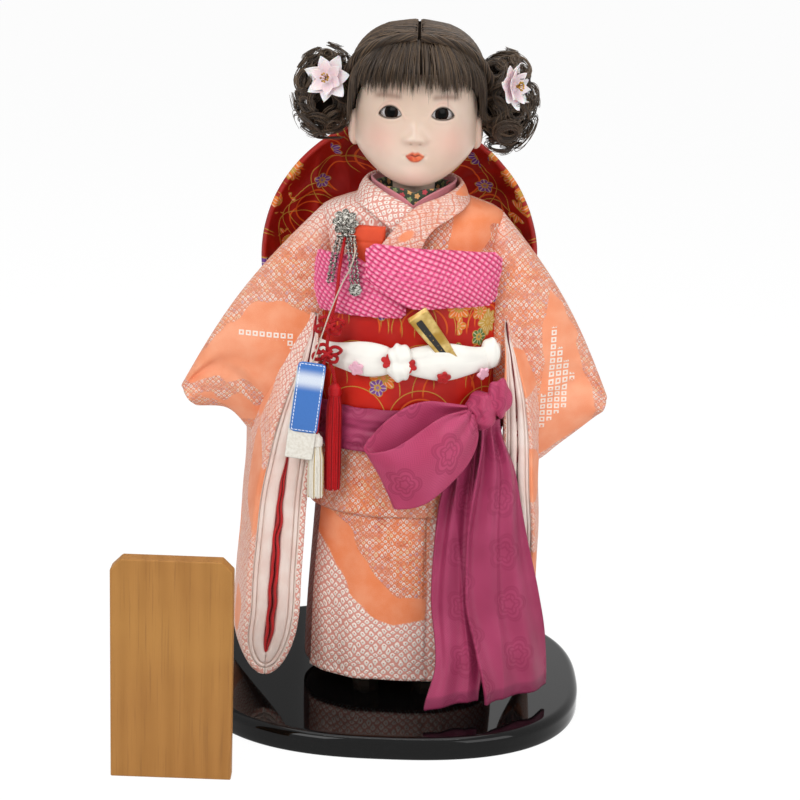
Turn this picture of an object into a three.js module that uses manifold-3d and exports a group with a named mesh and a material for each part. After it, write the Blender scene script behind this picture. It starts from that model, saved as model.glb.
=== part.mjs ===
// Ichimatsu doll in a long-sleeved kimono, on a lacquered display base, with its bare name plaque.
// Millimetres, +Z up. The origin is the centre of the base's underside. The doll faces -Y.
// "Right" and "left" are the doll's own sides, so its right arm is at -X.
// Heights of the doll's pieces are measured from the top of the base.

import * as THREE from 'three';
import { mergeVertices } from 'three/addons/utils/BufferGeometryUtils.js';
import Module from 'manifold-3d';

const wasm = await Module();
wasm.setup();

// Clearances
const FIT = 0.3;
const LOOSE_FIT = 1.2;

// Display base
const BASE_HALF_WIDTH = 132.5;
const BASE_HALF_DEPTH = 119.5;
const BASE_THICKNESS = 15;
const BASE_SQUARENESS = 2.5;
const BASE_EDGE_RADIUS = 5;
const BASE_FOOT_BEVEL = 1.2;
const DOLL_SHIFT = 5;

// Support pegs and legs
const PEG_RADIUS = 2.5;
const PEG_DEPTH_IN_BASE = 9;
const PEG_DEPTH_IN_LEG = 26;
const LEG_SPACING = 21;
const LEG_SET_BACK = 5;
const LEG_LENGTH = 112;
const THIGH_RADIUS = 17;
const ANKLE_RADIUS = 9.5;
const FOOT_LENGTH = 44;
const FOOT_WIDTH = 20;
const FOOT_HEIGHT = 14;

// The dressed figure: height, half width and half depth of the kimono's outside
const HEM_HEIGHT = 12;
const HEM_HALF_WIDTH = 64.5;
const HEM_HALF_DEPTH = 50;
const HIP_HEIGHT = 125;
const HIP_HALF_WIDTH = 59.5;
const HIP_HALF_DEPTH = 47;
const WAIST_HEIGHT = 195;
const WAIST_HALF_WIDTH = 55.5;
const WAIST_HALF_DEPTH = 45;
const CHEST_HALF_WIDTH = 56;
const CHEST_HALF_DEPTH = 43.5;
const SHOULDER_RISE = 131;
const SHOULDER_HEIGHT = WAIST_HEIGHT + SHOULDER_RISE;
const CHEST_DROP = 48;
const CHEST_HEIGHT = SHOULDER_HEIGHT - CHEST_DROP;
const SHOULDER_HALF_WIDTH = 60;
const SHOULDER_HALF_DEPTH = 33;
const NECK_RISE = 16;
const NECK_HEIGHT = SHOULDER_HEIGHT + NECK_RISE;
const NECK_HALF_WIDTH = 26;
const NECK_HALF_DEPTH = 25;
const FIGURE_SQUARENESS = 2.4;
const FIGURE_FACETS = 24;

// Garments
const KIMONO_WALL = 2.4;
const PANEL_WALL = 2.2;
const PANEL_FROM_FACET = -10;
const PANEL_TO_FACET = 3;
const PANEL_TUCK = 5;
const WAIST_FOLD_WALL = 2.4;
const WAIST_FOLD_DROP = 70;
const OBI_ABOVE_WAIST = 4;
const OBI_BELOW_CHEST = 1;
const OBI_BOTTOM = WAIST_HEIGHT + OBI_ABOVE_WAIST;
const OBI_TOP = CHEST_HEIGHT - OBI_BELOW_CHEST;
const OBI_WALL = 6;
const TORSO_EASE = 0.6;
const TORSO_SHOULDER_EASE = 12;
const NECK_OPENING_HALF_WIDTH = 28.2;
const NECK_OPENING_HALF_DEPTH = 33.6;

// Collars
const COLLAR_WALL = 2.2;
const COLLAR_V_RISE = 7;
const COLLAR_SIDE_RISE = 14;
const COLLAR_OUTER_RISE = 3;
const COLLAR_END_DROP = 30;
const COLLAR_V_HEIGHT = SHOULDER_HEIGHT + COLLAR_V_RISE;
const COLLAR_SIDE_HEIGHT = COLLAR_V_HEIGHT + COLLAR_SIDE_RISE;
const COLLAR_OUTER_HEIGHT = COLLAR_V_HEIGHT + COLLAR_OUTER_RISE;
const COLLAR_BACK_RISE = 2;
const COLLAR_TUCK = 11;
const COLLAR_LAP_X = 5;
const COLLAR_END_HEIGHT = COLLAR_V_HEIGHT - COLLAR_END_DROP;
const COLLAR_END_X = 21;
const COLLAR_WIDTH = 18;
const COLLAR_OUTER_X = 36;
const EDGING_WALL = 1.5;
const EDGING_SHOW = 2.6;
const UNDER_COLLAR_WALL = 1.8;
const UNDER_COLLAR_SHOW = 5.5;

// Head
const CHIN_SINK = 0.2;
const CHIN_HEIGHT = COLLAR_SIDE_HEIGHT - CHIN_SINK;
const HEAD_LENGTH = 98;
const CHEEK_LEVEL = 36;
const TEMPLE_LEVEL = 62;
const HEAD_HALF_WIDTH = 39.6;
const FACE_DEPTH = 43.5;
const SKULL_DEPTH = 45.5;
const NECK_RADIUS = 14.5;
const NECK_PLUG_DEPTH = 34;
const NOSE_LEVEL = 30.5;
const NOSE_RISE = 5;
const MOUTH_LEVEL = 21;
const LIP_RISE = 1.6;
const EYE_LEVEL = 47.5;
const EYE_SPACING = 16.8;
const EYE_RADIUS = 7.5;
const EYE_SETBACK = 0.8;
const EYE_HALF_WIDTH = 6.6;
const EYE_HALF_HEIGHT = 2.9;
const EAR_LEVEL = 33;
const EAR_LENGTH = 25;
const EAR_DEPTH = 14;
const EAR_WIDTH = 8;

// Hair
const HAIR_THICKNESS = 4.8;
const HAIRLINE_FRONT = 75;
const HAIRLINE_BACK = 8;
const PARTING_WIDTH = 3.4;
const PARTING_DEPTH = 2.4;
const FRINGE_THICKNESS = 3.4;
const FRINGE_TOP = 86;
const FRINGE_BOTTOM = 63.5;
const SIDE_LOCK_DROP = 21;
const FRINGE_SPREAD = 78;
const BUN_HALF_WIDTH = 21;
const BUN_HALF_DEPTH = 23;
const BUN_HALF_HEIGHT = 31;
const BUN_X = 61;
const BUN_Y = 10;
const BUN_LEVEL = 53;
const FLOWER_RADIUS = 13.5;
const FLOWER_PETALS = 6;

// Arms and sleeves
const ARM_RADIUS = 9;
const ARM_DROP = 21;
const ARMHOLE_HALF_LENGTH = 18.5;
const ARMHOLE_HALF_DEPTH = 16;
const WRIST_RADIUS = 7.5;
const FINGER_RADIUS = 1.9;
const FINGER_LENGTH = 15;
const SLEEVE_SEAM_X = SHOULDER_HALF_WIDTH + FIT;
const SLEEVE_SEAM_LENGTH = 86;
const SLEEVE_SEAM_FLARE = 10;
const SLEEVE_SEAM_DEPTH = 27;
const CUFF_DEPTH = 15;
const CUFF_WALL = 3.2;
const SLEEVE_BULGE = 7;
const BAG_BOTTOM = 12;
const BAG_TOP = 246;
const BAG_ROUNDING = 34;
const BAG_BACK_ROUND = 2;
const BAG_OPENING = 30;
const BAG_STATIONS = [46, 110, 172, 195];
const BAG_LAYER_TOPS = [224, 210, 199];

// Bow at the back
const BOW_X = -8;
const BOW_BELOW_OBI_TOP = 3;
const BOW_HEIGHT = OBI_TOP - BOW_BELOW_OBI_TOP;
const BOW_REACH = 91;
const BOW_RISE = 104;
const BOW_WALL = 4;
const BOW_HOLLOW = 13;
const BOW_Y = 60;
const BOW_FORWARD = 8;
const BOW_PLEAT = 2;
const BOW_ROOT_RADIUS = 20;
const BOW_UPPER_ANGLE = 14;
const BOW_LOWER_ANGLE = 98;
const BOW_BAND_WIDTH = 24;
const BOW_BAND_HEIGHT = 44;
const BOW_BAND_DEPTH = 22;
const BOW_TAIL_WIDTH = 62;
const BOW_TAIL_DROP = 70;

// Obi scarf (obiage) and padded obi cord (obijime)
const SCARF_THICKNESS = 6;
const SCARF_HANG = 13;
const SCARF_RISE = 36;
const SCARF_LOW = OBI_TOP - SCARF_HANG;
const SCARF_HIGH = OBI_TOP + SCARF_RISE;
const SCARF_UNDER_FROM_X = -53;
const SCARF_UNDER_TO_X = -2;
const SCARF_UNDER_DIP = 10;
const SCARF_TIP_HEIGHT = 20;
const SCARF_UNDER_HIGH = SCARF_HIGH - SCARF_UNDER_DIP;
const SCARF_UNDER_TIP = SCARF_LOW + SCARF_TIP_HEIGHT;
const SCARF_OVER_FROM_X = -24;
const SCARF_OVER_TO_X = 53;
const SCARF_OVER_RISE = 22;
const CORD_BELOW_SCARF = 28;
const CORD_BAND_HEIGHT = SCARF_LOW - CORD_BELOW_SCARF;
const CORD_BAND_HALF_HEIGHT = 10;
const CORD_BAND_THICKNESS = 8;
const CORD_KNOT_X = -5;
const CORD_KNOT_RADIUS = 13;

// Purple sash
const SASH_BELOW_WAIST = 22;
const SASH_HEIGHT = WAIST_HEIGHT - SASH_BELOW_WAIST;
const SASH_WIDTH = 29;
const SASH_WALL = 3.4;
const SASH_KNOT_X = 50;
const SASH_KNOT_RISE = 30;
const SASH_KNOT_HEIGHT = SASH_HEIGHT + SASH_KNOT_RISE;
const SASH_KNOT_RADIUS = 12;
const SASH_TAIL_WALL = 2.4;
const SASH_LOOP_WALL = 5;
const SASH_LOOP_PUFF = 9;
const SASH_LOOP_NEAR = [4, -22];
const SASH_LOOP_FAR = [[-25, -25], [-3, -67]];

// Ornaments at the breast
const POUCH_LEFT_X = -40;
const POUCH_RIGHT_X = -17;
const POUCH_BELOW_SHOULDER = 5;
const POUCH_TOP = SHOULDER_HEIGHT - POUCH_BELOW_SHOULDER;
const POUCH_DEPTH = 33;
const POUCH_WALL = 3.8;
const ORNAMENT_X = -43;
const ORNAMENT_ABOVE_POUCH = 1;
const ORNAMENT_HEIGHT = POUCH_TOP + ORNAMENT_ABOVE_POUCH;
const ORNAMENT_RADIUS = 8;
const ORNAMENT_THICKNESS = 4;
const HANGER_DROP = 7.5;
const HANGER = [ORNAMENT_X, -41.5, ORNAMENT_HEIGHT - HANGER_DROP];
const HANGER_RADIUS = 1;
const HANGER_REACH = 10;
const CHAIN_THICKNESS = 1.2;
const NARROW_CHAIN_WIDTH = 4.5;
const WIDE_CHAIN_WIDTH = 7;
const CHAIN_DISC_RADIUS = 4.2;
const CHARM_CORD_RADIUS = 1.1;
const THREAD_RADIUS = 0.45;
const KNOT_RADIUS = 8;
const KNOT_THICKNESS = 4;
const TASSEL_RADIUS = 5.4;
const RED_TASSEL_LENGTH = 72;
const WHITE_TASSEL_LENGTH = 43;
const TAG_WIDTH = 18;
const TAG_HEIGHT = 47;
const TAG_TILT = 6.4;
const CARD_HEIGHT = 62;
const CARD_THICKNESS = 0.8;
const FAN_LENGTH = 46;
const FAN_WIDTH = 14;
const FAN_END_WIDTH = 9;
const FAN_THICKNESS = 4.4;
const FAN_FOOT_X = 31;
const FAN_BELOW_SCARF = 30;
const FAN_FOOT_HEIGHT = SCARF_LOW - FAN_BELOW_SCARF;

// Name plaque
const PLAQUE_WIDTH = 76;
const PLAQUE_HEIGHT = 146;
const PLAQUE_THICKNESS = 11;
const PLAQUE_CLIP = 7;
const PLAQUE_X = -135;
const PLAQUE_Y = -151;

// Offsets of the layers from the kimono's outside
const PANEL_OFFSET = FIT;
const WAIST_FOLD_OFFSET = PANEL_OFFSET + PANEL_WALL + FIT;
const OBI_OFFSET = FIT;
const OVER_OBI = OBI_OFFSET + OBI_WALL + FIT;
const OVER_WAIST_FOLD = WAIST_FOLD_OFFSET + WAIST_FOLD_WALL + FIT;
const SASH_OFFSET = Math.max(OVER_OBI, OVER_WAIST_FOLD);
const OVER_SASH = SASH_OFFSET + SASH_WALL + FIT;
const UNDER_BAND_OFFSET = FIT;
const POUCH_OFFSET = UNDER_BAND_OFFSET + COLLAR_WALL + FIT;
const OVER_POUCH = POUCH_OFFSET + POUCH_WALL + FIT;
const WAIST_FOLD_TOP = OBI_BOTTOM - 2;
const DEG = Math.PI / 180;
const FRONT = -Math.PI / 2;

const paint = {
  lacquer: [0x0a0a0b, 0.12, 0],
  steel: [0xb9bbbd, 0.35, 1],
  composition: [0xcaa987, 0.8, 0],
  skin: [0xf0dccb, 0.38, 0],
  glass: [0x100c0a, 0.05, 0],
  hair: [0x2b211c, 0.5, 0],
  petal: [0xf6e6e8, 0.7, 0],
  shibori: [0xf0a077, 0.85, 0],
  kanoko: [0xf3cdbf, 0.85, 0],
  lining: [0xf4ebe4, 0.8, 0],
  redSilk: [0xc8201c, 0.6, 0],
  brocade: [0xc3281a, 0.5, 0],
  edging: [0xd67f86, 0.7, 0],
  darkSilk: [0x41503f, 0.7, 0],
  pinkKanoko: [0xe8459b, 0.7, 0],
  whiteSilk: [0xf7f4ee, 0.7, 0],
  purple: [0xa02f6f, 0.5, 0],
  silver: [0xc9c9c6, 0.3, 1],
  redCord: [0xc31620, 0.7, 0],
  tagBlue: [0x5f95d6, 0.5, 0],
  card: [0xe9e5d6, 0.8, 0],
  gold: [0xd7ae55, 0.35, 0.6],
  wood: [0xb98a4e, 0.6, 0],
};

// Closed meshes and booleans

function signedVolume(points, triangles) {
  let six = 0;
  const cross = new THREE.Vector3();
  for (let i = 0; i < triangles.length; i += 3) {
    cross.crossVectors(points[triangles[i + 1]], points[triangles[i + 2]]);
    six += points[triangles[i]].dot(cross);
  }
  return six / 6;
}

function closedGeometry(points, triangles) {
  const index = signedVolume(points, triangles) < 0 ? triangles.toReversed() : triangles;
  const geometry = new THREE.BufferGeometry().setFromPoints(points);
  geometry.setIndex(index);
  return geometry;
}

function ringNormal(ring) {
  const normal = new THREE.Vector3();
  const cross = new THREE.Vector3();
  ring.forEach((point, i) => {
    normal.add(cross.crossVectors(point, ring[(i + 1) % ring.length]));
  });
  return normal.normalize();
}

function capTriangles(ring, first, outward) {
  const across = new THREE.Vector3();
  ring.forEach((point) => {
    if (point.distanceTo(ring[0]) > across.length()) across.subVectors(point, ring[0]);
  });
  across.normalize();
  const up = new THREE.Vector3().crossVectors(outward, across).normalize();
  const flat = ring.map((point) => new THREE.Vector2(point.dot(across), point.dot(up)));
  const triangles = [];
  for (const [a, b, c] of THREE.ShapeUtils.triangulateShape(flat, [])) {
    const turn = flat[b].clone().sub(flat[a]).cross(flat[c].clone().sub(flat[a]));
    triangles.push(first + a, first + (turn > 0 ? b : c), first + (turn > 0 ? c : b));
  }
  return triangles;
}

// A solid through rings of equal count, capped at both ends or closed on itself
function ringLoft(rings, closed = false) {
  const count = rings[0].length;
  const points = rings.flat();
  const triangles = [];
  const spans = closed ? rings.length : rings.length - 1;
  for (let i = 0; i < spans; i++) {
    const here = i * count;
    const next = ((i + 1) % rings.length) * count;
    for (let j = 0; j < count; j++) {
      const k = (j + 1) % count;
      triangles.push(here + j, here + k, next + k);
      triangles.push(here + j, next + k, next + j);
    }
  }
  if (!closed) {
    const last = rings.at(-1);
    triangles.push(...capTriangles(rings[0], 0, ringNormal(rings[0]).negate()));
    triangles.push(...capTriangles(last, (rings.length - 1) * count, ringNormal(last)));
  }
  return closedGeometry(points, triangles);
}

// A sheet of cloth: a grid of points with a thickness laid half on each side
function slab(pointAt, uSteps, vSteps, thickness) {
  const small = 1e-3;
  const rings = [];
  for (let i = 0; i <= uSteps; i++) {
    const upper = [];
    const lower = [];
    for (let j = 0; j <= vSteps; j++) {
      const u = i / uSteps;
      const v = j / vSteps;
      const du = pointAt(Math.min(u + small, 1), v).sub(pointAt(Math.max(u - small, 0), v));
      const dv = pointAt(u, Math.min(v + small, 1)).sub(pointAt(u, Math.max(v - small, 0)));
      const normal = du.cross(dv).normalize();
      const middle = pointAt(u, v);
      upper.push(middle.clone().addScaledVector(normal, thickness / 2));
      lower.push(middle.clone().addScaledVector(normal, -thickness / 2));
    }
    rings.push([...upper, ...lower.reverse()]);
  }
  return ringLoft(rings);
}

function tube(points, radius, steps, sides) {
  const route = new THREE.CatmullRomCurve3(points, false, 'centripetal');
  const section = new THREE.Shape();
  for (let i = 0; i < sides; i++) {
    const turn = (i / sides) * 2 * Math.PI;
    const x = radius * Math.cos(turn);
    const y = radius * Math.sin(turn);
    if (i === 0) section.moveTo(x, y);
    else section.lineTo(x, y);
  }
  return new THREE.ExtrudeGeometry(section, { steps, extrudePath: route });
}

function prism(outline, from, depth) {
  const shape = new THREE.Shape(outline.map(([x, y]) => new THREE.Vector2(x, y)));
  const geometry = new THREE.ExtrudeGeometry(shape, { depth, bevelEnabled: false });
  geometry.translate(0, 0, from);
  return geometry;
}

function ball(radius, centre, scale = [1, 1, 1], columns = 20, rows = 12) {
  const geometry = new THREE.SphereGeometry(radius, columns, rows);
  geometry.rotateX(Math.PI / 2);
  geometry.scale(...scale);
  geometry.translate(...centre);
  return geometry;
}

function rod(radius, from, to, sides = 16) {
  const axis = new THREE.Vector3().subVectors(to, from);
  const geometry = new THREE.CylinderGeometry(radius, radius, axis.length(), sides);
  const turn = new THREE.Quaternion();
  turn.setFromUnitVectors(new THREE.Vector3(0, 1, 0), axis.clone().normalize());
  geometry.applyQuaternion(turn);
  geometry.translate(...from.clone().addScaledVector(axis, 0.5));
  return geometry;
}

function box(low, high) {
  const size = high.map((value, i) => value - low[i]);
  const geometry = new THREE.BoxGeometry(...size);
  geometry.translate(...low.map((value, i) => value + size[i] / 2));
  return geometry;
}

function solidOf(geometry) {
  const bare = geometry.clone();
  bare.deleteAttribute('normal');
  bare.deleteAttribute('uv');
  const merged = mergeVertices(bare, 1e-4);
  const mesh = new wasm.Mesh({
    numProp: 3,
    vertProperties: new Float32Array(merged.attributes.position.array),
    triVerts: new Uint32Array(merged.index.array),
  });
  return new wasm.Manifold(mesh);
}

function geometryOf(solid) {
  const mesh = solid.getMesh();
  const geometry = new THREE.BufferGeometry();
  geometry.setAttribute('position', new THREE.BufferAttribute(mesh.vertProperties, 3));
  geometry.setIndex(new THREE.BufferAttribute(mesh.triVerts, 1));
  return geometry;
}

function join(...geometries) {
  return geometryOf(geometries.map(solidOf).reduce((sum, next) => sum.add(next)));
}

function cut(geometry, ...tools) {
  return geometryOf(tools.map(solidOf).reduce((rest, tool) => rest.subtract(tool), solidOf(geometry)));
}

// Numbers

function mix(a, b, t) {
  return a + (b - a) * t;
}

function smoothStep(low, high, value) {
  const t = Math.min(Math.max((value - low) / (high - low), 0), 1);
  return t * t * (3 - 2 * t);
}

function hump(value, centre, width) {
  return Math.exp(-(((value - centre) / width) ** 2));
}

function signedPower(value, power) {
  return Math.sign(value) * Math.abs(value) ** power;
}

function range(count) {
  return Array.from({ length: count }, (_, i) => i);
}

// A smooth curve through rows of [position, value, value...], flat where the values turn back
function alongRows(rows, position) {
  const last = rows.length - 1;
  const at = Math.min(Math.max(position, rows[0][0]), rows[last][0]);
  const i = Math.min(Math.max(rows.findIndex((row) => row[0] >= at) - 1, 0), last - 1);
  const span = rows[i + 1][0] - rows[i][0];
  const t = (at - rows[i][0]) / span;
  return rows[0].slice(1).map((_, k) => {
    const slope = (n) => (rows[n + 1][k + 1] - rows[n][k + 1]) / (rows[n + 1][0] - rows[n][0]);
    const tangent = (n) => {
      if (n === 0 || n === last) return 0;
      const before = slope(n - 1);
      const after = slope(n);
      return before * after <= 0 ? 0 : (2 * before * after) / (before + after);
    };
    const start = rows[i][k + 1];
    const end = rows[i + 1][k + 1];
    const hermite = start * (1 + 2 * t) * (1 - t) ** 2 + end * t * t * (3 - 2 * t);
    return hermite + span * (tangent(i) * t * (1 - t) ** 2 - tangent(i + 1) * t * t * (1 - t));
  });
}

// The figure: every garment layer is the figure's outside plus an offset

const FIGURE = [
  [HEM_HEIGHT, HEM_HALF_WIDTH, HEM_HALF_DEPTH],
  [HIP_HEIGHT, HIP_HALF_WIDTH, HIP_HALF_DEPTH],
  [WAIST_HEIGHT, WAIST_HALF_WIDTH, WAIST_HALF_DEPTH],
  [CHEST_HEIGHT, CHEST_HALF_WIDTH, CHEST_HALF_DEPTH],
  [SHOULDER_HEIGHT, SHOULDER_HALF_WIDTH, SHOULDER_HALF_DEPTH],
  [NECK_HEIGHT, NECK_HALF_WIDTH, NECK_HALF_DEPTH],
];

function onFigure(angle, offset, height) {
  const [halfWidth, halfDepth] = alongRows(FIGURE, height);
  const power = 2 / FIGURE_SQUARENESS;
  const x = (halfWidth + offset) * signedPower(Math.cos(angle), power);
  const y = (halfDepth + offset) * signedPower(Math.sin(angle), power);
  return new THREE.Vector3(x, y, height);
}

function frontY(x, offset, height) {
  const [halfWidth, halfDepth] = alongRows(FIGURE, height);
  const share = Math.min(Math.abs(x) / (halfWidth + offset), 1);
  return -(halfDepth + offset) * (1 - share ** FIGURE_SQUARENESS) ** (1 / FIGURE_SQUARENESS);
}

function onFront(x, offset, height) {
  return new THREE.Vector3(x, frontY(x, offset, height), height);
}

function frontAngle(x, offset, height) {
  const [halfWidth] = alongRows(FIGURE, height);
  return -Math.acos(signedPower(x / (halfWidth + offset), FIGURE_SQUARENESS / 2));
}

// A ring of cloth right round the figure; the section is a list of [offset, height]
function ringBand(sectionAt) {
  const rings = range(FIGURE_FACETS).map((i) => {
    const angle = (i / FIGURE_FACETS) * 2 * Math.PI;
    return sectionAt(angle).map(([offset, height]) => onFigure(angle, offset, height));
  });
  return ringLoft(rings, true);
}

// A strip round part of the figure, between two angles
function stripBand(from, to, steps, sectionAt) {
  const rings = range(steps + 1).map((i) => {
    const share = i / steps;
    const angle = mix(from, to, share);
    return sectionAt(share).map(([offset, height]) => onFigure(angle, offset, height));
  });
  return ringLoft(rings);
}

function wallSection(inner, outer, heights) {
  const up = heights.map((height) => [outer, height]);
  const down = heights.toReversed().map((height) => [inner, height]);
  return [...up, ...down];
}

function steps(from, to, count) {
  return range(count + 1).map((i) => mix(from, to, i / count));
}

function padSection(inner, thickness, low, high) {
  const middle = (low + high) / 2;
  const shoulder = (high - low) * 0.36;
  return [
    [inner, low],
    [inner + thickness * 0.62, low],
    [inner + thickness, middle - shoulder * 0.7],
    [inner + thickness * 1.05, middle],
    [inner + thickness, middle + shoulder * 0.7],
    [inner + thickness * 0.62, high],
    [inner, high],
    [inner, middle],
  ];
}

const model = new THREE.Group();
const doll = new THREE.Group();
doll.position.set(DOLL_SHIFT, 0, BASE_THICKNESS);
model.add(doll);

function addPart(parent, name, geometry, [color, roughness, metalness]) {
  const mesh = new THREE.Mesh(geometry, new THREE.MeshStandardMaterial({ color, roughness, metalness }));
  mesh.name = name;
  parent.add(mesh);
  return mesh;
}

const SIDES = [
  { name: 'right', sign: -1 },
  { name: 'left', sign: 1 },
];

// Display base, pegs and legs

function superellipse(halfWidth, halfDepth, squareness, count, height) {
  return range(count).map((i) => {
    const turn = (i / count) * 2 * Math.PI;
    const x = halfWidth * signedPower(Math.cos(turn), 2 / squareness);
    const y = halfDepth * signedPower(Math.sin(turn), 2 / squareness);
    return new THREE.Vector3(x, y, height);
  });
}

function displayBase() {
  const profile = [
    [BASE_FOOT_BEVEL, 0],
    [0, BASE_FOOT_BEVEL],
    ...range(3).map((i) => {
      const turn = (i / 2) * (Math.PI / 2);
      const inset = BASE_EDGE_RADIUS * (1 - Math.cos(turn));
      return [inset, BASE_THICKNESS - BASE_EDGE_RADIUS * (1 - Math.sin(turn))];
    }),
  ];
  const rings = profile.map(([inset, height]) => {
    return superellipse(BASE_HALF_WIDTH - inset, BASE_HALF_DEPTH - inset, BASE_SQUARENESS, 32, height);
  });
  const bores = SIDES.map(({ sign }) => {
    const x = DOLL_SHIFT + sign * LEG_SPACING;
    const floor = new THREE.Vector3(x, LEG_SET_BACK, BASE_THICKNESS - PEG_DEPTH_IN_BASE - FIT);
    const mouth = new THREE.Vector3(x, LEG_SET_BACK, BASE_THICKNESS + FIT);
    return rod(PEG_RADIUS + FIT, floor, mouth);
  });
  return cut(ringLoft(rings), ...bores);
}

function leg(sign) {
  const heel = LEG_SET_BACK + ANKLE_RADIUS;
  const footMiddle = heel - FOOT_LENGTH / 2;
  const knee = mix(ANKLE_RADIUS, THIGH_RADIUS, 0.6);
  const rows = [
    [FIT, FOOT_WIDTH * 0.44, FOOT_LENGTH * 0.47, footMiddle],
    [FOOT_HEIGHT * 0.3, FOOT_WIDTH * 0.5, FOOT_LENGTH * 0.5, footMiddle],
    [FOOT_HEIGHT * 0.75, FOOT_WIDTH * 0.46, FOOT_LENGTH * 0.44, footMiddle + FOOT_LENGTH * 0.04],
    [FOOT_HEIGHT * 1.4, ANKLE_RADIUS, ANKLE_RADIUS * 1.15, LEG_SET_BACK],
    [FOOT_HEIGHT * 2.2, ANKLE_RADIUS, ANKLE_RADIUS, LEG_SET_BACK],
    [LEG_LENGTH * 0.55, knee, knee, LEG_SET_BACK],
    [LEG_LENGTH, THIGH_RADIUS, THIGH_RADIUS, LEG_SET_BACK],
  ];
  const rings = rows.map(([height, halfWidth, halfLength, middle]) => {
    const ring = superellipse(halfWidth, halfLength, 2, 10, height);
    return ring.map((point) => point.add(new THREE.Vector3(sign * LEG_SPACING, middle, 0)));
  });
  const x = sign * LEG_SPACING;
  const bore = rod(
    PEG_RADIUS + FIT,
    new THREE.Vector3(x, LEG_SET_BACK, -FIT),
    new THREE.Vector3(x, LEG_SET_BACK, PEG_DEPTH_IN_LEG + FIT),
  );
  return cut(ringLoft(rings), bore);
}

function torso() {
  const low = LEG_LENGTH + FIT;
  const top = SHOULDER_HEIGHT - 12;
  const easeAt = (height) => {
    const atShoulder = smoothStep(CHEST_HEIGHT - 22, CHEST_HEIGHT + 4, height);
    return -KIMONO_WALL - mix(TORSO_EASE, TORSO_SHOULDER_EASE, atShoulder);
  };
  const rings = steps(low, top, 4).map((height) => {
    return range(FIGURE_FACETS).map((i) => {
      return onFigure((i / FIGURE_FACETS) * 2 * Math.PI, easeAt(height), height);
    });
  });
  rings.push(superellipse(NECK_RADIUS + 5, NECK_RADIUS + 5, 2, FIGURE_FACETS, top + 5));
  const socket = rod(
    NECK_RADIUS + FIT,
    new THREE.Vector3(0, 0, CHIN_HEIGHT - NECK_PLUG_DEPTH - FIT),
    new THREE.Vector3(0, 0, CHIN_HEIGHT),
    24,
  );
  return cut(ringLoft(rings), socket);
}

addPart(model, 'display_base', displayBase(), paint.lacquer);
addPart(doll, 'torso', torso(), paint.composition);
for (const { name, sign } of SIDES) {
  const x = sign * LEG_SPACING;
  const peg = rod(
    PEG_RADIUS,
    new THREE.Vector3(x, LEG_SET_BACK, -PEG_DEPTH_IN_BASE),
    new THREE.Vector3(x, LEG_SET_BACK, PEG_DEPTH_IN_LEG),
  );
  addPart(doll, `support_peg_${name}`, peg, paint.steel);
  addPart(doll, `leg_${name}`, leg(sign), paint.skin);
}

// Head: levels are heights above the chin

const HEAD_FACETS = 24;
const HEAD_SQUARENESS = 2.15;
const CHIN_AXIS = -14;
const SKULL_AXIS = -2;
const HEAD_LEVELS = [
  0.5, 3, 9, 16, MOUTH_LEVEL, 26, NOSE_LEVEL, 35, EYE_LEVEL, TEMPLE_LEVEL,
  ...[0.35, 0.65, 0.85, 0.97].map((share) => mix(TEMPLE_LEVEL, HEAD_LENGTH, share)),
];

function headWidthAt(level) {
  if (level < CHEEK_LEVEL) {
    return HEAD_HALF_WIDTH * (1 - ((CHEEK_LEVEL - level) / CHEEK_LEVEL) ** 3) ** (1 / 2.4);
  }
  return HEAD_HALF_WIDTH * crownShare(level);
}

function crownShare(level) {
  if (level <= TEMPLE_LEVEL) return 1;
  const rise = (level - TEMPLE_LEVEL) / (HEAD_LENGTH - TEMPLE_LEVEL);
  return (1 - rise ** 2.3) ** (1 / 2.3);
}

function headPoint(angle, level) {
  const width = headWidthAt(level);
  const middle = mix(CHIN_AXIS, SKULL_AXIS, smoothStep(0, CHEEK_LEVEL, level)) * crownShare(level);
  const chin = level < CHEEK_LEVEL ? (1 - ((CHEEK_LEVEL - level) / CHEEK_LEVEL) ** 6) ** 0.25 : 1;
  const front = FACE_DEPTH * chin * crownShare(level) + middle;
  const nape = mix(NECK_RADIUS, SKULL_DEPTH, smoothStep(3, TEMPLE_LEVEL, level));
  const back = nape * crownShare(level) - middle;
  const c = signedPower(Math.cos(angle), 2 / HEAD_SQUARENESS);
  const s = signedPower(Math.sin(angle), 2 / HEAD_SQUARENESS);
  const point = new THREE.Vector3(width * c, middle + (s < 0 ? front : back) * s, CHIN_HEIGHT + level);
  if (s < 0) {
    const bridge = level > NOSE_LEVEL ? 9 : 3.6;
    point.y -= NOSE_RISE * hump(point.x, 0, 4.6) * hump(level, NOSE_LEVEL, bridge);
    point.y -= LIP_RISE * hump(point.x, 0, 8) * hump(level, MOUTH_LEVEL, 4);
  }
  return point;
}

// The head's surface grown outwards, for the hair that lies on it
function headShell(angle, level, offset) {
  const point = headPoint(angle, level);
  const centre = CHIN_HEIGHT + HEAD_LENGTH / 2;
  point.x *= 1 + offset / HEAD_HALF_WIDTH;
  point.y *= 1 + offset / FACE_DEPTH;
  point.z = centre + (point.z - centre) * (1 + (2 * offset) / HEAD_LENGTH);
  return point;
}

function headAngles(count) {
  return range(count).map((i) => {
    const t = (2 * i) / count - 1;
    return FRONT + Math.PI * t * (0.6 + 0.4 * t * t);
  });
}

function headLoft(offset, levels = HEAD_LEVELS) {
  const angles = headAngles(HEAD_FACETS);
  return ringLoft(levels.map((level) => angles.map((angle) => headShell(angle, level, offset))));
}

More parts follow.
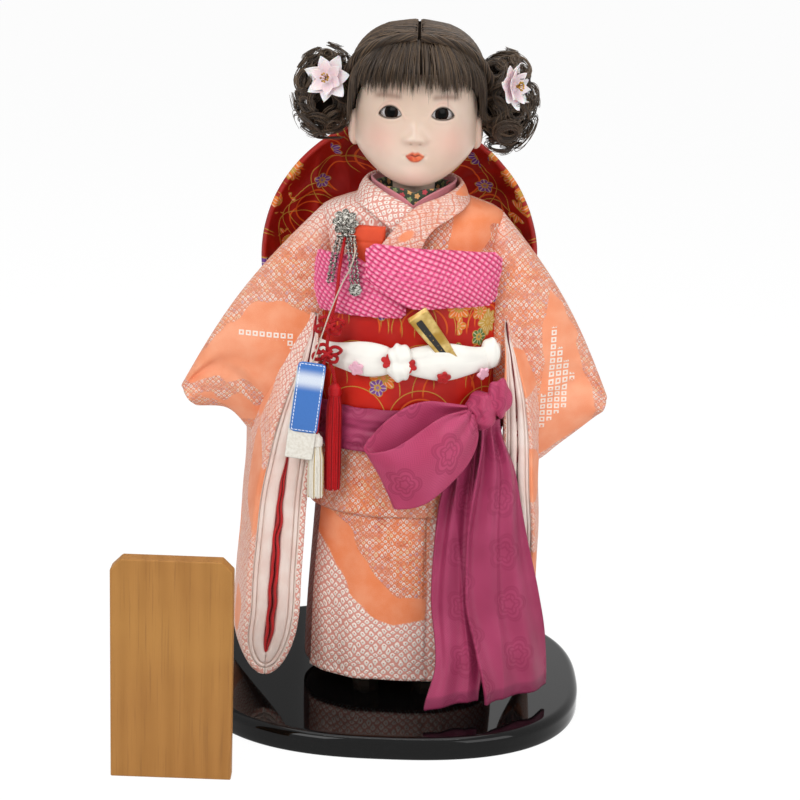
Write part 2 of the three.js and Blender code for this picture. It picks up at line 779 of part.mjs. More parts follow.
function eyeCentre(sign) {
  const x = sign * EYE_SPACING;
  const reach = headWidthAt(EYE_LEVEL);
  const angle = -Math.acos(signedPower(x / reach, HEAD_SQUARENESS / 2));
  const skin = headPoint(angle, EYE_LEVEL);
  return new THREE.Vector3(x, skin.y + EYE_RADIUS + EYE_SETBACK, CHIN_HEIGHT + EYE_LEVEL);
}

function eyeball(sign, extra) {
  return ball(EYE_RADIUS + extra, eyeCentre(sign).toArray(), [1, 1, 1], 10, 6);
}

function eyeOpening(sign) {
  const centre = eyeCentre(sign);
  const outline = range(10).map((i) => {
    const turn = (i / 10) * 2 * Math.PI;
    const x = EYE_HALF_WIDTH * Math.cos(turn);
    return [x, EYE_HALF_HEIGHT * Math.sin(turn) * (1 - 0.25 * (x / EYE_HALF_WIDTH) ** 2)];
  });
  const opening = prism(outline, 0, EYE_RADIUS * 3);
  opening.rotateX(Math.PI / 2);
  opening.translate(centre.x, centre.y, centre.z);
  return opening;
}

function ear(sign, extra) {
  const centre = [sign * HEAD_HALF_WIDTH, 1, CHIN_HEIGHT + EAR_LEVEL];
  const shape = [EAR_WIDTH / EAR_LENGTH, EAR_DEPTH / EAR_LENGTH, 1];
  return ball(EAR_LENGTH / 2 + extra, centre, shape, 8, 6);
}

function head() {
  const neck = rod(
    NECK_RADIUS,
    new THREE.Vector3(0, 0, CHIN_HEIGHT - NECK_PLUG_DEPTH),
    new THREE.Vector3(0, 0, CHIN_HEIGHT + CHEEK_LEVEL / 2),
    24,
  );
  const ears = SIDES.map(({ sign }) => ear(sign, 0));
  const sockets = SIDES.flatMap(({ sign }) => {
    return [eyeball(sign, FIT), eyeOpening(sign)];
  });
  return cut(join(headLoft(0, HEAD_LEVELS), neck, ...ears), ...sockets);
}

// Hair: a cap drawn back from a centre parting, a thick fringe with side locks, two curled buns

function hairCrown() {
  const run = SKULL_DEPTH + FACE_DEPTH;
  const slope = (HAIRLINE_BACK - HAIRLINE_FRONT) / run;
  const reach = 4 * run;
  const hairline = (y) => CHIN_HEIGHT + HAIRLINE_FRONT + slope * (y + FACE_DEPTH);
  const faceAndNeck = ringLoft([-reach, reach].map((x) => [
    new THREE.Vector3(x, -reach, hairline(-reach)),
    new THREE.Vector3(x, reach, hairline(reach)),
    new THREE.Vector3(x, reach, hairline(reach) - reach),
    new THREE.Vector3(x, -reach, hairline(-reach) - 2 * reach),
  ]));
  const ridge = [0.75, 0.85, 0.93, 0.98, 1].map((share) => {
    return headShell(FRONT, HEAD_LENGTH * share, HAIR_THICKNESS);
  });
  const centre = new THREE.Vector3(0, 0, CHIN_HEIGHT + HEAD_LENGTH / 2);
  const parting = ringLoft(ridge.map((point) => {
    const out = point.clone().sub(centre).normalize();
    return [
      point.clone().addScaledVector(out, FIT).add(new THREE.Vector3(PARTING_WIDTH / 2, 0, 0)),
      point.clone().addScaledVector(out, FIT).add(new THREE.Vector3(-PARTING_WIDTH / 2, 0, 0)),
      point.clone().addScaledVector(out, -PARTING_DEPTH),
    ];
  }));
  const ears = SIDES.map(({ sign }) => ear(sign, LOOSE_FIT));
  return cut(headLoft(HAIR_THICKNESS), headLoft(FIT), faceAndNeck, parting, ...ears);
}

function fringe(grow) {
  const offset = HAIR_THICKNESS + 2 * FIT + FRINGE_THICKNESS / 2;
  return slab((u, v) => {
    const across = 2 * u - 1;
    const drop = SIDE_LOCK_DROP * smoothStep(0.7, 1, Math.abs(across));
    const top = FRINGE_TOP - 12 * across * across + grow;
    const level = mix(top, FRINGE_BOTTOM - drop - grow, v);
    const reach = FRINGE_SPREAD + grow * 2;
    return headShell(FRONT + across * reach * DEG, level, offset);
  }, 14, 3, FRINGE_THICKNESS + 2 * grow);
}

function bunSurface(sign, extra) {
  const rings = steps(-0.96, 0.96, 8).map((share) => {
    return range(14).map((i) => {
      const turn = (i / 14) * 2 * Math.PI;
      const girth = Math.sqrt(1 - share * share) * (1 + 0.07 * Math.sin(4 * turn + 5 * share));
      const x = sign * BUN_X + (BUN_HALF_WIDTH + extra) * girth * Math.cos(turn);
      const y = BUN_Y + (BUN_HALF_DEPTH + extra) * girth * Math.sin(turn);
      return new THREE.Vector3(x, y, CHIN_HEIGHT + BUN_LEVEL + (BUN_HALF_HEIGHT + extra) * share);
    });
  });
  return ringLoft(rings);
}

function bun(sign) {
  return cut(bunSurface(sign, 0), headLoft(HAIR_THICKNESS + FIT), fringe(LOOSE_FIT));
}

function petalled(radius, petals, depth) {
  const rows = [
    [0.3, 0, 0],
    [1, 1, depth * 0.8],
    [0.85, 0.8, depth],
    [0.3, 0, depth * 0.55],
    [0.16, 0, depth * 1.1],
  ];
  const perPetal = 3;
  const rings = rows.map(([share, lobes, height]) => range(petals * perPetal).map((i) => {
    const turn = (i / (petals * perPetal)) * 2 * Math.PI;
    const notch = 1 - 0.42 * lobes * (1 - Math.abs(Math.cos((petals * turn) / 2)));
    const reach = radius * share * notch;
    return new THREE.Vector3(reach * Math.cos(turn), reach * Math.sin(turn), height);
  }));
  return ringLoft(rings);
}

function facing(geometry, direction, place) {
  const turn = new THREE.Quaternion();
  turn.setFromUnitVectors(new THREE.Vector3(0, 0, 1), direction.clone().normalize());
  geometry.applyQuaternion(turn);
  geometry.translate(place.x, place.y, place.z);
  return geometry;
}

function hairFlower(sign) {
  const outward = sign < 0 ? new THREE.Vector3(-0.35, -0.9, 0.2) : new THREE.Vector3(0.8, -0.55, 0.15);
  const [x, y, rise] = sign < 0 ? [1 - BUN_X, -12, 12.2] : [BUN_X + 2, -11, 11.2];
  const seat = new THREE.Vector3(x, y, CHIN_HEIGHT + BUN_LEVEL + rise);
  return cut(facing(petalled(FLOWER_RADIUS, FLOWER_PETALS, 6), outward, seat), bunSurface(sign, FIT));
}

addPart(doll, 'head', head(), paint.skin);
addPart(doll, 'hair_crown', hairCrown(), paint.hair);
addPart(doll, 'hair_fringe', fringe(0), paint.hair);
for (const { name, sign } of SIDES) {
  addPart(doll, `eye_${name}`, eyeball(sign, 0), paint.glass);
  addPart(doll, `hair_bun_${name}`, bun(sign), paint.hair);
  addPart(doll, `hair_flower_${name}`, hairFlower(sign), paint.petal);
}

// Kimono: one shell from hem to neck, a front panel lapped over it, and the fold at the waist

function figureSolid(offset, heights) {
  const rings = heights.map((height) => range(FIGURE_FACETS).map((i) => {
    return onFigure((i / FIGURE_FACETS) * 2 * Math.PI, offset, height);
  }));
  return ringLoft(rings);
}

function ovalRod(halfWidth, halfDepth, low, high, count = 24) {
  return ringLoft([low, high].map((height) => superellipse(halfWidth, halfDepth, 2, count, height)));
}

function shoulderPoint(sign) {
  return new THREE.Vector3(sign * SLEEVE_SEAM_X, 0, SHOULDER_HEIGHT - ARM_DROP);
}

function kimonoBody() {
  const heights = [
    HEM_HEIGHT,
    ...steps(HIP_HEIGHT, WAIST_HEIGHT, 2),
    CHEST_HEIGHT,
    ...steps(CHEST_HEIGHT, SHOULDER_HEIGHT, 2).slice(1),
    NECK_HEIGHT,
  ];
  const shell = ringBand(() => wallSection(-KIMONO_WALL, 0, heights));
  const neckOpening = ovalRod(NECK_OPENING_HALF_WIDTH, NECK_OPENING_HALF_DEPTH, CHEST_HEIGHT, CHIN_HEIGHT);
  const armholes = SIDES.map(({ sign }) => {
    const centre = shoulderPoint(sign);
    const hole = ovalRod(ARMHOLE_HALF_LENGTH, ARMHOLE_HALF_DEPTH, -ARM_RADIUS * 2, ARM_RADIUS * 2, 16);
    hole.rotateY(Math.PI / 2);
    hole.translate(centre.x, centre.y, centre.z);
    return hole;
  });
  return cut(shell, neckOpening, ...armholes);
}

function frontPanel() {
  const middle = (HIP_HEIGHT + WAIST_HEIGHT) / 2;
  const heights = [HEM_HEIGHT, HIP_HEIGHT, middle, WAIST_FOLD_TOP - PANEL_TUCK];
  const section = wallSection(PANEL_OFFSET, PANEL_OFFSET + PANEL_WALL, heights);
  const facet = (2 * Math.PI) / FIGURE_FACETS;
  const facets = PANEL_TO_FACET - PANEL_FROM_FACET;
  return stripBand(PANEL_FROM_FACET * facet, PANEL_TO_FACET * facet, facets, () => section);
}

function waistFold() {
  const low = WAIST_FOLD_TOP - WAIST_FOLD_DROP;
  const inner = WAIST_FOLD_OFFSET;
  const outer = WAIST_FOLD_OFFSET + WAIST_FOLD_WALL;
  return ringBand(() => wallSection(inner, outer, [low, WAIST_FOLD_TOP]));
}

addPart(doll, 'kimono_body', kimonoBody(), paint.shibori);
addPart(doll, 'kimono_front_panel', frontPanel(), paint.kanoko);
addPart(doll, 'waist_fold', waistFold(), paint.shibori);

// Collars: under-collar, thin edging and the kimono's own band, crossed left over right

function collarRise(x) {
  return mix(COLLAR_V_HEIGHT, COLLAR_SIDE_HEIGHT, Math.min(Math.abs(x) / NECK_OPENING_HALF_WIDTH, 1));
}

function neckRing(inset, wall, frontShow) {
  const rings = range(FIGURE_FACETS).map((i) => {
    const turn = (i / FIGURE_FACETS) * 2 * Math.PI;
    const at = (depth, height) => new THREE.Vector3(
      (NECK_OPENING_HALF_WIDTH - depth) * Math.cos(turn),
      (NECK_OPENING_HALF_DEPTH - depth) * Math.sin(turn),
      height,
    );
    const share = Math.abs(Math.cos(turn));
    const top = collarRise(share * NECK_OPENING_HALF_WIDTH) + frontShow * (1 - 0.75 * share);
    const low = COLLAR_V_HEIGHT - COLLAR_TUCK;
    return [at(inset, low), at(inset, top), at(inset + wall, top), at(inset + wall, low)];
  });
  return ringLoft(rings, true);
}

function collarEdge(width, height, depth) {
  return [
    new THREE.Vector3(-width, 0, height),
    new THREE.Vector3(-width * 0.72, depth * 0.7, height + COLLAR_BACK_RISE * 0.5),
    new THREE.Vector3(0, depth, height + COLLAR_BACK_RISE),
    new THREE.Vector3(width * 0.72, depth * 0.7, height + COLLAR_BACK_RISE * 0.5),
    new THREE.Vector3(width, 0, height),
  ];
}

// Points of the collar's inner edge from the front towards one side
function collarFront(sign, grow, shares) {
  return shares.map((share) => {
    const x = sign * (NECK_OPENING_HALF_WIDTH + grow) * share;
    const y = -(NECK_OPENING_HALF_DEPTH + grow) * Math.sqrt(1 - share * share);
    return new THREE.Vector3(x, y, mix(COLLAR_V_HEIGHT, COLLAR_SIDE_HEIGHT, share));
  });
}

function kimonoCollar() {
  const clear = 3 * FIT + COLLAR_WALL / 2;
  const overChest = OVER_POUCH + FIT + COLLAR_WALL / 2;
  const rim = NECK_OPENING_HALF_DEPTH + clear;
  const lap = COLLAR_WALL + FIT;
  const inner = new THREE.CatmullRomCurve3([
    new THREE.Vector3(COLLAR_LAP_X, -rim - FIT, COLLAR_V_HEIGHT - COLLAR_LAP_X),
    ...collarFront(-1, clear, [0, 0.55, 0.87]),
    ...collarEdge(NECK_OPENING_HALF_WIDTH + clear, COLLAR_SIDE_HEIGHT, rim),
    ...collarFront(1, clear + lap, [0.85, 0.55, 0]),
    onFront(-COLLAR_END_X, overChest, COLLAR_END_HEIGHT + COLLAR_WIDTH * 0.3),
  ], false, 'centripetal');
  const outer = new THREE.CatmullRomCurve3([
    onFront(-COLLAR_LAP_X, clear, COLLAR_V_HEIGHT - COLLAR_WIDTH),
    onFront(-COLLAR_WIDTH * 0.7, clear, COLLAR_V_HEIGHT - COLLAR_WIDTH * 0.8),
    onFront(-COLLAR_OUTER_X * 0.72, clear, COLLAR_OUTER_HEIGHT - COLLAR_WIDTH * 0.45),
    onFront(-COLLAR_OUTER_X * 0.92, clear, COLLAR_OUTER_HEIGHT - COLLAR_WIDTH * 0.2),
    ...collarEdge(COLLAR_OUTER_X, COLLAR_OUTER_HEIGHT, rim + 2),
    onFront(COLLAR_OUTER_X * 0.92, clear + lap, COLLAR_OUTER_HEIGHT - COLLAR_WIDTH * 0.2),
    onFront(COLLAR_OUTER_X * 0.72, clear + lap, COLLAR_OUTER_HEIGHT - COLLAR_WIDTH * 0.45),
    onFront(COLLAR_WIDTH * 0.7, clear + lap, COLLAR_V_HEIGHT - COLLAR_WIDTH * 0.8),
    onFront(COLLAR_END_X * 0.1, overChest, COLLAR_END_HEIGHT - COLLAR_WIDTH * 0.2),
  ], false, 'centripetal');
  const band = slab((u, v) => inner.getPoint(u).lerp(outer.getPoint(u), v), 18, 1, COLLAR_WALL);
  const chest = steps(CHEST_HEIGHT, SHOULDER_HEIGHT, 2);
  return cut(band, figureSolid(FIT, [...chest, NECK_HEIGHT]));
}

addPart(doll, 'collar_edging', neckRing(FIT, EDGING_WALL, EDGING_SHOW), paint.edging);
addPart(
  doll,
  'under_collar',
  neckRing(2 * FIT + EDGING_WALL, UNDER_COLLAR_WALL, EDGING_SHOW + UNDER_COLLAR_SHOW),
  paint.darkSilk,
);
addPart(doll, 'kimono_collar', kimonoCollar(), paint.kanoko);

// Arms and long sleeves. A sleeve is a fin from the shoulder to the cuff with a bag hanging from it,
// open at the front edge, where the lining and the under-sleeve show as nested folds.
// Bag rows: height, middle, half width, front edge, back edge, lean away from the body.

const SLEEVES = {
  right: {
    sign: -1,
    wall: 4.2,
    cuffTip: [152, 199.5],
    cuffHeel: [114, 176],
    bag: [
      [BAG_BOTTOM, 88, 21, -50, 28, 0.35],
      [64, 83.5, 22, -50, 28, 0.35],
      [135, 77.5, 21, -50, 28, 0.36],
      [172, 75, 19, -50, 26, 0.42],
      [205, 69, 15, -46, 20, 0.55],
      [BAG_TOP, 61.5, 5, -36, 10, 0.7],
    ],
  },
  left: {
    sign: 1,
    wall: 2.8,
    cuffTip: [136, 201],
    cuffHeel: [98, 166],
    bag: [
      [BAG_BOTTOM, 88, 14.5, -34, 26, 0.2],
      [64, 84, 15.5, -36, 26, 0.2],
      [135, 79, 15.5, -38, 26, 0.22],
      [172, 77, 15.5, -38, 24, 0.28],
      [205, 73, 12, -37, 18, 0.45],
      [BAG_TOP, 68, 5, -30, 10, 0.6],
    ],
  },
};

function finRing(side, u, inset, count = 12) {
  const seamTop = new THREE.Vector2(SLEEVE_SEAM_X, SHOULDER_HEIGHT);
  const seamLow = seamTop.clone().add(new THREE.Vector2(SLEEVE_SEAM_FLARE, -SLEEVE_SEAM_LENGTH));
  const upper = seamTop.lerp(new THREE.Vector2(...side.cuffTip), u);
  const lower = seamLow.lerp(new THREE.Vector2(...side.cuffHeel), u);
  const swell = SLEEVE_BULGE * Math.sin(Math.PI * Math.min(u, 1));
  upper.add(new THREE.Vector2(0.8, 0.6).multiplyScalar(swell));
  const middle = upper.clone().add(lower).multiplyScalar(0.5);
  const half = upper.clone().sub(lower).multiplyScalar(0.5);
  const length = half.length();
  half.multiplyScalar((length - inset) / length);
  const depth = mix(SLEEVE_SEAM_DEPTH, CUFF_DEPTH, u) - inset;
  return range(count).map((i) => {
    const turn = (i / count) * 2 * Math.PI;
    const up = signedPower(Math.cos(turn), 0.85);
    const out = signedPower(Math.sin(turn), 0.85);
    return new THREE.Vector3(side.sign * (middle.x + half.x * up), depth * out, middle.y + half.y * up);
  });
}

function bagRing(side, height, inset, reach) {
  const [middle, fullWidth, front, back, lean] = alongRows(side.bag, height);
  const rise = Math.min((height - BAG_BOTTOM - inset) / (BAG_ROUNDING - inset), 1);
  const width = (fullWidth - inset) * Math.sqrt(1 - (1 - rise) ** 2);
  const depth = back - front - 1.6 * inset;
  const edgeAt = (share, outward) => {
    const taper = width * (1 - share ** 1.5) + BAG_BACK_ROUND * share * (width / fullWidth);
    const x = middle + lean * share * depth + outward * taper;
    return new THREE.Vector3(side.sign * x, front + share * depth, height);
  };
  const shares = [0, 0.3, 0.6, 0.85, 1];
  const outer = shares.map((share) => edgeAt(share, 1));
  const inner = shares.toReversed().map((share) => edgeAt(share, -1));
  const forward = new THREE.Vector3(0, -reach, 0);
  const ends = reach > 0 ? [outer[0], inner.at(-1)].map((point) => point.clone().add(forward)) : [];
  return [...ends.slice(0, 1), ...outer, ...inner, ...ends.slice(1)];
}

function bag(side, inset, top, reach = 0) {
  const bottom = BAG_BOTTOM + inset;
  const rounding = BAG_ROUNDING - inset;
  const curve = [0.03, 0.25, 0.6].map((share) => bottom + rounding * share);
  const heights = [...curve, ...BAG_STATIONS.filter((height) => height < top - 3), top];
  return ringLoft(heights.map((height) => bagRing(side, height, inset, reach)));
}

function cuffMiddle(side) {
  const x = (side.cuffTip[0] + side.cuffHeel[0]) / 2;
  return new THREE.Vector3(side.sign * x, 0, (side.cuffTip[1] + side.cuffHeel[1]) / 2);
}

function armAxis(side) {
  const from = shoulderPoint(side.sign);
  return { from, axis: cuffMiddle(side).sub(from) };
}

function armRings(side, rows, grow) {
  const { from, axis } = armAxis(side);
  const along = axis.clone().normalize();
  const flat = new THREE.Vector3(0, 1, 0);
  const thin = along.clone().cross(flat);
  return rows.map(([share, broad, narrow]) => range(12).map((i) => {
    const turn = (i / 12) * 2 * Math.PI;
    return from.clone().addScaledVector(axis, share)
      .addScaledVector(flat, (broad + grow) * Math.cos(turn))
      .addScaledVector(thin, (narrow + grow) * Math.sin(turn));
  }));
}

function arm(side) {
  const rows = [
    [0, ARM_RADIUS, ARM_RADIUS],
    [0.45, ARM_RADIUS * 0.95, ARM_RADIUS * 0.95],
    [0.7, WRIST_RADIUS, WRIST_RADIUS * 0.9],
    [0.78, WRIST_RADIUS * 1.15, WRIST_RADIUS * 0.75],
    [0.88, WRIST_RADIUS * 1.15, WRIST_RADIUS * 0.55],
  ];
  const { from, axis } = armAxis(side);
  const along = axis.clone().normalize();
  const knuckles = from.clone().addScaledVector(axis, 0.86);
  const spacing = FINGER_RADIUS * 2 + FIT;
  const fingers = [-1.5, -0.5, 0.5, 1.5].map((place) => {
    const root = knuckles.clone().add(new THREE.Vector3(0, place * spacing, 0));
    const length = FINGER_LENGTH * (1.2 - 0.12 * Math.abs(place - 0.5));
    return rod(FINGER_RADIUS, root, root.clone().addScaledVector(along, length), 5);
  });
  const thumbRoot = from.clone().addScaledVector(axis, 0.78);
  thumbRoot.y -= WRIST_RADIUS * 0.7;
  const thumbTip = thumbRoot.clone().addScaledVector(along, FINGER_LENGTH);
  thumbTip.y -= WRIST_RADIUS * 0.6;
  return join(ringLoft(armRings(side, rows, 0)), ...fingers, rod(FINGER_RADIUS, thumbRoot, thumbTip, 6));
}

function armRoom(side) {
  const rows = [-0.15, 0.9].map((share) => [share, ARM_RADIUS, ARM_RADIUS]);
  return ringLoft(armRings(side, rows, FIT));
}

function sleeve(side) {
  const fin = ringLoft([0, 0.2, 0.5, 0.8, 1].map((u) => finRing(side, u, 0)));
  const cuffRoom = ringLoft([0.74, 1.06].map((u) => finRing(side, u, CUFF_WALL)));
  const cavity = bag(side, side.wall, BAG_LAYER_TOPS[0] + FIT, BAG_OPENING);
  return cut(join(fin, bag(side, 0, BAG_TOP)), cavity, armRoom(side), cuffRoom);
}

function sleeveLayer(side, level) {
  const inset = (level + 1) * (side.wall + FIT);
  const layer = bag(side, inset, BAG_LAYER_TOPS[level]);
  const isInnermost = level === BAG_LAYER_TOPS.length - 1;
  if (isInnermost) return cut(layer, armRoom(side));
  const cavity = bag(side, inset + side.wall, BAG_LAYER_TOPS[level + 1] + FIT, BAG_OPENING);
  return cut(layer, cavity, armRoom(side));
}

for (const { name } of SIDES) {
  const side = SLEEVES[name];
  addPart(doll, `arm_${name}`, arm(side), paint.skin);
  addPart(doll, `sleeve_${name}`, sleeve(side), paint.shibori);
  addPart(doll, `sleeve_lining_${name}`, sleeveLayer(side, 0), paint.lining);
  addPart(doll, `under_sleeve_${name}`, sleeveLayer(side, 1), paint.whiteSilk);
  addPart(doll, `under_sleeve_lining_${name}`, sleeveLayer(side, 2), paint.redSilk);
}

// Obi with its bow at the back

function bowWing(sign) {
  const wing = slab((u, v) => {
    const turn = mix(BOW_UPPER_ANGLE, BOW_LOWER_ANGLE, v) * DEG;
    const radius = mix(BOW_ROOT_RADIUS, mix(BOW_RISE, BOW_REACH, v), u);
    const pleat = BOW_PLEAT * u * Math.sin(3 * Math.PI * v);
    const y = BOW_Y + BOW_HOLLOW * Math.sin(Math.PI * u) - BOW_FORWARD * u + pleat;
    return new THREE.Vector3(BOW_X + sign * radius * Math.sin(turn), y, BOW_HEIGHT + radius * Math.cos(turn));
  }, 5, 6, BOW_WALL);
  return cut(wing, bowBand(FIT));
}

function bowBand(grow) {
  const front = -frontY(0, OVER_OBI, BOW_HEIGHT - BOW_BAND_HEIGHT / 2);
  return box(
    [BOW_X - BOW_BAND_WIDTH / 2 - grow, front - grow, BOW_HEIGHT - BOW_BAND_HEIGHT / 2 - grow],
    [
      BOW_X + BOW_BAND_WIDTH / 2 + grow,
      front + BOW_BAND_DEPTH + grow,
      BOW_HEIGHT + BOW_BAND_HEIGHT / 2 + grow,
    ],
  );
}

function bowTail() {
  const top = BOW_HEIGHT - BOW_BAND_HEIGHT / 2 - BOW_WALL * 0.25;
  return slab((u, v) => {
    const x = BOW_X + (v - 0.5) * mix(BOW_BAND_WIDTH, BOW_TAIL_WIDTH, smoothStep(0, 0.5, u));
    const y = BOW_Y + BOW_FORWARD * Math.sin(Math.PI * u) + BOW_PLEAT * u * Math.cos(2 * Math.PI * v);
    return new THREE.Vector3(x, y, top - BOW_TAIL_DROP * u);
  }, 5, 6, BOW_WALL);
}

addPart(doll, 'obi', ringBand(() => {
  return wallSection(OBI_OFFSET, OBI_OFFSET + OBI_WALL, [OBI_BOTTOM, OBI_TOP]);
}), paint.brocade);
for (const { name, sign } of SIDES) addPart(doll, `bow_wing_${name}`, bowWing(sign), paint.brocade);
addPart(doll, 'bow_band', bowBand(0), paint.brocade);
addPart(doll, 'bow_tail', bowTail(), paint.brocade);

// Folded fan, pushed in behind the cord. Built upright, then turned and set in place.

const FAN_AXIS = new THREE.Vector3(-0.56, -0.3, 0.77).normalize();

function fan(grow) {
  const ring = (width, thickness, height) => {
    const w = width / 2 + grow;
    const t = thickness / 2 + grow;
    const corner = t * 0.6;
    return [
      [w - corner, -t], [w, -t + corner], [w, t - corner], [w - corner, t],
      [-w + corner, t], [-w, t - corner], [-w, -t + corner], [-w + corner, -t],
    ].map(([x, y]) => new THREE.Vector3(x, y, height));
  };
  const geometry = ringLoft([
    ring(FAN_END_WIDTH * 0.7, FAN_THICKNESS * 0.8, -grow),
    ring(FAN_END_WIDTH, FAN_THICKNESS, 2),
    ring(FAN_WIDTH, FAN_THICKNESS, FAN_LENGTH + grow),
  ]);
  const across = new THREE.Vector3(0, -1, 0).cross(FAN_AXIS).normalize().negate();
  const through = FAN_AXIS.clone().cross(across);
  const foot = onFront(FAN_FOOT_X, OVER_OBI + FAN_THICKNESS / 2 + 2 * FIT, FAN_FOOT_HEIGHT);
  geometry.applyMatrix4(new THREE.Matrix4().makeBasis(across, through, FAN_AXIS).setPosition(foot));
  return geometry;
}

// Padded cord round the obi with its knot

function cordBand(grow) {
  return ringBand((angle) => {
    const front = Math.max(-Math.sin(angle), 0) ** 2;
    const thick = (CORD_BAND_THICKNESS * mix(0.55, 1, front)) / 2;
    const half = CORD_BAND_HALF_HEIGHT * mix(0.7, 1, front);
    return range(6).map((i) => {
      const turn = (i / 6) * 2 * Math.PI;
      const offset = OVER_OBI + thick + (thick + grow) * Math.cos(turn);
      return [offset, CORD_BAND_HEIGHT + (half + grow) * Math.sin(turn)];
    });
  });
}

function cordKnot() {
  const place = onFront(CORD_KNOT_X, OVER_OBI + CORD_BAND_THICKNESS, CORD_BAND_HEIGHT);
  const knot = ball(CORD_KNOT_RADIUS, place.toArray(), [0.78, 0.6, 1], 10, 8);
  return cut(knot, cordBand(FIT), figureSolid(OVER_OBI, [OBI_BOTTOM, OBI_TOP]), fan(FIT));
}

addPart(doll, 'folded_fan', fan(0), paint.gold);
addPart(doll, 'obijime', cut(cordBand(0), fan(FIT)), paint.whiteSilk);
addPart(doll, 'obijime_knot', cordKnot(), paint.whiteSilk);

// Obi scarf: two soft folds crossed at the front

function scarfUnder() {
  const from = frontAngle(SCARF_UNDER_FROM_X, OVER_OBI, OBI_TOP);
  const to = frontAngle(SCARF_UNDER_TO_X, OVER_OBI, OBI_TOP);
  return stripBand(from, to, 10, (share) => {
    const high = mix(SCARF_UNDER_HIGH, SCARF_UNDER_TIP, smoothStep(0.35, 1, share));
    return padSection(OVER_OBI + 2 * FIT, SCARF_THICKNESS, SCARF_LOW, high);
  });
}

function scarfOver() {
  const from = frontAngle(SCARF_OVER_FROM_X, OVER_OBI, OBI_TOP);
  const to = frontAngle(SCARF_OVER_TO_X, OVER_OBI, OBI_TOP);
  return stripBand(from, to, 10, (share) => {
    const settle = smoothStep(0.38, 0.65, share);
    const low = SCARF_LOW + mix(SCARF_OVER_RISE, SCARF_OVER_RISE * 0.35, smoothStep(0, 0.35, share));
    const inner = OVER_OBI + mix(SCARF_THICKNESS * 1.05 + 4 * FIT, 2 * FIT, settle);
    return padSection(inner, SCARF_THICKNESS, low, SCARF_HIGH - 7 * share);
  });
}

addPart(doll, 'obiage_under', scarfUnder(), paint.pinkKanoko);
addPart(doll, 'obiage_over', scarfOver(), paint.pinkKanoko);

// Purple sash: belt, knot, drooping loop and two tails

function sashBelt() {
  const low = SASH_HEIGHT;
  const wall = SASH_WALL;
  const creases = [[0.7, 0], [1, 0.3], [0.6, 0.5], [1, 0.75]];
  return ringBand(() => [
    ...creases.map(([share, rise]) => [SASH_OFFSET + wall * share, low + SASH_WIDTH * rise]),
    [SASH_OFFSET + wall * 0.4, low + SASH_WIDTH],
    [SASH_OFFSET, low + SASH_WIDTH],
    [SASH_OFFSET, low],
  ]);
}

function sashKnot(grow) {
  const place = onFront(SASH_KNOT_X, OVER_SASH + SASH_KNOT_RADIUS * 0.45, SASH_KNOT_HEIGHT);
  const radius = SASH_KNOT_RADIUS + grow;
  const knot = ball(radius, place.toArray(), [0.9, 0.75, 1.08], 10, 6);
  const ear = place.clone().add(new THREE.Vector3(SASH_KNOT_RADIUS, -1, SASH_KNOT_RADIUS * 0.6));
  const upperLoop = ball(radius, ear.toArray(), [0.8, 0.5, 1], 8, 6);
  return cut(join(knot, upperLoop), figureSolid(OVER_SASH, steps(HIP_HEIGHT, CHEST_HEIGHT, 4)));
}

function sashLoop() {
  const near = SASH_KNOT_X - SASH_KNOT_RADIUS * 0.3;
  const corner = [...SASH_LOOP_NEAR.map((rise) => [near, rise]), ...SASH_LOOP_FAR];
  const loop = slab((u, v) => {
    const x = mix(mix(corner[0][0], corner[1][0], v), mix(corner[2][0], corner[3][0], v), u);
    const z = mix(mix(corner[0][1], corner[1][1], v), mix(corner[2][1], corner[3][1], v), u);
    const crown = 0.55 + 0.45 * Math.sin(Math.PI * v);
    const puff = SASH_LOOP_PUFF * Math.sin(Math.PI * mix(0.12, 0.95, u)) * crown;
    const droop = 6 * Math.sin(Math.PI * u) * (v - 0.2) - SASH_KNOT_HEIGHT;
    return onFront(x, OVER_SASH + SASH_TAIL_WALL + SASH_LOOP_WALL / 2 + 5 * FIT + puff, z - droop);
  }, 8, 4, SASH_LOOP_WALL);
  return cut(loop, sashKnot(2 * FIT));
}

// Edge rows of a tail: height, then x and y of its left edge, then x and y of its right edge
function sashTail(rows, ripple) {
  const top = rows.at(-1)[0];
  const low = rows[0][0];
  const tail = slab((u, v) => {
    const height = mix(top, low, u);
    const [leftX, leftY, rightX, rightY] = alongRows(rows, height);
    const fold = ripple * u * Math.sin(2 * Math.PI * v);
    return new THREE.Vector3(mix(leftX, rightX, v), mix(leftY, rightY, v) + fold, height);
  }, 7, 4, SASH_TAIL_WALL);
  return cut(tail, sashKnot(2 * FIT));
}

const TAIL_TOP = SASH_KNOT_HEIGHT - SASH_KNOT_RADIUS * 0.5;
const FRONT_TAIL = [
  [9, 20, -92, 55, -79],
  [37, 26, -82, 57, -73],
  [80, 21, -69, 57, -63],
  [136, 25, -57, 53, -54],
  [TAIL_TOP, 37, -51.5, 48.5, -49],
];
const SIDE_TAIL = [
  [10, 61, -87, 104, -46],
  [45, 54, -80, 101, -49],
  [80, 46, -73, 94, -51],
  [120, 45, -66, 84, -51],
  [160, 48, -58.5, 76, -48],
  [TAIL_TOP, 51, -52, 63, -47],
];

addPart(doll, 'sash_belt', sashBelt(), paint.purple);
addPart(doll, 'sash_knot', sashKnot(0), paint.purple);
addPart(doll, 'sash_loop', sashLoop(), paint.purple);
addPart(doll, 'sash_tail_front', sashTail(FRONT_TAIL, 2.5), paint.purple);
addPart(doll, 'sash_tail_side', sashTail(SIDE_TAIL, -3), paint.purple);

// Breast ornaments: pouch, silver hairpin head with its chains, charm cord, tassels and gift tag

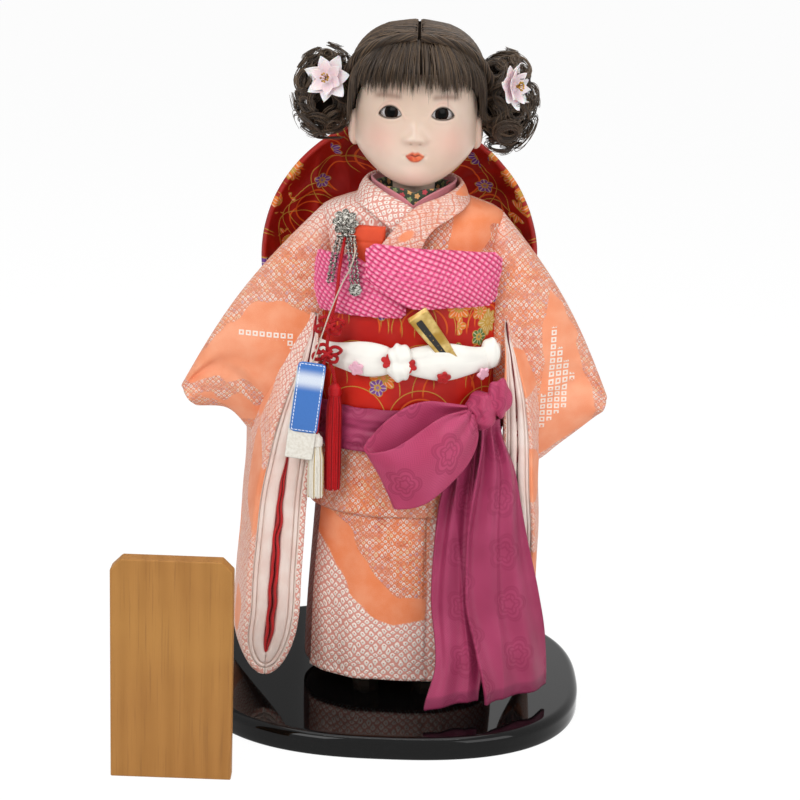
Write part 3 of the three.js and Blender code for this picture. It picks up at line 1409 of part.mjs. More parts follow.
function pouch() {
  const from = frontAngle(POUCH_LEFT_X, POUCH_OFFSET, POUCH_TOP - POUCH_DEPTH);
  const to = frontAngle(POUCH_RIGHT_X, POUCH_OFFSET, POUCH_TOP - POUCH_DEPTH);
  const heights = steps(POUCH_TOP - POUCH_DEPTH, POUCH_TOP, 2);
  const section = wallSection(POUCH_OFFSET, POUCH_OFFSET + POUCH_WALL, heights);
  return stripBand(from, to, 5, () => section);
}

function ornament() {
  const place = onFront(ORNAMENT_X, OVER_POUCH + 1, ORNAMENT_HEIGHT);
  const outward = new THREE.Vector3(-0.3, -1, 0.1);
  const face = facing(petalled(ORNAMENT_RADIUS, 5, ORNAMENT_THICKNESS), outward, place);
  const hanger = new THREE.Vector3(...HANGER);
  const reach = new THREE.Vector3(HANGER_REACH, 0, 0);
  const bar = rod(HANGER_RADIUS, hanger.clone().sub(reach), hanger.clone().add(reach), 6);
  const middle = place.add(new THREE.Vector3(0, -ORNAMENT_THICKNESS / 2, 0));
  return join(face, bar, rod(HANGER_RADIUS, middle, hanger, 6));
}

function vectors(points) {
  return points.map((point) => new THREE.Vector3(...point));
}

function chain(points, width) {
  const route = new THREE.CatmullRomCurve3(vectors(points));
  const pointAt = (u, v) => route.getPoint(u).add(new THREE.Vector3((v - 0.5) * width, 0, 0));
  return slab(pointAt, 5, 1, CHAIN_THICKNESS);
}

function disc(radius, thickness, place, sides = 12) {
  const half = new THREE.Vector3(0, thickness / 2, 0);
  const middle = new THREE.Vector3(...place);
  return rod(radius, middle.clone().sub(half), middle.clone().add(half), sides);
}

function rosette(place) {
  const outline = range(15).map((i) => {
    const turn = (i / 15) * 2 * Math.PI;
    const reach = KNOT_RADIUS * (0.74 + 0.26 * Math.cos(5 * turn));
    return [reach * Math.sin(turn), reach * Math.cos(turn)];
  });
  const knot = prism(outline, -KNOT_THICKNESS / 2, KNOT_THICKNESS);
  knot.rotateX(Math.PI / 2);
  knot.translate(...place);
  return knot;
}

function tassel(place, length) {
  const profile = [[0, 0.4], [3, 0.75], [7, 0.8], [9.5, 0.55], [15, 0.92], [length, 1]];
  return ringLoft(profile.map(([drop, share]) => {
    const ring = superellipse(TASSEL_RADIUS * share, TASSEL_RADIUS * share, 2, 10, place[2] - drop);
    return ring.map((point) => point.add(new THREE.Vector3(place[0], place[1], 0)));
  }));
}

// Routes of what hangs at the breast: x, y and the drop below the hanger
const hung = ([x, y, drop]) => [x, y, HANGER[2] - drop];
const TOP_DROP = HANGER_RADIUS + FIT + 0.1;
const NARROW_CHAIN = [[-48, -41.5, TOP_DROP], [-50, -48, 11.5], [-51.5, -50, 28.5]].map(hung);
const WIDE_CHAIN = [[-38, -41.5, TOP_DROP], [-37, -53, 11.5], [-35.5, -56, 28.5]].map(hung);
const CHAIN_DISC = hung([-35, -56, 30.5]);
const TAG_THREAD = [
  [-33.5, -41.5, TOP_DROP], [-33.5, -57, 8.5], [-38, -59, 18.5],
  [-43, -59, 26.5], [-50, -60.5, 44.5], [-60.8, -64.5, 78.7],
].map(hung);
const CHARM_TOP = hung([ORNAMENT_X, -41.5, TOP_DROP]);
const FIRST_KNOT = hung([-50.7, -53.5, 56.5]);
const SECOND_KNOT = hung([-52, -53.5, 74.9]);
const RED_TASSEL_TOP = hung([-46.5, -52, 95.5]);
const WHITE_TASSEL_TOP = hung([-57.5, -57.5, 128.5]);

function charmCord() {
  const through = (points, count) => tube(vectors(points), CHARM_CORD_RADIUS, count, 5);
  const above = (place) => [place[0], place[1], place[2] + FIT];
  return join(
    through([CHARM_TOP, hung([-45.5, -53, 18.5]), hung([-47, -55.5, 36.5]), FIRST_KNOT, SECOND_KNOT], 8),
    through([SECOND_KNOT, hung([-48.5, -53, 85.5]), above(RED_TASSEL_TOP)], 3),
    through([SECOND_KNOT, hung([-55.5, -56, 102.5]), above(WHITE_TASSEL_TOP)], 3),
    rosette(FIRST_KNOT),
    rosette(SECOND_KNOT),
  );
}

function paperCard(height, place) {
  const card = new THREE.BoxGeometry(TAG_WIDTH, CARD_THICKNESS, height);
  card.rotateY(TAG_TILT * DEG);
  card.translate(...place);
  return card;
}

addPart(doll, 'hakoseko', pouch(), paint.redSilk);
addPart(doll, 'kanzashi_flower', ornament(), paint.silver);
addPart(doll, 'kanzashi_chain_narrow', chain(NARROW_CHAIN, NARROW_CHAIN_WIDTH), paint.silver);
addPart(doll, 'kanzashi_chain_wide', join(
  chain(WIDE_CHAIN, WIDE_CHAIN_WIDTH),
  disc(CHAIN_DISC_RADIUS, 2 * CHAIN_THICKNESS, CHAIN_DISC),
), paint.silver);
addPart(doll, 'charm_cord', charmCord(), paint.redCord);
addPart(doll, 'tassel_red', tassel(RED_TASSEL_TOP, RED_TASSEL_LENGTH), paint.redCord);
addPart(doll, 'tassel_white', tassel(WHITE_TASSEL_TOP, WHITE_TASSEL_LENGTH), paint.whiteSilk);
addPart(doll, 'tag_thread', tube(vectors(TAG_THREAD), THREAD_RADIUS, 8, 4), paint.gold);
addPart(doll, 'gift_tag', paperCard(TAG_HEIGHT, hung([-63.4, -64.5, 102.5])), paint.tagBlue);
addPart(doll, 'tag_card', paperCard(CARD_HEIGHT, hung([-65.3, -63.2, 113.5])), paint.card);

// Name plaque standing beside the base

function plaque() {
  const half = PLAQUE_WIDTH / 2;
  const top = PLAQUE_HEIGHT;
  const outline = [
    [-half, 0], [half, 0], [half, top - PLAQUE_CLIP], [half - PLAQUE_CLIP, top],
    [-half + PLAQUE_CLIP, top], [-half, top - PLAQUE_CLIP],
  ];
  const board = prism(outline, -PLAQUE_THICKNESS / 2, PLAQUE_THICKNESS);
  board.rotateX(Math.PI / 2);
  board.translate(PLAQUE_X, PLAQUE_Y, 0);
  return board;
}

addPart(model, 'plaque', plaque(), paint.wood);

export default model;
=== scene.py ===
"""An ichimatsu doll in a long-sleeved kimono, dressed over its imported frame.

Heights and places are in millimetres from the top of the lacquer base, in the doll's own axes:
+X is the doll's left, -Y its front, +Z up. They become metres in the frame when a mesh is made.
"""

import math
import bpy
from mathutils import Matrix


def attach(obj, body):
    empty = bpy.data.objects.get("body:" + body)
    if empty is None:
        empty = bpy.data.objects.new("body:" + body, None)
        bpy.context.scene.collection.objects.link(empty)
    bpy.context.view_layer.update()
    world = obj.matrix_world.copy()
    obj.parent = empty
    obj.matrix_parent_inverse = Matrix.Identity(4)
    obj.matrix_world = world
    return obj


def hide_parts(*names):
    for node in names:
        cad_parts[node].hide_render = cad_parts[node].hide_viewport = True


bl_info = {
    "name": "Ichimatsu Doll",
    "version": (1, 0, 0),
    "blender": (4, 5, 0),
    "location": "View3D > Sidebar > Doll",
    "description": "Dresses an ichimatsu doll in crepe, brocade, damask, silk hair and lacquer",
    "category": "Object",
}

import bmesh
import bpy
import numpy as np
from mathutils import Matrix, Vector
from mathutils.bvhtree import BVHTree

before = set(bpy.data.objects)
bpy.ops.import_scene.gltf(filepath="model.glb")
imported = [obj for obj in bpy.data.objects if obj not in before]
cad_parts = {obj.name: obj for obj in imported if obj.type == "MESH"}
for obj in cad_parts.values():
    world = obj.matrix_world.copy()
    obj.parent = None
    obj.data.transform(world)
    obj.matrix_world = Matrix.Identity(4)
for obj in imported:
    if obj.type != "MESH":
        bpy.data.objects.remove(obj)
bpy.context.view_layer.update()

MM = 0.001
MERGE = 0.002  # millimetres within which a closed form's points join
DOLL_PLACE = np.array((5.0, 0.0, 15.0))
RIGHT, LEFT = -1, 1
SIDE_NAMES = {RIGHT: "right", LEFT: "left"}
FRONT = -math.pi / 2

# The dressed figure: height, half width and half depth of the kimono's outside
FIGURE = np.array(
    [
        (12, 64.5, 50),
        (125, 59.5, 47),
        (195, 55.5, 45),
        (278, 56, 43.5),
        (326, 60, 33),
        (342, 26, 25),
    ]
)
FIGURE_POWER = 2.4
NECK_OPENING = (28.2, 33.6)
NECK_LEVELS = (333, 347)
OBI_FOOT, OBI_TOP = 199, 277
CORD_LEVEL = 236.0
CORD_KNOT_X = -5.0

# Colours that a user would change, as name: (label, what it paints, sRGB hex)
COLOURS = {
    "orange": ("Kimono orange", "Plain dyed crepe of the kimono", "EE844F"),
    "coral": ("Dapple ground", "Ground between the tie-dyed dots", "E58763"),
    "blush": ("Pale dapple", "Pink ground of the pale tie-dyed cloth", "E09A8C"),
    "cream": ("Undyed dots", "Rings that the tying leaves undyed", "FBF0E6"),
    "red": ("Brocade red", "Ground of the obi and its bow", "B3120A"),
    "gold": ("Gold thread", "Gold in the brocade, the fan and the cords", "C99B3F"),
    "sash": ("Sash", "Damask of the waist sash", "AE345C"),
    "scarf": ("Scarf", "Tie-dyed scarf over the obi", "E93C80"),
    "skin": ("Skin", "White face and hands", "D6BBA7"),
    "lips": ("Lips", "Painted lips", "E67442"),
    "hair": ("Hair", "Silk hair", "5A4735"),
    "lacquer": ("Lacquer", "Display base", "060606"),
    "wood": ("Plaque wood", "Board of the plaque", "A87437"),
    "white": ("White silk", "Linings and the padded cord", "FAF8F0"),
    "cord": ("Charm cord", "Knotted cord and its red tassel", "C00F18"),
}


def linear(hex_text):
    """An sRGB hex colour as linear red, green and blue."""
    shares = [int(hex_text[i : i + 2], 16) / 255 for i in (0, 2, 4)]
    return tuple(c / 12.92 if c <= 0.04045 else ((c + 0.055) / 1.055) ** 2.4 for c in shares)


class DollColours(bpy.types.PropertyGroup):
    """Colours of the doll's cloths and finishes."""

    __annotations__ = {
        name: bpy.props.FloatVectorProperty(
            name=label, description=about, subtype="COLOR", size=3, min=0, max=1, default=linear(code)
        )
        for name, (label, about, code) in COLOURS.items()
    }


class DollSizes(bpy.types.PropertyGroup):
    """Sizes of what the looks add to the frame, in metres."""

    dot_pitch: bpy.props.FloatProperty(
        name="Dot pitch", description="Spacing of the kimono's tied dots", default=0.0041, unit="LENGTH"
    )
    knob_pitch: bpy.props.FloatProperty(
        name="Knob pitch", description="Spacing of the scarf's tied knobs", default=0.0032, unit="LENGTH"
    )
    hair_radius: bpy.props.FloatProperty(
        name="Hair radius", description="Radius of a lock of silk thread", default=0.0002, unit="LENGTH"
    )
    fringe_strands: bpy.props.IntProperty(
        name="Fringe strands", description="Locks in the fringe", default=1800, min=10
    )
    crown_strands: bpy.props.IntProperty(
        name="Crown strands", description="Locks combed back from the parting", default=1550, min=10
    )
    bun_strands: bpy.props.IntProperty(
        name="Bun curls", description="Ringlets in each bun", default=66, min=10
    )
    tassel_strands: bpy.props.IntProperty(
        name="Tassel strands", description="Threads of each tassel", default=150, min=10
    )


class DollStage(bpy.types.PropertyGroup):
    """The camera of the photograph and the studio."""

    camera_place: bpy.props.FloatVectorProperty(
        name="Camera", description="Where the camera stands", default=(0.00119, -1.3, 0.5762), unit="LENGTH"
    )
    pitch: bpy.props.FloatProperty(
        name="Pitch", description="How far the camera looks down", default=0.27487, subtype="ANGLE"
    )
    roll: bpy.props.FloatProperty(
        name="Roll", description="How far the camera leans", default=0.03675, subtype="ANGLE"
    )
    lens: bpy.props.FloatProperty(
        name="Lens", description="Focal length on a 36 mm sensor", default=89.493
    )


def tone(text):
    """A colour for a socket: one of the user's by its name, or any other by its sRGB hex code."""
    own = getattr(bpy.context.scene.doll_colours, text) if text in COLOURS else linear(text)
    return (*own, 1.0)


def sizes():
    return bpy.context.scene.doll_sizes


# Numbers


def mix(a, b, t):
    return a + (b - a) * t


def smooth(low, high, value):
    t = np.clip((value - low) / (high - low), 0, 1)
    return t * t * (3 - 2 * t)


def hump(value, centre, width):
    return np.exp(-(((value - centre) / width) ** 2))


def signed_power(value, power):
    return np.sign(value) * np.abs(value) ** power


def unit(vectors):
    vectors = np.asarray(vectors, float)
    return vectors / np.maximum(np.linalg.norm(vectors, axis=-1, keepdims=True), 1e-9)


def turns(count):
    """Angles evenly round a full turn."""
    return np.linspace(0, 2 * np.pi, count, endpoint=False)


def lattice(rows, columns):
    """Shares from 0 to 1 down the rows and across the columns of a grid."""
    return np.meshgrid(np.linspace(0, 1, rows), np.linspace(0, 1, columns), indexing="ij")


def stack(x, y, z):
    return np.stack(np.broadcast_arrays(x, y, z), -1).astype(float)


def along_rows(rows, position):
    """A smooth curve through rows of (position, values...), flat where the values turn back."""
    rows = np.asarray(rows, float)
    at = np.clip(np.asarray(position, float), rows[0, 0], rows[-1, 0])
    slope = np.diff(rows[:, 1:], axis=0) / np.diff(rows[:, 0])[:, None]
    tangent = np.zeros_like(rows[:, 1:])
    before, after = slope[:-1], slope[1:]
    same = before * after > 0
    tangent[1:-1][same] = (2 * before * after)[same] / (before + after)[same]
    i = np.clip(np.searchsorted(rows[:, 0], at, side="left") - 1, 0, len(rows) - 2)
    span = (rows[i + 1, 0] - rows[i, 0])[..., None]
    t = (at[..., None] - rows[i, 0][..., None]) / span
    ends = rows[i, 1:] * (1 + 2 * t) * (1 - t) ** 2 + rows[i + 1, 1:] * t * t * (3 - 2 * t)
    return ends + span * (tangent[i] * t * (1 - t) ** 2 - tangent[i + 1] * t * t * (1 - t))


def through(points, count):
    """Points spaced evenly along a centripetal curve through the given ones."""
    points = np.asarray(points, float)
    padded = np.vstack([2 * points[0] - points[1], points, 2 * points[-1] - points[-2]])
    knots = np.concatenate([[0], np.cumsum(np.linalg.norm(np.diff(padded, axis=0), axis=1) ** 0.5)])
    dense = []
    for i in range(1, len(padded) - 2):
        t0, t1, t2, t3 = knots[i - 1 : i + 3]
        p0, p1, p2, p3 = padded[i - 1 : i + 3]
        t = np.linspace(t1, t2, 24, endpoint=i == len(padded) - 3)[:, None]
        near = mix(p0, p1, (t - t0) / (t1 - t0))
        middle = mix(p1, p2, (t - t1) / (t2 - t1))
        far = mix(p2, p3, (t - t2) / (t3 - t2))
        before = mix(near, middle, (t - t0) / (t2 - t0))
        after = mix(middle, far, (t - t1) / (t3 - t1))
        dense.append(mix(before, after, (t - t1) / (t2 - t1)))
    dense = np.vstack(dense)
    length = np.concatenate([[0], np.cumsum(np.linalg.norm(np.diff(dense, axis=0), axis=1))])
    wanted = np.linspace(0, length[-1], count)
    return np.stack([np.interp(wanted, length, dense[:, k]) for k in range(3)], 1)


def ripple(u, v, seed, waves=4, low=1.0, high=3.0):
    """A slow cloud-like field near -1 to 1, the same for the same seed."""
    random = np.random.default_rng(seed)
    total = np.zeros(np.broadcast(u, v).shape)
    for _ in range(waves):
        turn, phase = random.uniform(0, 2 * np.pi, 2)
        rate = random.uniform(low, high)
        total = total + np.sin(rate * (np.cos(turn) * u + np.sin(turn) * v) * 2 * np.pi + phase)
    return total / waves**0.5


# The figure


def figure_half(height):
    half = along_rows(FIGURE, height)
    return half[..., 0], half[..., 1]


def on_figure(angle, offset, height):
    width, depth = figure_half(height)
    power = 2 / FIGURE_POWER
    x = (width + offset) * signed_power(np.cos(angle), power)
    y = (depth + offset) * signed_power(np.sin(angle), power)
    return stack(x, y, height)


def front_y(x, offset, height):
    width, depth = figure_half(height)
    share = np.minimum(np.abs(x) / (width + offset), 1)
    return -(depth + offset) * (1 - share**FIGURE_POWER) ** (1 / FIGURE_POWER)


def on_front(x, offset, height):
    return stack(x, front_y(x, offset, height), height)


def front_angle(x, offset, height):
    width, _ = figure_half(np.asarray(height, float))
    return -np.arccos(signed_power(x / (width + offset), FIGURE_POWER / 2))


def even_angles(count, offset=0.0, height=195.0):
    """Angles evenly spaced round the figure's outline, starting at the back."""
    fine = np.linspace(np.pi / 2, np.pi / 2 + 2 * np.pi, 1441)
    outline = on_figure(fine, offset, np.full_like(fine, height))
    length = np.concatenate([[0], np.cumsum(np.linalg.norm(np.diff(outline, axis=0), axis=1))])
    return np.interp(np.linspace(0, length[-1], count, endpoint=False), length, fine)


# Meshes


def normals(grid, closed):
    ring = np.concatenate([grid[:, -1:], grid, grid[:, :1]], 1) if closed else grid
    across = np.gradient(ring, axis=1)
    across = across[:, 1:-1] if closed else across
    down = np.gradient(grid, axis=0)
    return unit(np.cross(across, down))


def cloth_measure(grid, closed):
    """The cloth's own coordinates in millimetres: across from the middle column, along from the first row."""
    ring = np.concatenate([grid, grid[:, :1]], 1) if closed else grid
    steps = np.linalg.norm(np.diff(ring, axis=1), axis=2)
    across = np.concatenate([np.zeros((len(ring), 1)), np.cumsum(steps, 1)], 1)
    across -= across[:, [across.shape[1] // 2]]
    drops = np.linalg.norm(np.diff(ring, axis=0), axis=2)
    along = np.concatenate([np.zeros((1, ring.shape[1])), np.cumsum(drops, 0)], 0)
    return np.stack([across, along], -1)


def add_object(name, data):
    piece = bpy.data.objects.new(name, data)
    bpy.context.collection.objects.link(piece)
    return piece


class Piece:
    """Collects the points, faces, cloth coordinates and values of one piece, then makes its object."""

    def __init__(self):
        self.points, self.faces, self.uvs, self.slots = [], [], [], []
        self.values = {}
        self.count = 0

    def add_points(self, points, values):
        points = np.asarray(points, float).reshape(-1, 3)
        first = self.count
        self.points.append(points)
        self.count += len(points)
        for name in set(self.values) | set(values):
            column = self.values.setdefault(name, [np.zeros(first)])
            given = values.get(name, 0.0)
            column.append(np.broadcast_to(np.asarray(given, float).ravel(), (len(points),)) + 0.0)
        return first

    def add_faces(self, corners, uv, slot):
        self.faces.extend(corners.tolist())
        self.uvs.append(uv.reshape(-1, 2))
        self.slots.extend([slot] * len(corners))

    def grid_corners(self, shape, first, closed):
        rows, columns = shape[:2]
        i, j = np.meshgrid(
            np.arange(rows - 1), np.arange(columns if closed else columns - 1), indexing="ij"
        )
        i, j = i.ravel(), j.ravel()
        row = np.stack([i, i, i + 1, i + 1], 1)
        column = np.stack([j, j + 1, j + 1, j], 1)
        return first + row * columns + column % columns, row, column

    def skin(self, grid):
        """One layer of faces over a grid that closes round, facing the other way than its turn."""
        first = self.add_points(grid, {})
        corners, row, column = self.grid_corners(grid.shape, first, True)
        self.add_faces(corners[:, ::-1], cloth_measure(grid, True)[row, column][:, ::-1], 0)

    def cap(self, ring, outward, slot=0, **values):
        """A fan of triangles over a ring of points."""
        centre = ring.mean(0)
        first = self.add_points(np.vstack([ring, centre]), values)
        count = len(ring)
        here = np.arange(count)
        corners = np.stack([first + here, first + (here + 1) % count, np.full(count, first + count)], 1)
        facing = np.cross(ring[1] - ring[0], centre - ring[0])
        if np.dot(facing, outward) < 0:
            corners = corners[:, ::-1]
        self.add_faces(corners, np.zeros((count, 3, 2)), slot)

    def cloth(self, grid, wall, closed=False, out=None, slot=0, back_slot=None, uv=None, **values):
        """A sheet with a thickness: the grid is its outer side, and the wall goes inwards."""
        radial = grid * (1, 1, 0) if out is None else np.asarray(out, float)
        uv = cloth_measure(grid, closed) if uv is None else uv
        if np.sum(normals(grid, closed) * radial) < 0:
            grid, uv = grid[:, ::-1], uv[:, ::-1]
            values = {name: np.asarray(v)[:, ::-1] if np.ndim(v) == 2 else v for name, v in values.items()}
        back = grid - normals(grid, closed) * (wall[..., None] if np.ndim(wall) == 2 else wall)
        rows, columns = grid.shape[:2]
        first = self.add_points(grid, values)
        behind = self.add_points(back, values)
        corners, row, column = self.grid_corners(grid.shape, first, closed)
        self.add_faces(corners, uv[row, column], slot)
        backs = (corners - first + behind)[:, ::-1]
        self.add_faces(backs, uv[row, column][:, ::-1], slot if back_slot is None else back_slot)
        j = np.arange(columns if closed else columns - 1)
        k = (j + 1) % columns
        for edge, a, b in ((0, k, j), (rows - 1, j, k)):
            ua, ub = (j + 1, j) if edge == 0 else (j, j + 1)
            rim = np.stack([edge * columns + a, edge * columns + b], 1)
            rim = np.concatenate([first + rim, behind + rim[:, ::-1]], 1)
            measure = np.stack([uv[edge, ua], uv[edge, ub], uv[edge, ub], uv[edge, ua]], 1)
            self.add_faces(rim, measure, slot)
        if closed:
            return
        i = np.arange(rows - 1)
        for edge, a, b in ((0, i, i + 1), (columns - 1, i + 1, i)):
            rim = np.stack([a * columns + edge, b * columns + edge], 1)
            rim = np.concatenate([first + rim, behind + rim[:, ::-1]], 1)
            measure = np.stack([uv[a, edge], uv[b, edge], uv[b, edge], uv[a, edge]], 1)
            self.add_faces(rim, measure, slot)

    def ring_solid(self, grid, slot=0, slots=None, **values):
        """A closed solid through rings, capped at both ends; slots may give one finish for each column."""
        centres = grid.mean(1)
        middle = len(grid) // 2
        first = self.add_points(grid, values)
        corners, row, column = self.grid_corners(grid.shape, first, True)
        along = centres[min(middle + 1, len(grid) - 1)] - centres[middle - 1]
        ring = grid[middle]
        turn = np.cross(ring, np.roll(ring, -1, 0)).sum(0)
        shape = cloth_measure(grid, True)[row, column]
        if np.dot(turn, along) < 0:
            corners, shape = corners[:, ::-1], shape[:, ::-1]
        self.add_faces(corners, shape, slot)
        if slots is not None:
            count = len(corners)
            self.slots[-count:] = np.asarray(slots)[column[:, 0] % grid.shape[1]].tolist()
        for end, outward in ((0, -along), (-1, along)):
            rim = {name: np.asarray(v)[end].mean() if np.ndim(v) == 2 else v for name, v in values.items()}
            self.cap(grid[end], outward, slot, **rim)

    def tube(self, path, radius, sides=10, slot=0, **values):
        """A round tube along a path; the radius may change along it."""
        path = np.asarray(path, float)
        tangent = unit(np.gradient(path, axis=0))
        side = unit(np.cross(tangent[0], (0.31, 0.87, 0.21)))
        rings = []
        reach = np.broadcast_to(np.asarray(radius, float), (len(path),))
        turn = turns(sides)
        for place, ahead, r in zip(path, tangent, reach):
            side = unit(side - ahead * np.dot(side, ahead))
            lift = np.cross(ahead, side)
            rings.append(place + r * (np.cos(turn)[:, None] * side + np.sin(turn)[:, None] * lift))
        self.ring_solid(np.array(rings), slot, **values)

    def ball(self, centre, radii, rows=24, columns=36, slot=0, shape=None, **values):
        """A closed round form; shape(direction) may swell or dent it."""
        polar = np.linspace(0.02, np.pi - 0.02, rows)[:, None]
        turn = turns(columns)[None]
        direction = stack(np.sin(polar) * np.cos(turn), np.sin(polar) * np.sin(turn), np.cos(polar))
        reach = 1.0 if shape is None else shape(direction)[..., None]
        self.ring_solid(np.asarray(centre) + direction * np.asarray(radii, float) * reach, slot, **values)

    def make(self, name, looks, body, slot, *nodes, **options):
        """The finished object, riding on its body in place of the frame's nodes."""
        return settle(self.mesh_object(name, looks, **options), body, slot, *nodes)

    def mesh_object(self, name, looks, place=DOLL_PLACE, merge=MERGE):
        """The piece as an object, in metres in the frame."""
        mesh = bpy.data.meshes.new(name)
        points = (np.vstack(self.points) + place) * MM
        mesh.from_pydata(points.tolist(), [], self.faces)
        mesh.uv_layers.new(name="cloth").data.foreach_set("uv", np.vstack(self.uvs).ravel())
        for key, column in self.values.items():
            layer = mesh.attributes.new(key, "FLOAT", "POINT")
            layer.data.foreach_set("value", np.concatenate(column))
        for look in looks:
            mesh.materials.append(finish(look))
        mesh.polygons.foreach_set("material_index", np.array(self.slots, dtype=np.int32))
        shade_smooth(mesh)
        if merge:
            work = bmesh.new()
            work.from_mesh(mesh)
            bmesh.ops.remove_doubles(work, verts=work.verts, dist=merge * MM)
            work.to_mesh(mesh)
            work.free()
        mesh.update()
        return add_object(name, mesh)


def shade_smooth(mesh):
    mesh.polygons.foreach_set("use_smooth", np.ones(len(mesh.polygons), dtype=bool))


def settle(piece, body, slot, *nodes):
    """Rides a piece on a body in place of the frame's nodes."""
    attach(piece, body)
    if nodes:
        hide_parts(*nodes)
    return piece


def flat_size(grid):
    """The mean width and length of a grid when laid flat."""
    width = np.linalg.norm(np.diff(grid, axis=1), axis=2).sum(1).mean()
    return width, np.linalg.norm(np.diff(grid, axis=0), axis=2).sum(0).mean()


def hang(name, node, grid, wall, looks, slot, held, rests_on, closed=False, out=None, **values):
    """Makes a cloth with a thickness in place of a node; a second look is for its back."""
    piece = Piece()
    piece.cloth(grid, wall, closed, out, back_slot=len(looks) - 1, **values)
    cloth = piece.make(name, looks, "doll", slot, node, merge=0)


# Finishes


class Field:
    """A number that changes over a surface; sums and products of fields become node steps."""

    def __init__(self, steps, socket):
        self.steps, self.socket = steps, socket

    def __add__(self, other):
        return self.steps.math("ADD", self, other)

    def __sub__(self, other):
        return self.steps.math("SUBTRACT", self, other)

    def __rsub__(self, other):
        return self.steps.math("SUBTRACT", other, self)

    def __mul__(self, other):
        return self.steps.math("MULTIPLY", self, other)

    def __truediv__(self, other):
        return self.steps.math("DIVIDE", self, other)

    def __gt__(self, other):
        return self.steps.math("GREATER_THAN", self, other)

    def __lt__(self, other):
        return self.steps.math("LESS_THAN", self, other)

    def __abs__(self):
        return self.steps.math("ABSOLUTE", self)


def feed(tree, socket, value):
    """Links a socket to a field or another socket, or sets its own value."""
    if isinstance(value, Field):
        value = value.socket
    if isinstance(value, bpy.types.NodeSocket):
        tree.links.new(value, socket)
    elif value is not None:
        socket.default_value = tone(value) if isinstance(value, str) and socket.type == "RGBA" else value


def add_node(tree, kind, inputs, **settings):
    """Adds a node, sets it up and feeds its inputs."""
    node = tree.nodes.new(kind)
    for name, value in settings.items():
        setattr(node, name, value)
    for key, value in inputs.items():
        feed(tree, node.inputs[key], value)
    return node


class Steps:
    """Plain node steps in a shader's tree."""

    def __init__(self, tree):
        self.tree = tree

    def step(self, kind, inputs, output=0, **settings):
        node = add_node(self.tree, "ShaderNode" + kind, inputs, **settings)
        return Field(self, node.outputs[output])

    def math(self, operation, a, b=None):
        return self.step("Math", {0: a, 1: b}, operation=operation)

    def parts(self, vector):
        node = add_node(self.tree, "ShaderNodeSeparateXYZ", {0: vector})
        return [Field(self, socket) for socket in node.outputs]

    def distance(self, x, y):
        return self.math("SQRT", x * x + y * y)

    def seen_rays(self):
        """1 for rays that come from the camera, a mirror or glass; and 1 for a mirror's alone."""
        rays = self.tree.nodes.new("ShaderNodeLightPath").outputs
        seen = self.math("MAXIMUM", rays["Is Camera Ray"], rays["Is Glossy Ray"])
        return self.math("MAXIMUM", seen, rays["Is Transmission Ray"]), rays["Is Glossy Ray"]

    def rise(self, value, low, high):
        """0 below low, 1 above high, smooth between."""
        return self.step("MapRange", {0: value, 1: low, 2: high}, interpolation_type="SMOOTHSTEP")

    def line(self, value, at, half_width):
        """1 where the value is close to a number."""
        return 1 - self.rise(abs(value - at), half_width * 0.6, half_width)

    def blend(self, share, a, b):
        return self.step("Mix", {0: share, 6: a, 7: b}, 2, data_type="RGBA")

    def noise(self, vector, scale, detail=2.0, roughness=0.5):
        inputs = {"Vector": vector, "Scale": scale, "Detail": detail, "Roughness": roughness}
        return self.step("TexNoise", inputs)

    def value(self, name):
        return self.step("Attribute", {}, "Fac", attribute_name=name)

    def object_place(self):
        return self.step("TexCoord", {}, "Object")

    def cloth_place(self):
        """Millimetres across and along the cloth."""
        return self.parts(self.step("TexCoord", {}, "UV"))[:2]

    def vector(self, x, y):
        return self.step("CombineXYZ", {0: x, 1: y})

    def stretched(self, vector, scale):
        return self.step("VectorMath", {0: vector, 1: scale}, operation="MULTIPLY")

    def cell_number(self, a, b):
        cell = self.vector(self.math("FLOOR", a), self.math("FLOOR", b))
        return self.step("TexWhiteNoise", {"Vector": cell}, "Value", noise_dimensions="2D")

    def in_cell(self, a):
        return self.math("FRACT", a) - 0.5


class Finish(Steps):
    """A material put together from node steps."""

    def __init__(self, name, sockets=None):
        self.material = bpy.data.materials.new(name)
        self.material.use_nodes = True
        super().__init__(self.material.node_tree)
        self.surface = self.tree.nodes["Principled BSDF"]
        for socket, value in (sockets or {}).items():
            self.set(socket, value)

    def set(self, socket, value):
        feed(self.tree, self.surface.inputs[socket], value)

    def dress(self, base=None, roughness=None, height=None, distance=0.0004, strength=0.6):
        """Links the colour, gloss and relief to the surface and gives the material back."""
        self.set("Base Color", base)
        self.set("Roughness", roughness)
        if height is not None:
            self.set(
                "Normal",
                self.step("Bump", {"Height": height, "Distance": distance, "Strength": strength}),
            )
        return self.material


def weave_height(f, u, v, threads_per_mm):
    """Plain weave: threads crossing over and under."""
    warp = f.math("SINE", u * (threads_per_mm * 2 * math.pi))
    weft = f.math("SINE", v * (threads_per_mm * 2 * math.pi))
    return warp * weft


SQUARE_SHARE = 1.15


def tied_dots(f, u, v, side):
    """Tie-dyed dots on a slanted lattice: undyed ring, dyed centre, cell number, height of the pucker."""
    reach = side * math.sqrt(2)
    wander = (f.noise(f.vector(u, v), 0.09, 3.0, 0.6) - 0.5) * 1.7
    a = (u + v) / reach + wander
    b = (u - v) / reach - wander
    da = abs(f.in_cell(a))
    db = abs(f.in_cell(b))
    square = f.math("MAXIMUM", da, db)
    round_ = f.distance(da, db)
    away = square * 0.5 + round_ * 0.5
    ring = f.rise(away, 0.09, 0.15) * (1 - f.rise(away, 0.33, 0.42))
    centre = 1 - f.rise(away, 0.06, 0.12)
    return ring, centre, f.cell_number(a, b), 1 - f.rise(away, 0.0, 0.5)


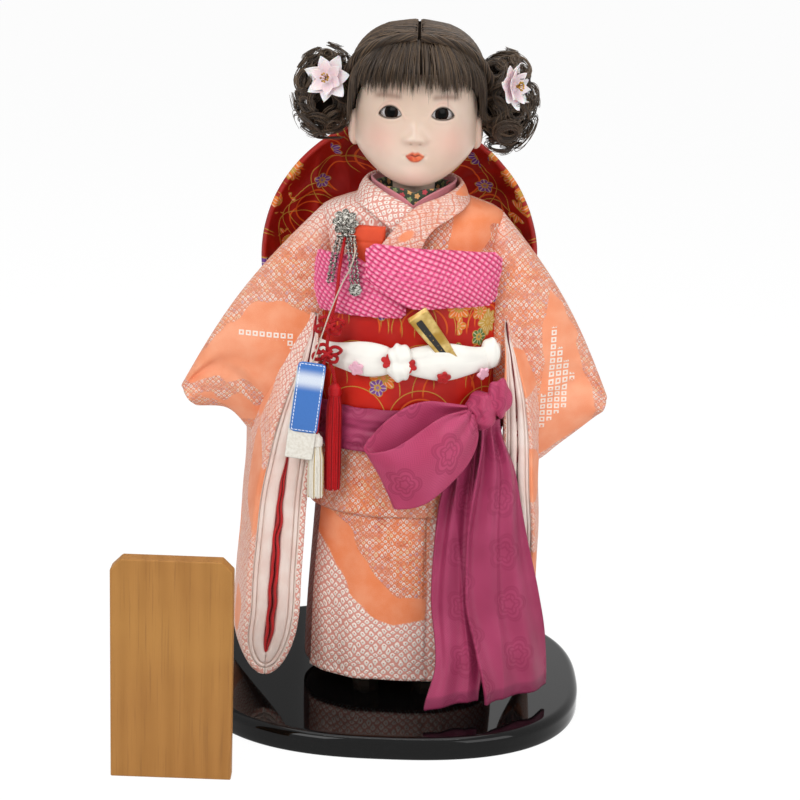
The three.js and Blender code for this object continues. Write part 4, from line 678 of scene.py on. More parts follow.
def shibori_finish(name, scale=1.0):
    """Crepe with tie-dyed dots; the values plain, pale and squares steer where its dyes lie, a fourth value
    paints shade on it, and its far sides are made paler by painted light.
    """
    f = Finish(name, {"Sheen Weight": 0.06, "Sheen Roughness": 0.5, "Specular IOR Level": 0.2})
    u, v = f.cloth_place()
    place = f.vector(u, v)
    side = sizes().dot_pitch / MM * scale
    ring, centre, _, pucker = tied_dots(f, u, v, side)
    small_ring, small_centre, cell, small_pucker = tied_dots(f, u, v, side * 0.72)
    plain = f.rise(f.value("plain"), -0.5, 0.5)
    pale = f.value("pale")
    drift = f.rise(f.noise(place, 0.035, 3.0), 0.42, 0.62)
    speckled = f.blend(drift, "coral", "orange")
    patch = f.rise(f.noise(place, 0.075, 4.0, 0.6), 0.54, 0.66)
    speckled = f.blend(patch * 0.7, speckled, "D2603F")
    warm = cell > 0.78
    cool = cell < 0.14
    undyed = f.blend(warm * 0.5, "cream", "F0BE6A")
    undyed = f.blend(cool * 0.6, undyed, "C08CA6")
    worn = f.rise(f.noise(place, 0.16, 3.0, 0.65), 0.38, 0.6) * 0.78 + 0.14
    speckled = f.blend(small_ring * worn, speckled, undyed)
    speckled = f.blend(small_centre * 0.9, speckled, "AE5540")
    speckled = f.blend(0.13, speckled, "8A3A28")
    dotted = f.blend(ring * 0.95, "blush", "cream")
    dotted = f.blend(centre * 0.7, dotted, "CC7468")
    dotted = f.blend(pale, speckled, dotted)
    crepe = f.noise(place, 1.6, 4.0, 0.7)
    mottled = f.blend(f.rise(f.noise(place, 0.06, 3.0), 0.3, 0.75), "orange", "F39A70")
    base = f.blend(plain, dotted, mottled)
    box = sizes().dot_pitch / MM * SQUARE_SHARE
    x = abs(f.in_cell(u / box))
    y = abs(f.in_cell(v / box))
    away = f.math("MAXIMUM", x, y)
    frame_ring = f.rise(away, 0.13, 0.19) * (1 - f.rise(away, 0.34, 0.39))
    squares = f.value("squares") > 0.5
    base = f.blend(frame_ring * squares * 0.95, base, "cream")
    base = f.blend(f.rise(crepe, 0.35, 0.7) * 0.06, base, "FFF2E6")
    # Painted light: the cloth far out to either side, mostly the sleeves, is made a little paler
    painted_light_sides, _, _ = f.parts(f.object_place())
    painted_light_sides = f.rise(abs(painted_light_sides), 0.05, 0.115)
    base = f.blend(painted_light_sides * 0.15, base, "FFDCC6")
    # Painted shade: dark brown laid on the cloth where it lies in shade, and in the grooves of seams
    base = f.blend(f.value("dusk"), base, "6E3430")
    relief = pucker * pale + small_pucker * (1 - pale)
    relief = relief * (1 - plain)
    relief = relief + frame_ring * squares * 0.6
    height = relief * 0.9 + crepe * 0.45
    return f.dress(base, crepe * 0.15 + 0.68, height, 0.0006, 0.75)


def brocade_finish(name):
    """Red satin with gold arcs and woven flowers; the value bloom says how thickly the flowers lie."""
    f = Finish(name, {"Specular IOR Level": 0.25})
    u, v = f.cloth_place()
    place = f.vector(u, v)
    satin = f.blend(f.rise(f.noise(place, 0.03, 3.0), 0.35, 0.7), "red", "D0240F")
    # Painted shade: the satin darkens towards the doll's back, where the bow lies behind the head
    _, back, _ = f.parts(f.object_place())
    satin = f.blend(f.rise(back, 0.02, 0.06) * 0.45, satin, "5A0504")
    gold_share = None
    orange_share = None
    for spacing, shift, radius in ((58.0, 0.0, 25.0), (58.0, 0.5, 18.0), (44.0, 0.27, 21.0)):
        a = u / spacing + shift
        b = v / (spacing * 0.7) + shift * 1.7
        x = f.in_cell(a) * spacing
        y = f.in_cell(b) * (spacing * 0.7)
        away = f.distance(x, y + 6.0)
        upper = f.rise(y, -10.0, -6.0)
        thin = f.line(away, radius, 0.42) * upper
        thick = f.line(away, radius * 0.72, 0.75) * upper
        gold_share = thin if gold_share is None else f.math("MAXIMUM", gold_share, thin)
        shown = thick * (f.cell_number(a, b) > 0.5)
        orange_share = shown if orange_share is None else f.math("MAXIMUM", orange_share, shown)
    thread = f.rise(f.noise(place, 2.4, 2.0), 0.32, 0.5)
    base = f.blend(orange_share * 0.9, satin, "E2601F")
    base = f.blend(gold_share * thread, base, "gold")
    relief = f.math("MAXIMUM", gold_share, orange_share)
    for spacing, shift, reach, petals, hues in (
        (24.0, 0.13, 9.6, 8.0, ("6F3A92", "E8792A", "C7A24E")),
        (17.0, 0.61, 6.6, 5.0, ("E07A2C", "7C4696", "55743A")),
    ):
        a = u / spacing + shift
        b = v / spacing + f.math("FLOOR", a) * 0.5
        x = f.in_cell(a) * spacing
        y = f.in_cell(b) * spacing
        away = f.distance(x, y)
        angle = f.math("ARCTAN2", y, x)
        lobe = abs(f.math("COSINE", angle * (petals / 2)))
        edge = (lobe * 0.3 + 0.7) * reach
        share = away / edge
        cell = f.cell_number(a, b)
        shown = f.math("FRACT", cell * 7.31) < f.value("bloom")
        petal = (1 - f.rise(share, 0.92, 1.0)) * shown
        tint = f.blend(cell > 0.36, hues[0], hues[1])
        tint = f.blend(cell > 0.7, tint, hues[2])
        veins = f.rise(abs(f.math("COSINE", angle * petals)), 0.86, 0.98)
        tint = f.blend(veins * 0.6, tint, "F0DFC2")
        outline = f.math("MAXIMUM", f.line(share, 0.95, 0.09), f.line(share, 0.3, 0.14))
        tint = f.blend(outline, tint, "gold")
        base = f.blend(petal, base, tint)
        relief = f.math("MAXIMUM", relief, petal)
    twill = f.math("SINE", (u + v) * 9.0)
    height = relief * 0.8 + twill * 0.12
    rough = relief * 0.12 + 0.36
    return f.dress(base, rough, height, 0.0005, 0.6)


def damask_finish(name, dye, light):
    """Magenta satin with a tone-on-tone key fret and flower roundels."""
    f = Finish(name, {"Sheen Weight": 0.05, "Specular IOR Level": 0.35})
    u, v = f.cloth_place()
    place = f.vector(u, v)
    a = (u + v * 1.25) / 8.6
    b = (u - v * 1.25) / 8.6
    odd = f.math("FRACT", (f.math("FLOOR", a) + f.math("FLOOR", b)) * 0.5) > 0.25
    run = odd * a + (1 - odd) * b
    stripe = abs(f.math("FRACT", run * 4.0) - 0.5)
    fret = 1 - f.rise(stripe, 0.12, 0.2)
    spacing = 36.0
    across = u / spacing + 0.42
    down = v / spacing + f.math("FLOOR", across) * 0.5
    x = f.in_cell(across) * spacing
    y = f.in_cell(down) * spacing
    away = f.distance(x, y)
    angle = f.math("ARCTAN2", y, x)
    lobe = abs(f.math("COSINE", angle * 2.5))
    share = away / ((lobe * 0.28 + 0.72) * 12.5)
    roundel = None
    for at in (1.0, 0.86, 0.58, 0.3):
        ring = f.line(share, at, 0.075)
        roundel = ring if roundel is None else f.math("MAXIMUM", roundel, ring)
    spokes = f.rise(abs(f.math("COSINE", angle * 5.0)), 0.9, 0.99)
    spokes = spokes * (f.rise(share, 0.3, 0.36) * (1 - f.rise(share, 0.5, 0.58)))
    roundel = f.math("MAXIMUM", roundel, spokes)
    clear = f.rise(share, 1.06, 1.12)
    woven = f.math("MAXIMUM", fret * clear * 0.6, roundel)
    dye = f.blend(f.rise(f.noise(place, 0.025, 2.0), 0.3, 0.75), dye, light)
    base = f.blend(woven * 0.36, dye, "7A1A3E")
    base = f.blend(f.value("hem") * 0.55, base, "6A173C")
    twill = f.math("SINE", (u + v) * 12.0)
    height = woven * (-0.5) + twill * 0.15
    return f.dress(base, woven * 0.22 + 0.38, height, 0.0003, 0.45)


def knobbed_finish(name):
    """Scarf silk drawn up in knobs, with painted highlight on each knob's top and painted shade in the
    furrows.
    """
    f = Finish(name, {"Specular IOR Level": 0.3})
    u, v = f.cloth_place()
    lift = f.value("lift")
    thread = f.rise(f.noise(f.stretched(f.vector(u, v), (1.0, 0.25, 1.0)), 2.2, 3.0), 0.3, 0.75)
    # Painted shade deep in the furrows and painted highlight on the knob tops, both following the knobs' lift
    base = f.blend(f.rise(lift, 0.2, 0.6), "B00F4C", "scarf")
    base = f.blend(f.rise(lift, 0.6, 1.0) * 0.65, base, "FBC0D2")
    base = f.blend(thread * 0.22, base, "FBD3E4")
    return f.dress(base, thread * 0.2 + 0.42, thread, 0.0003, 0.4)


def silk_finish(name, dye, threads=1.3, gloss=0.5, second=None):
    """Plain woven silk with a little unevenness in its dye."""
    f = Finish(name, {"Sheen Weight": 0.15, "Specular IOR Level": 0.35})
    u, v = f.cloth_place()
    place = f.vector(u, v)
    cloud = f.rise(f.noise(place, 0.05, 3.0), 0.25, 0.75)
    base = f.blend(cloud, dye, second or (*(c * 0.93 for c in tone(dye)[:3]), 1.0))
    crepe = f.noise(place, 1.1, 3.0, 0.6)
    height = weave_height(f, u, v, threads) * 0.4 + crepe
    return f.dress(base, crepe * 0.2 + gloss, height, 0.0003, 0.4)


def embroidered_finish(name):
    """Dark under-collar silk with small stitched blossoms."""
    f = Finish(name, {"Sheen Weight": 0.1, "Specular IOR Level": 0.3})
    u, v = f.cloth_place()
    a = u / 5.2
    b = v / 5.2 + f.math("FLOOR", a) * 0.5
    x, y = f.in_cell(a), f.in_cell(b)
    away = f.distance(x, y)
    lobe = abs(f.math("COSINE", f.math("ARCTAN2", y, x) * 2.5))
    petal = 1 - f.rise(away / (lobe * 0.16 + 0.26), 0.85, 1.0)
    cell = f.cell_number(a, b)
    tint = f.blend(cell > 0.4, "C24A54", "D9A66A")
    tint = f.blend(cell > 0.75, tint, "8FA06A")
    base = f.blend(f.noise(f.vector(u, v), 0.4, 2.0), "2B3429", "46523F")
    base = f.blend(petal, base, tint)
    return f.dress(base, 0.62, petal, 0.0004, 0.6)


def skin_finish(name):
    """Polished white skin with painted blush, lips, brows and lashes; one value also lays a faint painted
    shade on the neck, another paints shade into the mouth's parting and the nostrils.
    """
    polish = {"Specular IOR Level": 0.45, "Coat Weight": 0.12, "Coat Roughness": 0.25}
    f = Finish(name, {"Subsurface Weight": 0.12, "Subsurface Scale": 0.004, **polish})
    place = f.object_place()
    cloud = f.rise(f.noise(place, 28.0, 3.0), 0.3, 0.75)
    base = f.blend(cloud * 0.35, "skin", "F6E6D8")
    # Blush is the doll's paint; on the neck the same value lays a faint painted shade
    base = f.blend(f.value("cheek") * 0.6, base, "E6A598")
    base = f.blend(f.value("brow"), base, "8A6152")
    lip = f.blend(f.rise(f.noise(place, 260.0, 2.0), 0.35, 0.7), "lips", "C8401F")
    base = f.blend(f.value("lip"), base, lip)
    # Painted shade: dark red in the mouth's parting and the nostrils
    base = f.blend(f.value("dim"), base, "5E1A10")
    base = f.blend(f.value("lash"), base, "1C120F")
    rough = f.noise(place, 60.0, 3.0) * 0.12 + 0.34
    return f.dress(base, rough, f.noise(place, 420.0, 3.0), 0.0002, 0.12)


def hair_finish(name):
    """Silk thread hair with browner lights along some locks."""
    f = Finish(name, {"Specular IOR Level": 0.5, "Anisotropic": 0.5})
    lock = f.value("lock")
    base = f.blend(f.rise(lock, 0.1, 0.95), "33281F", "hair")
    base = f.blend(f.rise(lock, 0.6, 1.0) * 0.5, base, "7D654C")
    grain = f.noise(f.object_place(), 900.0, 2.0)
    return f.dress(base, grain * 0.16 + 0.34, grain, 0.0001, 0.2)


def metal_finish(name, dye, dark, roughness, scale):
    """Worn metal with tarnish in its hollows."""
    f = Finish(name, {"Metallic": 1.0})
    grain = f.noise(f.object_place(), scale, 4.0)
    base = f.blend(f.rise(grain, 0.35, 0.65), dark, dye)
    return f.dress(base, grain * 0.25 + roughness, grain, 0.0002, 0.4)


def lacquer_finish(name):
    """Deep black lacquer, polished, with the faintest orange peel."""
    f = Finish(name, {"Specular IOR Level": 0.2})
    place = f.object_place()
    dust = f.noise(place, 340.0, 3.0)
    base = f.blend(f.rise(dust, 0.55, 0.8), "lacquer", "101011")
    rough = f.noise(place, 12.0, 2.0) * 0.03 + 0.04
    return f.dress(base, rough, f.noise(place, 22.0, 1.0), 0.0001, 0.03)


def wood_finish(name):
    """Pale straight-grained board: long grain up the plaque, fine pores."""
    f = Finish(name, {"Specular IOR Level": 0.35})
    place = f.object_place()
    drift = f.noise(f.stretched(place, (9.0, 9.0, 1.2)), 4.0, 2.0)
    x, _, _ = f.parts(place)
    run = x * 480.0 + drift * 11.0
    grain = f.math("SINE", run) * 0.5 + 0.5
    pores = f.noise(f.stretched(place, (700.0, 300.0, 18.0)), 1.0, 3.0)
    base = f.blend(grain * 0.55, "wood", "946228")
    base = f.blend(f.rise(f.noise(place, 14.0, 2.0), 0.35, 0.75) * 0.6, base, "B5823F")
    base = f.blend(f.rise(pores, 0.52, 0.75) * 0.45, base, "80552A")
    return f.dress(base, pores * 0.15 + 0.48, pores + grain, 0.0002, 0.25)


def plain_finish(name, dye, dark, scale, roughness, sockets=None):
    """A solid stuff with a grain: body composition, plain card or the ground under the hair."""
    f = Finish(name, sockets)
    grain = f.noise(f.object_place(), scale, 4.0)
    base = f.blend(f.rise(grain, 0.35, 0.7), dye, dark)
    return f.dress(base, grain * 0.15 + roughness, grain, 0.0002, 0.25)


def glass_eye_finish(name):
    """Glass eye: the value iris is the distance from its pupil's middle in millimetres."""
    f = Finish(name, {"Roughness": 0.04, "Specular IOR Level": 0.07})
    ring = f.value("iris")
    grain = f.noise(f.object_place(), 900.0, 3.0)
    iris = f.blend(f.rise(ring + grain, 2.8, 5.0), "0C0605", "22130D")
    base = f.blend(f.rise(ring, 2.5, 2.8), "020202", iris)
    base = f.blend(f.rise(ring, 4.1, 4.5), base, "0A0605")
    white = f.blend(f.rise(grain, 0.4, 0.7), "C9C6C6", "B9ADA9")
    base = f.blend(f.rise(ring, 4.5, 4.9), base, white)
    # Painted shade: the eyeball darkens under the upper lid
    base = f.blend(f.value("dim") * 0.85, base, "0A0706")
    return f.dress(base)


def petal_finish(name):
    """Thin pale petals that let light through."""
    f = Finish(name, {"Subsurface Weight": 0.25, "Subsurface Scale": 0.003, "Sheen Weight": 0.2})
    u, v = f.cloth_place()
    vein = f.noise(f.vector(u * 1.6, v * 0.2), 1.0, 2.0)
    base = f.blend(f.rise(v, 2.0, 15.0), "EFCDD2", "FBF4F4")
    base = f.blend(f.rise(vein, 0.45, 0.7) * 0.3, base, "E7B6BE")
    return f.dress(base, 0.45, vein, 0.0003, 0.3)


def cord_finish(name, dye, dark, pitch):
    """Braided silk: slanted plies that cross along the cord."""
    f = Finish(name, {"Specular IOR Level": 0.3})
    u, v = f.cloth_place()
    a = f.math("SINE", (u + v) * (2 * math.pi / pitch))
    b = f.math("SINE", (u - v) * (2 * math.pi / pitch))
    ply = f.math("MAXIMUM", a, b)
    base = f.blend(f.rise(ply, -0.2, 0.8), dark, dye)
    return f.dress(base, 0.5, ply, 0.0003, 0.6)


def thread_finish(name, dye, second, third=None):
    """Tassel threads, each with its own share of two or three tones."""
    f = Finish(name, {"Specular IOR Level": 0.3})
    lock = f.value("lock")
    grain = f.noise(f.object_place(), 700.0, 2.0)
    base = f.blend(f.rise(lock, 0.2, 0.9), dye, second)
    if third:
        base = f.blend(lock > 0.82, base, third)
    base = f.blend(f.rise(grain, 0.4, 0.7) * 0.3, base, second)
    return f.dress(base, 0.5, grain, 0.0002, 0.4)


def tag_finish(name):
    """Blue printed card: pale band near its top, thin dashed white border, nothing written on it."""
    f = Finish(name, {"Specular IOR Level": 0.35})
    u, v = f.cloth_place()
    fade = f.rise(v, 4.0, 11.0) * (1 - f.rise(v, 13.0, 20.0))
    base = f.blend(fade * 0.85, "3F74BE", "E6EDF5")
    across = abs(u)
    along = abs(v)
    edge = f.math("MINIMUM", 9.0 - across, 23.5 - along)
    dash = f.math("FRACT", (u + v) * 0.42) > 0.3
    border = f.line(edge, 1.25, 0.3) * dash
    base = f.blend(border, base, "EEF2F6")
    grain = f.noise(f.object_place(), 1200.0, 3.0)
    base = f.blend(f.rise(grain, 0.45, 0.7) * 0.08, base, "1F4A8A")
    return f.dress(base, grain * 0.15 + 0.32, grain, 0.0001, 0.15)


def fan_finish(name):
    """Gilt leaves; the value stripe is the dark lacquer band on the guards."""
    f = Finish(name, {"Specular IOR Level": 0.5})
    place = f.object_place()
    leaf = f.noise(place, 90.0, 3.0)
    stripe = f.rise(f.value("stripe"), 0.4, 0.6)
    gilt = f.blend(f.rise(leaf, 0.35, 0.65), "B08A3C", "E6CB86")
    base = f.blend(stripe, gilt, "15110C")
    flake = f.rise(f.noise(place, 700.0, 2.0), 0.66, 0.7) * stripe
    base = f.blend(flake, base, "B88A35")
    f.set("Metallic", (1 - stripe) * 0.75)
    return f.dress(base, leaf * 0.25 + 0.28, leaf, 0.0001, 0.15)


FINISH_MAKERS = {
    "shibori": (shibori_finish, "Tie-dyed crepe"),
    "fine_shibori": (shibori_finish, "Fine tie-dyed crepe", 0.9),
    "lining": (silk_finish, "Pale lining silk", "F3E6DC", 1.6, 0.5, "EBD3C8"),
    "pale_silk": (silk_finish, "Sleeve lining", "F3E3DA", 1.3, 0.5, "EBCFC4"),
    "white_silk": (silk_finish, "White silk", "white", 1.2, 0.52),
    "red_silk": (silk_finish, "Red silk", "C41417", 1.4, 0.45, "A50E12"),
    "pink_silk": (silk_finish, "Pink silk", "F1B9CC", 1.4, 0.5),
    "pouch": (silk_finish, "Pouch brocade", "DF4A1C", 1.2, 0.4, "C93A12"),
    "edging": (silk_finish, "Collar edging", "D98A93", 1.3, 0.5),
    "embroidered": (embroidered_finish, "Embroidered under-collar"),
    "brocade": (brocade_finish, "Red brocade"),
    "damask": (damask_finish, "Sash damask", "sash", "BF4670"),
    # A darker copy of the damask that stands in for shade on the belt and tails
    "damask_shaded": (damask_finish, "Sash damask in shade", "93264F", "A93862"),
    "scarf": (knobbed_finish, "Knobbed scarf silk"),
    "skin": (skin_finish, "Polished white skin"),
    "glass_eye": (glass_eye_finish, "Glass eye"),
    "scalp": (plain_finish, "Hair ground", "1B140F", "120D0A", 300, 0.85, {"Specular IOR Level": 0.02}),
    "hair": (hair_finish, "Silk hair"),
    "petal": (petal_finish, "Pale petals"),
    "silver": (metal_finish, "Tarnished silver", "C9C6BE", "35322D", 0.22, 900.0),
    "gold": (metal_finish, "Gilt", "gold", "7A5A20", 0.25, 500.0),
    "fan_gold": (fan_finish, "Gilt fan"),
    "steel": (metal_finish, "Peg steel", "A9ABAE", "77797C", 0.3, 300.0),
    "lacquer": (lacquer_finish, "Black lacquer"),
    "wood": (wood_finish, "Plaque board"),
    "composition": (plain_finish, "Body composition", "D8CDBE", "B9AB98", 90.0, 0.75),
    "cord": (cord_finish, "Red cord", "cord", "930A13", 1.5),
    "thread": (cord_finish, "Beige thread", "E4D8C8", "B7A58E", 0.7),
    "tassel_red": (thread_finish, "Red tassel", "cord", "8E0A12"),
    "tassel_white": (thread_finish, "White tassel", "F0ECE2", "D9D2C4", "C6A75C"),
    "tag": (tag_finish, "Blue tag"),
    "card": (plain_finish, "Plain card", "E9E6DC", "DAD5C8", 500.0, 0.6),
}
FINISHES = {}


def finish(name):
    """A finish by its name, made the first time that it is asked for."""
    if name not in FINISHES:
        maker, *given = FINISH_MAKERS[name]
        FINISHES[name] = maker(*given)
    return FINISHES[name]


# Dyed patterns, as places on the doll's front in millimetres: across and up


def beside(path, x, z, closed=False):
    """Distance to a path on the doll's front."""
    path = np.asarray(path, float)
    ends = np.roll(path, -1, 0) if closed else path[1:]
    point = np.stack(np.broadcast_arrays(x, z), -1).astype(float)
    nearest = np.full(point.shape[:-1], np.inf)
    for a, b in zip(path, ends):
        reach = b - a
        share = np.clip(((point - a) @ reach) / max(reach @ reach, 1e-9), 0, 1)
        nearest = np.minimum(nearest, np.linalg.norm(point - a - share[..., None] * reach, axis=-1))
    return nearest


def inside(outline, x, z):
    """Signed distance to an outline on the doll's front, positive inside it."""
    x, z = np.broadcast_arrays(x, z)
    within = np.zeros(x.shape, bool)
    outline = np.asarray(outline, float)
    for (ax, az), (bx, bz) in zip(outline, np.roll(outline, -1, 0)):
        if az != bz:
            crosses = (az > z) != (bz > z)
            within ^= crosses & (x < ax + (z - az) * (bx - ax) / (bz - az))
    away = beside(outline, x, z, closed=True)
    return np.where(within, away, -away)


SKIRT_WAVE = [
    (-75, 128), (-56, 131), (-44, 127), (-33, 115), (-26, 101), (-11, 79), (0, 71), (19, 71),
    (19, 55), (-3, 51), (-18, 57), (-32, 71), (-39, 86), (-51, 103), (-59, 115), (-75, 122),
]
SKIRT_PALE = [
    (-120, 122), (-59, 115), (-51, 103), (-39, 86), (-32, 71), (-18, 57), (-3, 51), (19, 55), (21, 190),
    (120, 190), (120, 0), (-120, 0),
]
RIGHT_PLAIN = [
    (-103, 262), (-87, 266), (-62, 258), (-66, 223), (-84, 186), (-109, 180), (-125, 190), (-150, 206),
    (-140, 222),
    (-120, 246),
]
RIGHT_ROWS = [[(-109, 242.8), (-76, 242.8)], [(-80, 238.1), (-76, 238.1)]]
RIGHT_SPECKS = [(-143, 199), (-128, 206), (-122, 199), (-110, 206), (-100, 199)]
LEFT_SHOULDER = [
    (28, 344), (61, 332), (66, 318), (50, 323), (52, 313), (41, 299), (20, 292), (26, 320),
]
LEFT_PLAIN = [
    (93, 278), (101, 268), (114, 246), (123, 224), (130, 201), (124, 185), (86, 160), (78, 180),
    (89, 205), (91, 231),
    (88, 257),
]
LEFT_SQUARES = [
    (93, 255), (97, 255), (103, 238), (111, 221), (109, 200), (97, 188), (82, 182), (82, 196), (94, 207),
]
LEFT_EDGE = [(117, 243), (123, 227), (129, 213), (132, 200)]


def kimono_field(grid, pale, plain, squares=0.0):
    """The dye of a cloth: how pale, how far inside the plain zones, and where the big squares lie."""
    zero = np.zeros(grid.shape[:2])
    return {
        "pale": zero + pale,
        "plain": zero + plain,
        "squares": zero + squares,
    }


# The kimono


def kimono_body():
    """The kimono's tube from hem to neck opening."""
    angle = even_angles(190)
    heights = np.linspace(318, 342, 97)
    high = on_figure(angle[None], 0, heights[:, None])
    free = (high[..., 0] / NECK_OPENING[0]) ** 2 + (high[..., 1] / NECK_OPENING[1]) ** 2 > 1
    top = heights[np.maximum(free.cumprod(0).sum(0) - 1, 0)]
    u = np.linspace(0, 1, 105)[:, None]
    z = mix(12.0, top[None], u)
    fold = np.maximum(ripple(angle[None] * 0.9, z / 300, 11, 5, 0.6, 1.4), 0) * smooth(150, 60, z)
    gather = np.maximum(ripple(angle[None] * 1.3, z / 120, 12, 4, 0.8, 1.6), 0) * smooth(278, 300, z)
    grid = on_figure(angle[None], -0.2 - 0.9 * fold - 0.7 * gather, z)
    x, y = grid[..., 0], grid[..., 1]
    front = y < 0
    plain = np.where(front, inside(LEFT_SHOULDER, x, z), -30 + 26 * ripple(angle[None], z / 200, 5))
    pale = np.where(z > 250, smooth(4, -10, x), 1.0) * (0.35 + 0.65 * front)
    # Painted shade on the lower skirt at the side, below the doll's right sleeve
    dusk = smooth(140, 128, z) * smooth(-50, -56, x) * 0.75
    hang(
        "kimono_body_cloth", "kimono_body", grid, 2.0, ["shibori", "lining"], "shibori", "hung",
        ["torso"], closed=True, dusk=dusk, **kimono_field(grid, pale, plain),
    )


def front_panel():
    """The lapped front panel with its wave of plain dye and the seam of its overlap."""
    turn = np.radians(np.linspace(-150, 45, 196))
    z = np.linspace(12.0, 192.0, 96)[:, None]
    low = smooth(120, 40, z)
    fold = ripple(turn[None] * 1.1, z / 260, 21, 5, 0.7, 1.5)
    drape = 0.75 * fold * low + 0.4 * ripple(turn[None] * 2.5, z / 160, 22, 5, 0.8, 1.8) * smooth(192, 130, z)
    flat = on_figure(turn[None], 2.4, z)
    seam = flat[..., 0] - mix(20.0, 16.0, (z - 16) / 120)
    groove = 0.9 * hump(seam, 0, 0.8) - 0.35 * smooth(-1, 1, seam)
    hem = 0.8 * hump(z, 12, 3.0)
    grid = on_figure(turn[None], 2.4 + np.maximum(drape, -1.2) - groove + hem, z)
    x = grid[..., 0]
    plain = inside(SKIRT_WAVE, x, z) + 0.7 * ripple(x / 30, z / 30, 8, 4, 1.0, 2.0)
    pale = smooth(-1.0, 1.0, inside(SKIRT_PALE, x, z))
    # Painted shade in the groove of the overlap's seam
    dusk = 0.55 * hump(seam, 0.2, 0.7)
    hang(
        "kimono_front_cloth", "kimono_front_panel", grid, 2.0, ["shibori", "lining"], "shibori", "hung",
        ["kimono_body_cloth"], dusk=dusk, **kimono_field(grid, pale, plain),
    )


def waist_fold():
    """The tuck of spare length under the sash, turned up at its lower edge."""
    angle = even_angles(220)[None]
    z = np.linspace(127.5, 197.0, 54)[:, None]
    lift = 0.8 * hump(z, 131, 6) - 1.6 * hump(z, 127, 1.6)
    drape = 0.7 * np.maximum(ripple(angle * 1.2, z / 140, 31, 5, 0.8, 1.7), -0.6) * smooth(176, 160, z)
    grid = on_figure(angle, 4.9 + lift + drape, z)
    x = grid[..., 0]
    spots = ripple(x / 45, z / 40, 33, 5, 0.8, 1.8) * 5 - 7.5
    seam = 0.7 * hump(x - 17, 0, 0.9) * (grid[..., 1] < 0)
    grid = grid - normals(grid, True) * np.sign(np.sum(normals(grid, True) * grid)) * seam[..., None]
    pale = 0.25 * smooth(-30, -52, x)
    # Painted shade in the groove of the seam
    hang(
        "waist_fold_cloth", "waist_fold", grid, 2.0, ["shibori"], "shibori", "folded",
        ["kimono_body_cloth"], closed=True, dusk=0.45 * seam, **kimono_field(grid, pale, spots),
    )


# Collars


def neck_edge(width, height, depth):
    return [(-width, 0, height), (-0.72 * width, 0.7 * depth, height + 1), (0, depth, height + 2),
            (0.72 * width, 0.7 * depth, height + 1), (width, 0, height)]


def throat(width, depth, sign, shares):
    return [(sign * width * s, -depth * (1 - s * s) ** 0.5, mix(*NECK_LEVELS, s)) for s in shares]


def kimono_collar():
    """The kimono's collar: a folded band round the neck, crossed left over right."""
    inner = [(5, -35.9, 328), *throat(30.2, 35.6, RIGHT, (0, 0.55, 0.87))]
    inner += neck_edge(30.2, NECK_LEVELS[1], 35.6)
    inner += [*throat(32.7, 38.1, LEFT, (0.85, 0.55, 0)), on_front(-21.0, 8.3, np.array(308.4))]
    outer = [
        on_front(x, 2.0, np.array(z)) for x, z in ((-5, 315), (-12.6, 318.6), (-25.9, 327.9), (-33.1, 332.4))
    ]
    outer += [*neck_edge(36, 336, 37.6)]
    outer += [on_front(x, 4.5, np.array(z)) for x, z in ((33.1, 332.4), (25.9, 327.9), (12.6, 318.6))]
    outer += [on_front(2.1, 8.3, np.array(299.4))]
    near = through(np.array([np.ravel(p) for p in inner]), 220)
    far = through(np.array([np.ravel(p) for p in outer]), 220)
    share = np.linspace(0, 1, 22)[:, None, None]
    grid = mix(near[None], far[None], share)
    out = normals(grid, False)
    out *= np.sign(np.sum(out * grid * (1, 1, 0)))
    crown = 0.5 + 0.9 * np.sin(np.pi * np.minimum(share * 1.15, 1)) - 0.8 * hump(share, 0, 0.06)
    grid = grid + out * (0.7 + crown)
    u, v = lattice(*grid.shape[:2])
    left = smooth(0.45, 0.6, v)
    spots = -9 + 8 * ripple(u * 0.6, v * 5, 41, 4, 0.6, 1.4)
    hang(
        "kimono_collar_cloth", "kimono_collar", grid, 2.4, ["fine_shibori"], "shibori", "folded",
        ["kimono_body_cloth"], out=grid * (1, 1, 0),
        **kimono_field(grid, 1 - 0.5 * left, mix(-9.0, spots, left)),
    )


def neck_ring(name, inset, wall, show, ease, finish_name, slot, node):
    """A collar ring inside the kimono's collar, its edge rolled."""
    turn = turns(200) + np.pi / 2
    share = np.abs(np.cos(turn))
    front = np.sin(turn) < 0
    top = mix(*NECK_LEVELS, share) + show * (1 - ease * share)
    top = top + np.where(front, 1.5 * share * (1 - share) * 4 - 1.2 * hump(np.cos(turn), 0, 0.12), 0)
    rise = np.linspace(0, 1, 26)[:, None]
    z = mix(322.0, top[None], rise)
    roll = 0.5 * hump(rise, 0.97, 0.05)
    lean = 1.5 * (1 - rise) * (np.sin(turn) > 0)
    width = NECK_OPENING[0] - inset - lean + roll
    depth = NECK_OPENING[1] - inset - lean + roll
    grid = stack(width * np.cos(turn), depth * np.sin(turn), z)
    hang(
        name, node, grid, wall * 0.92, [finish_name], slot, "folded", ["kimono_collar_cloth"], closed=True,
    )


# Sleeves: seam, cuff and the hanging bag's rows of height, middle, half width, front, back and lean

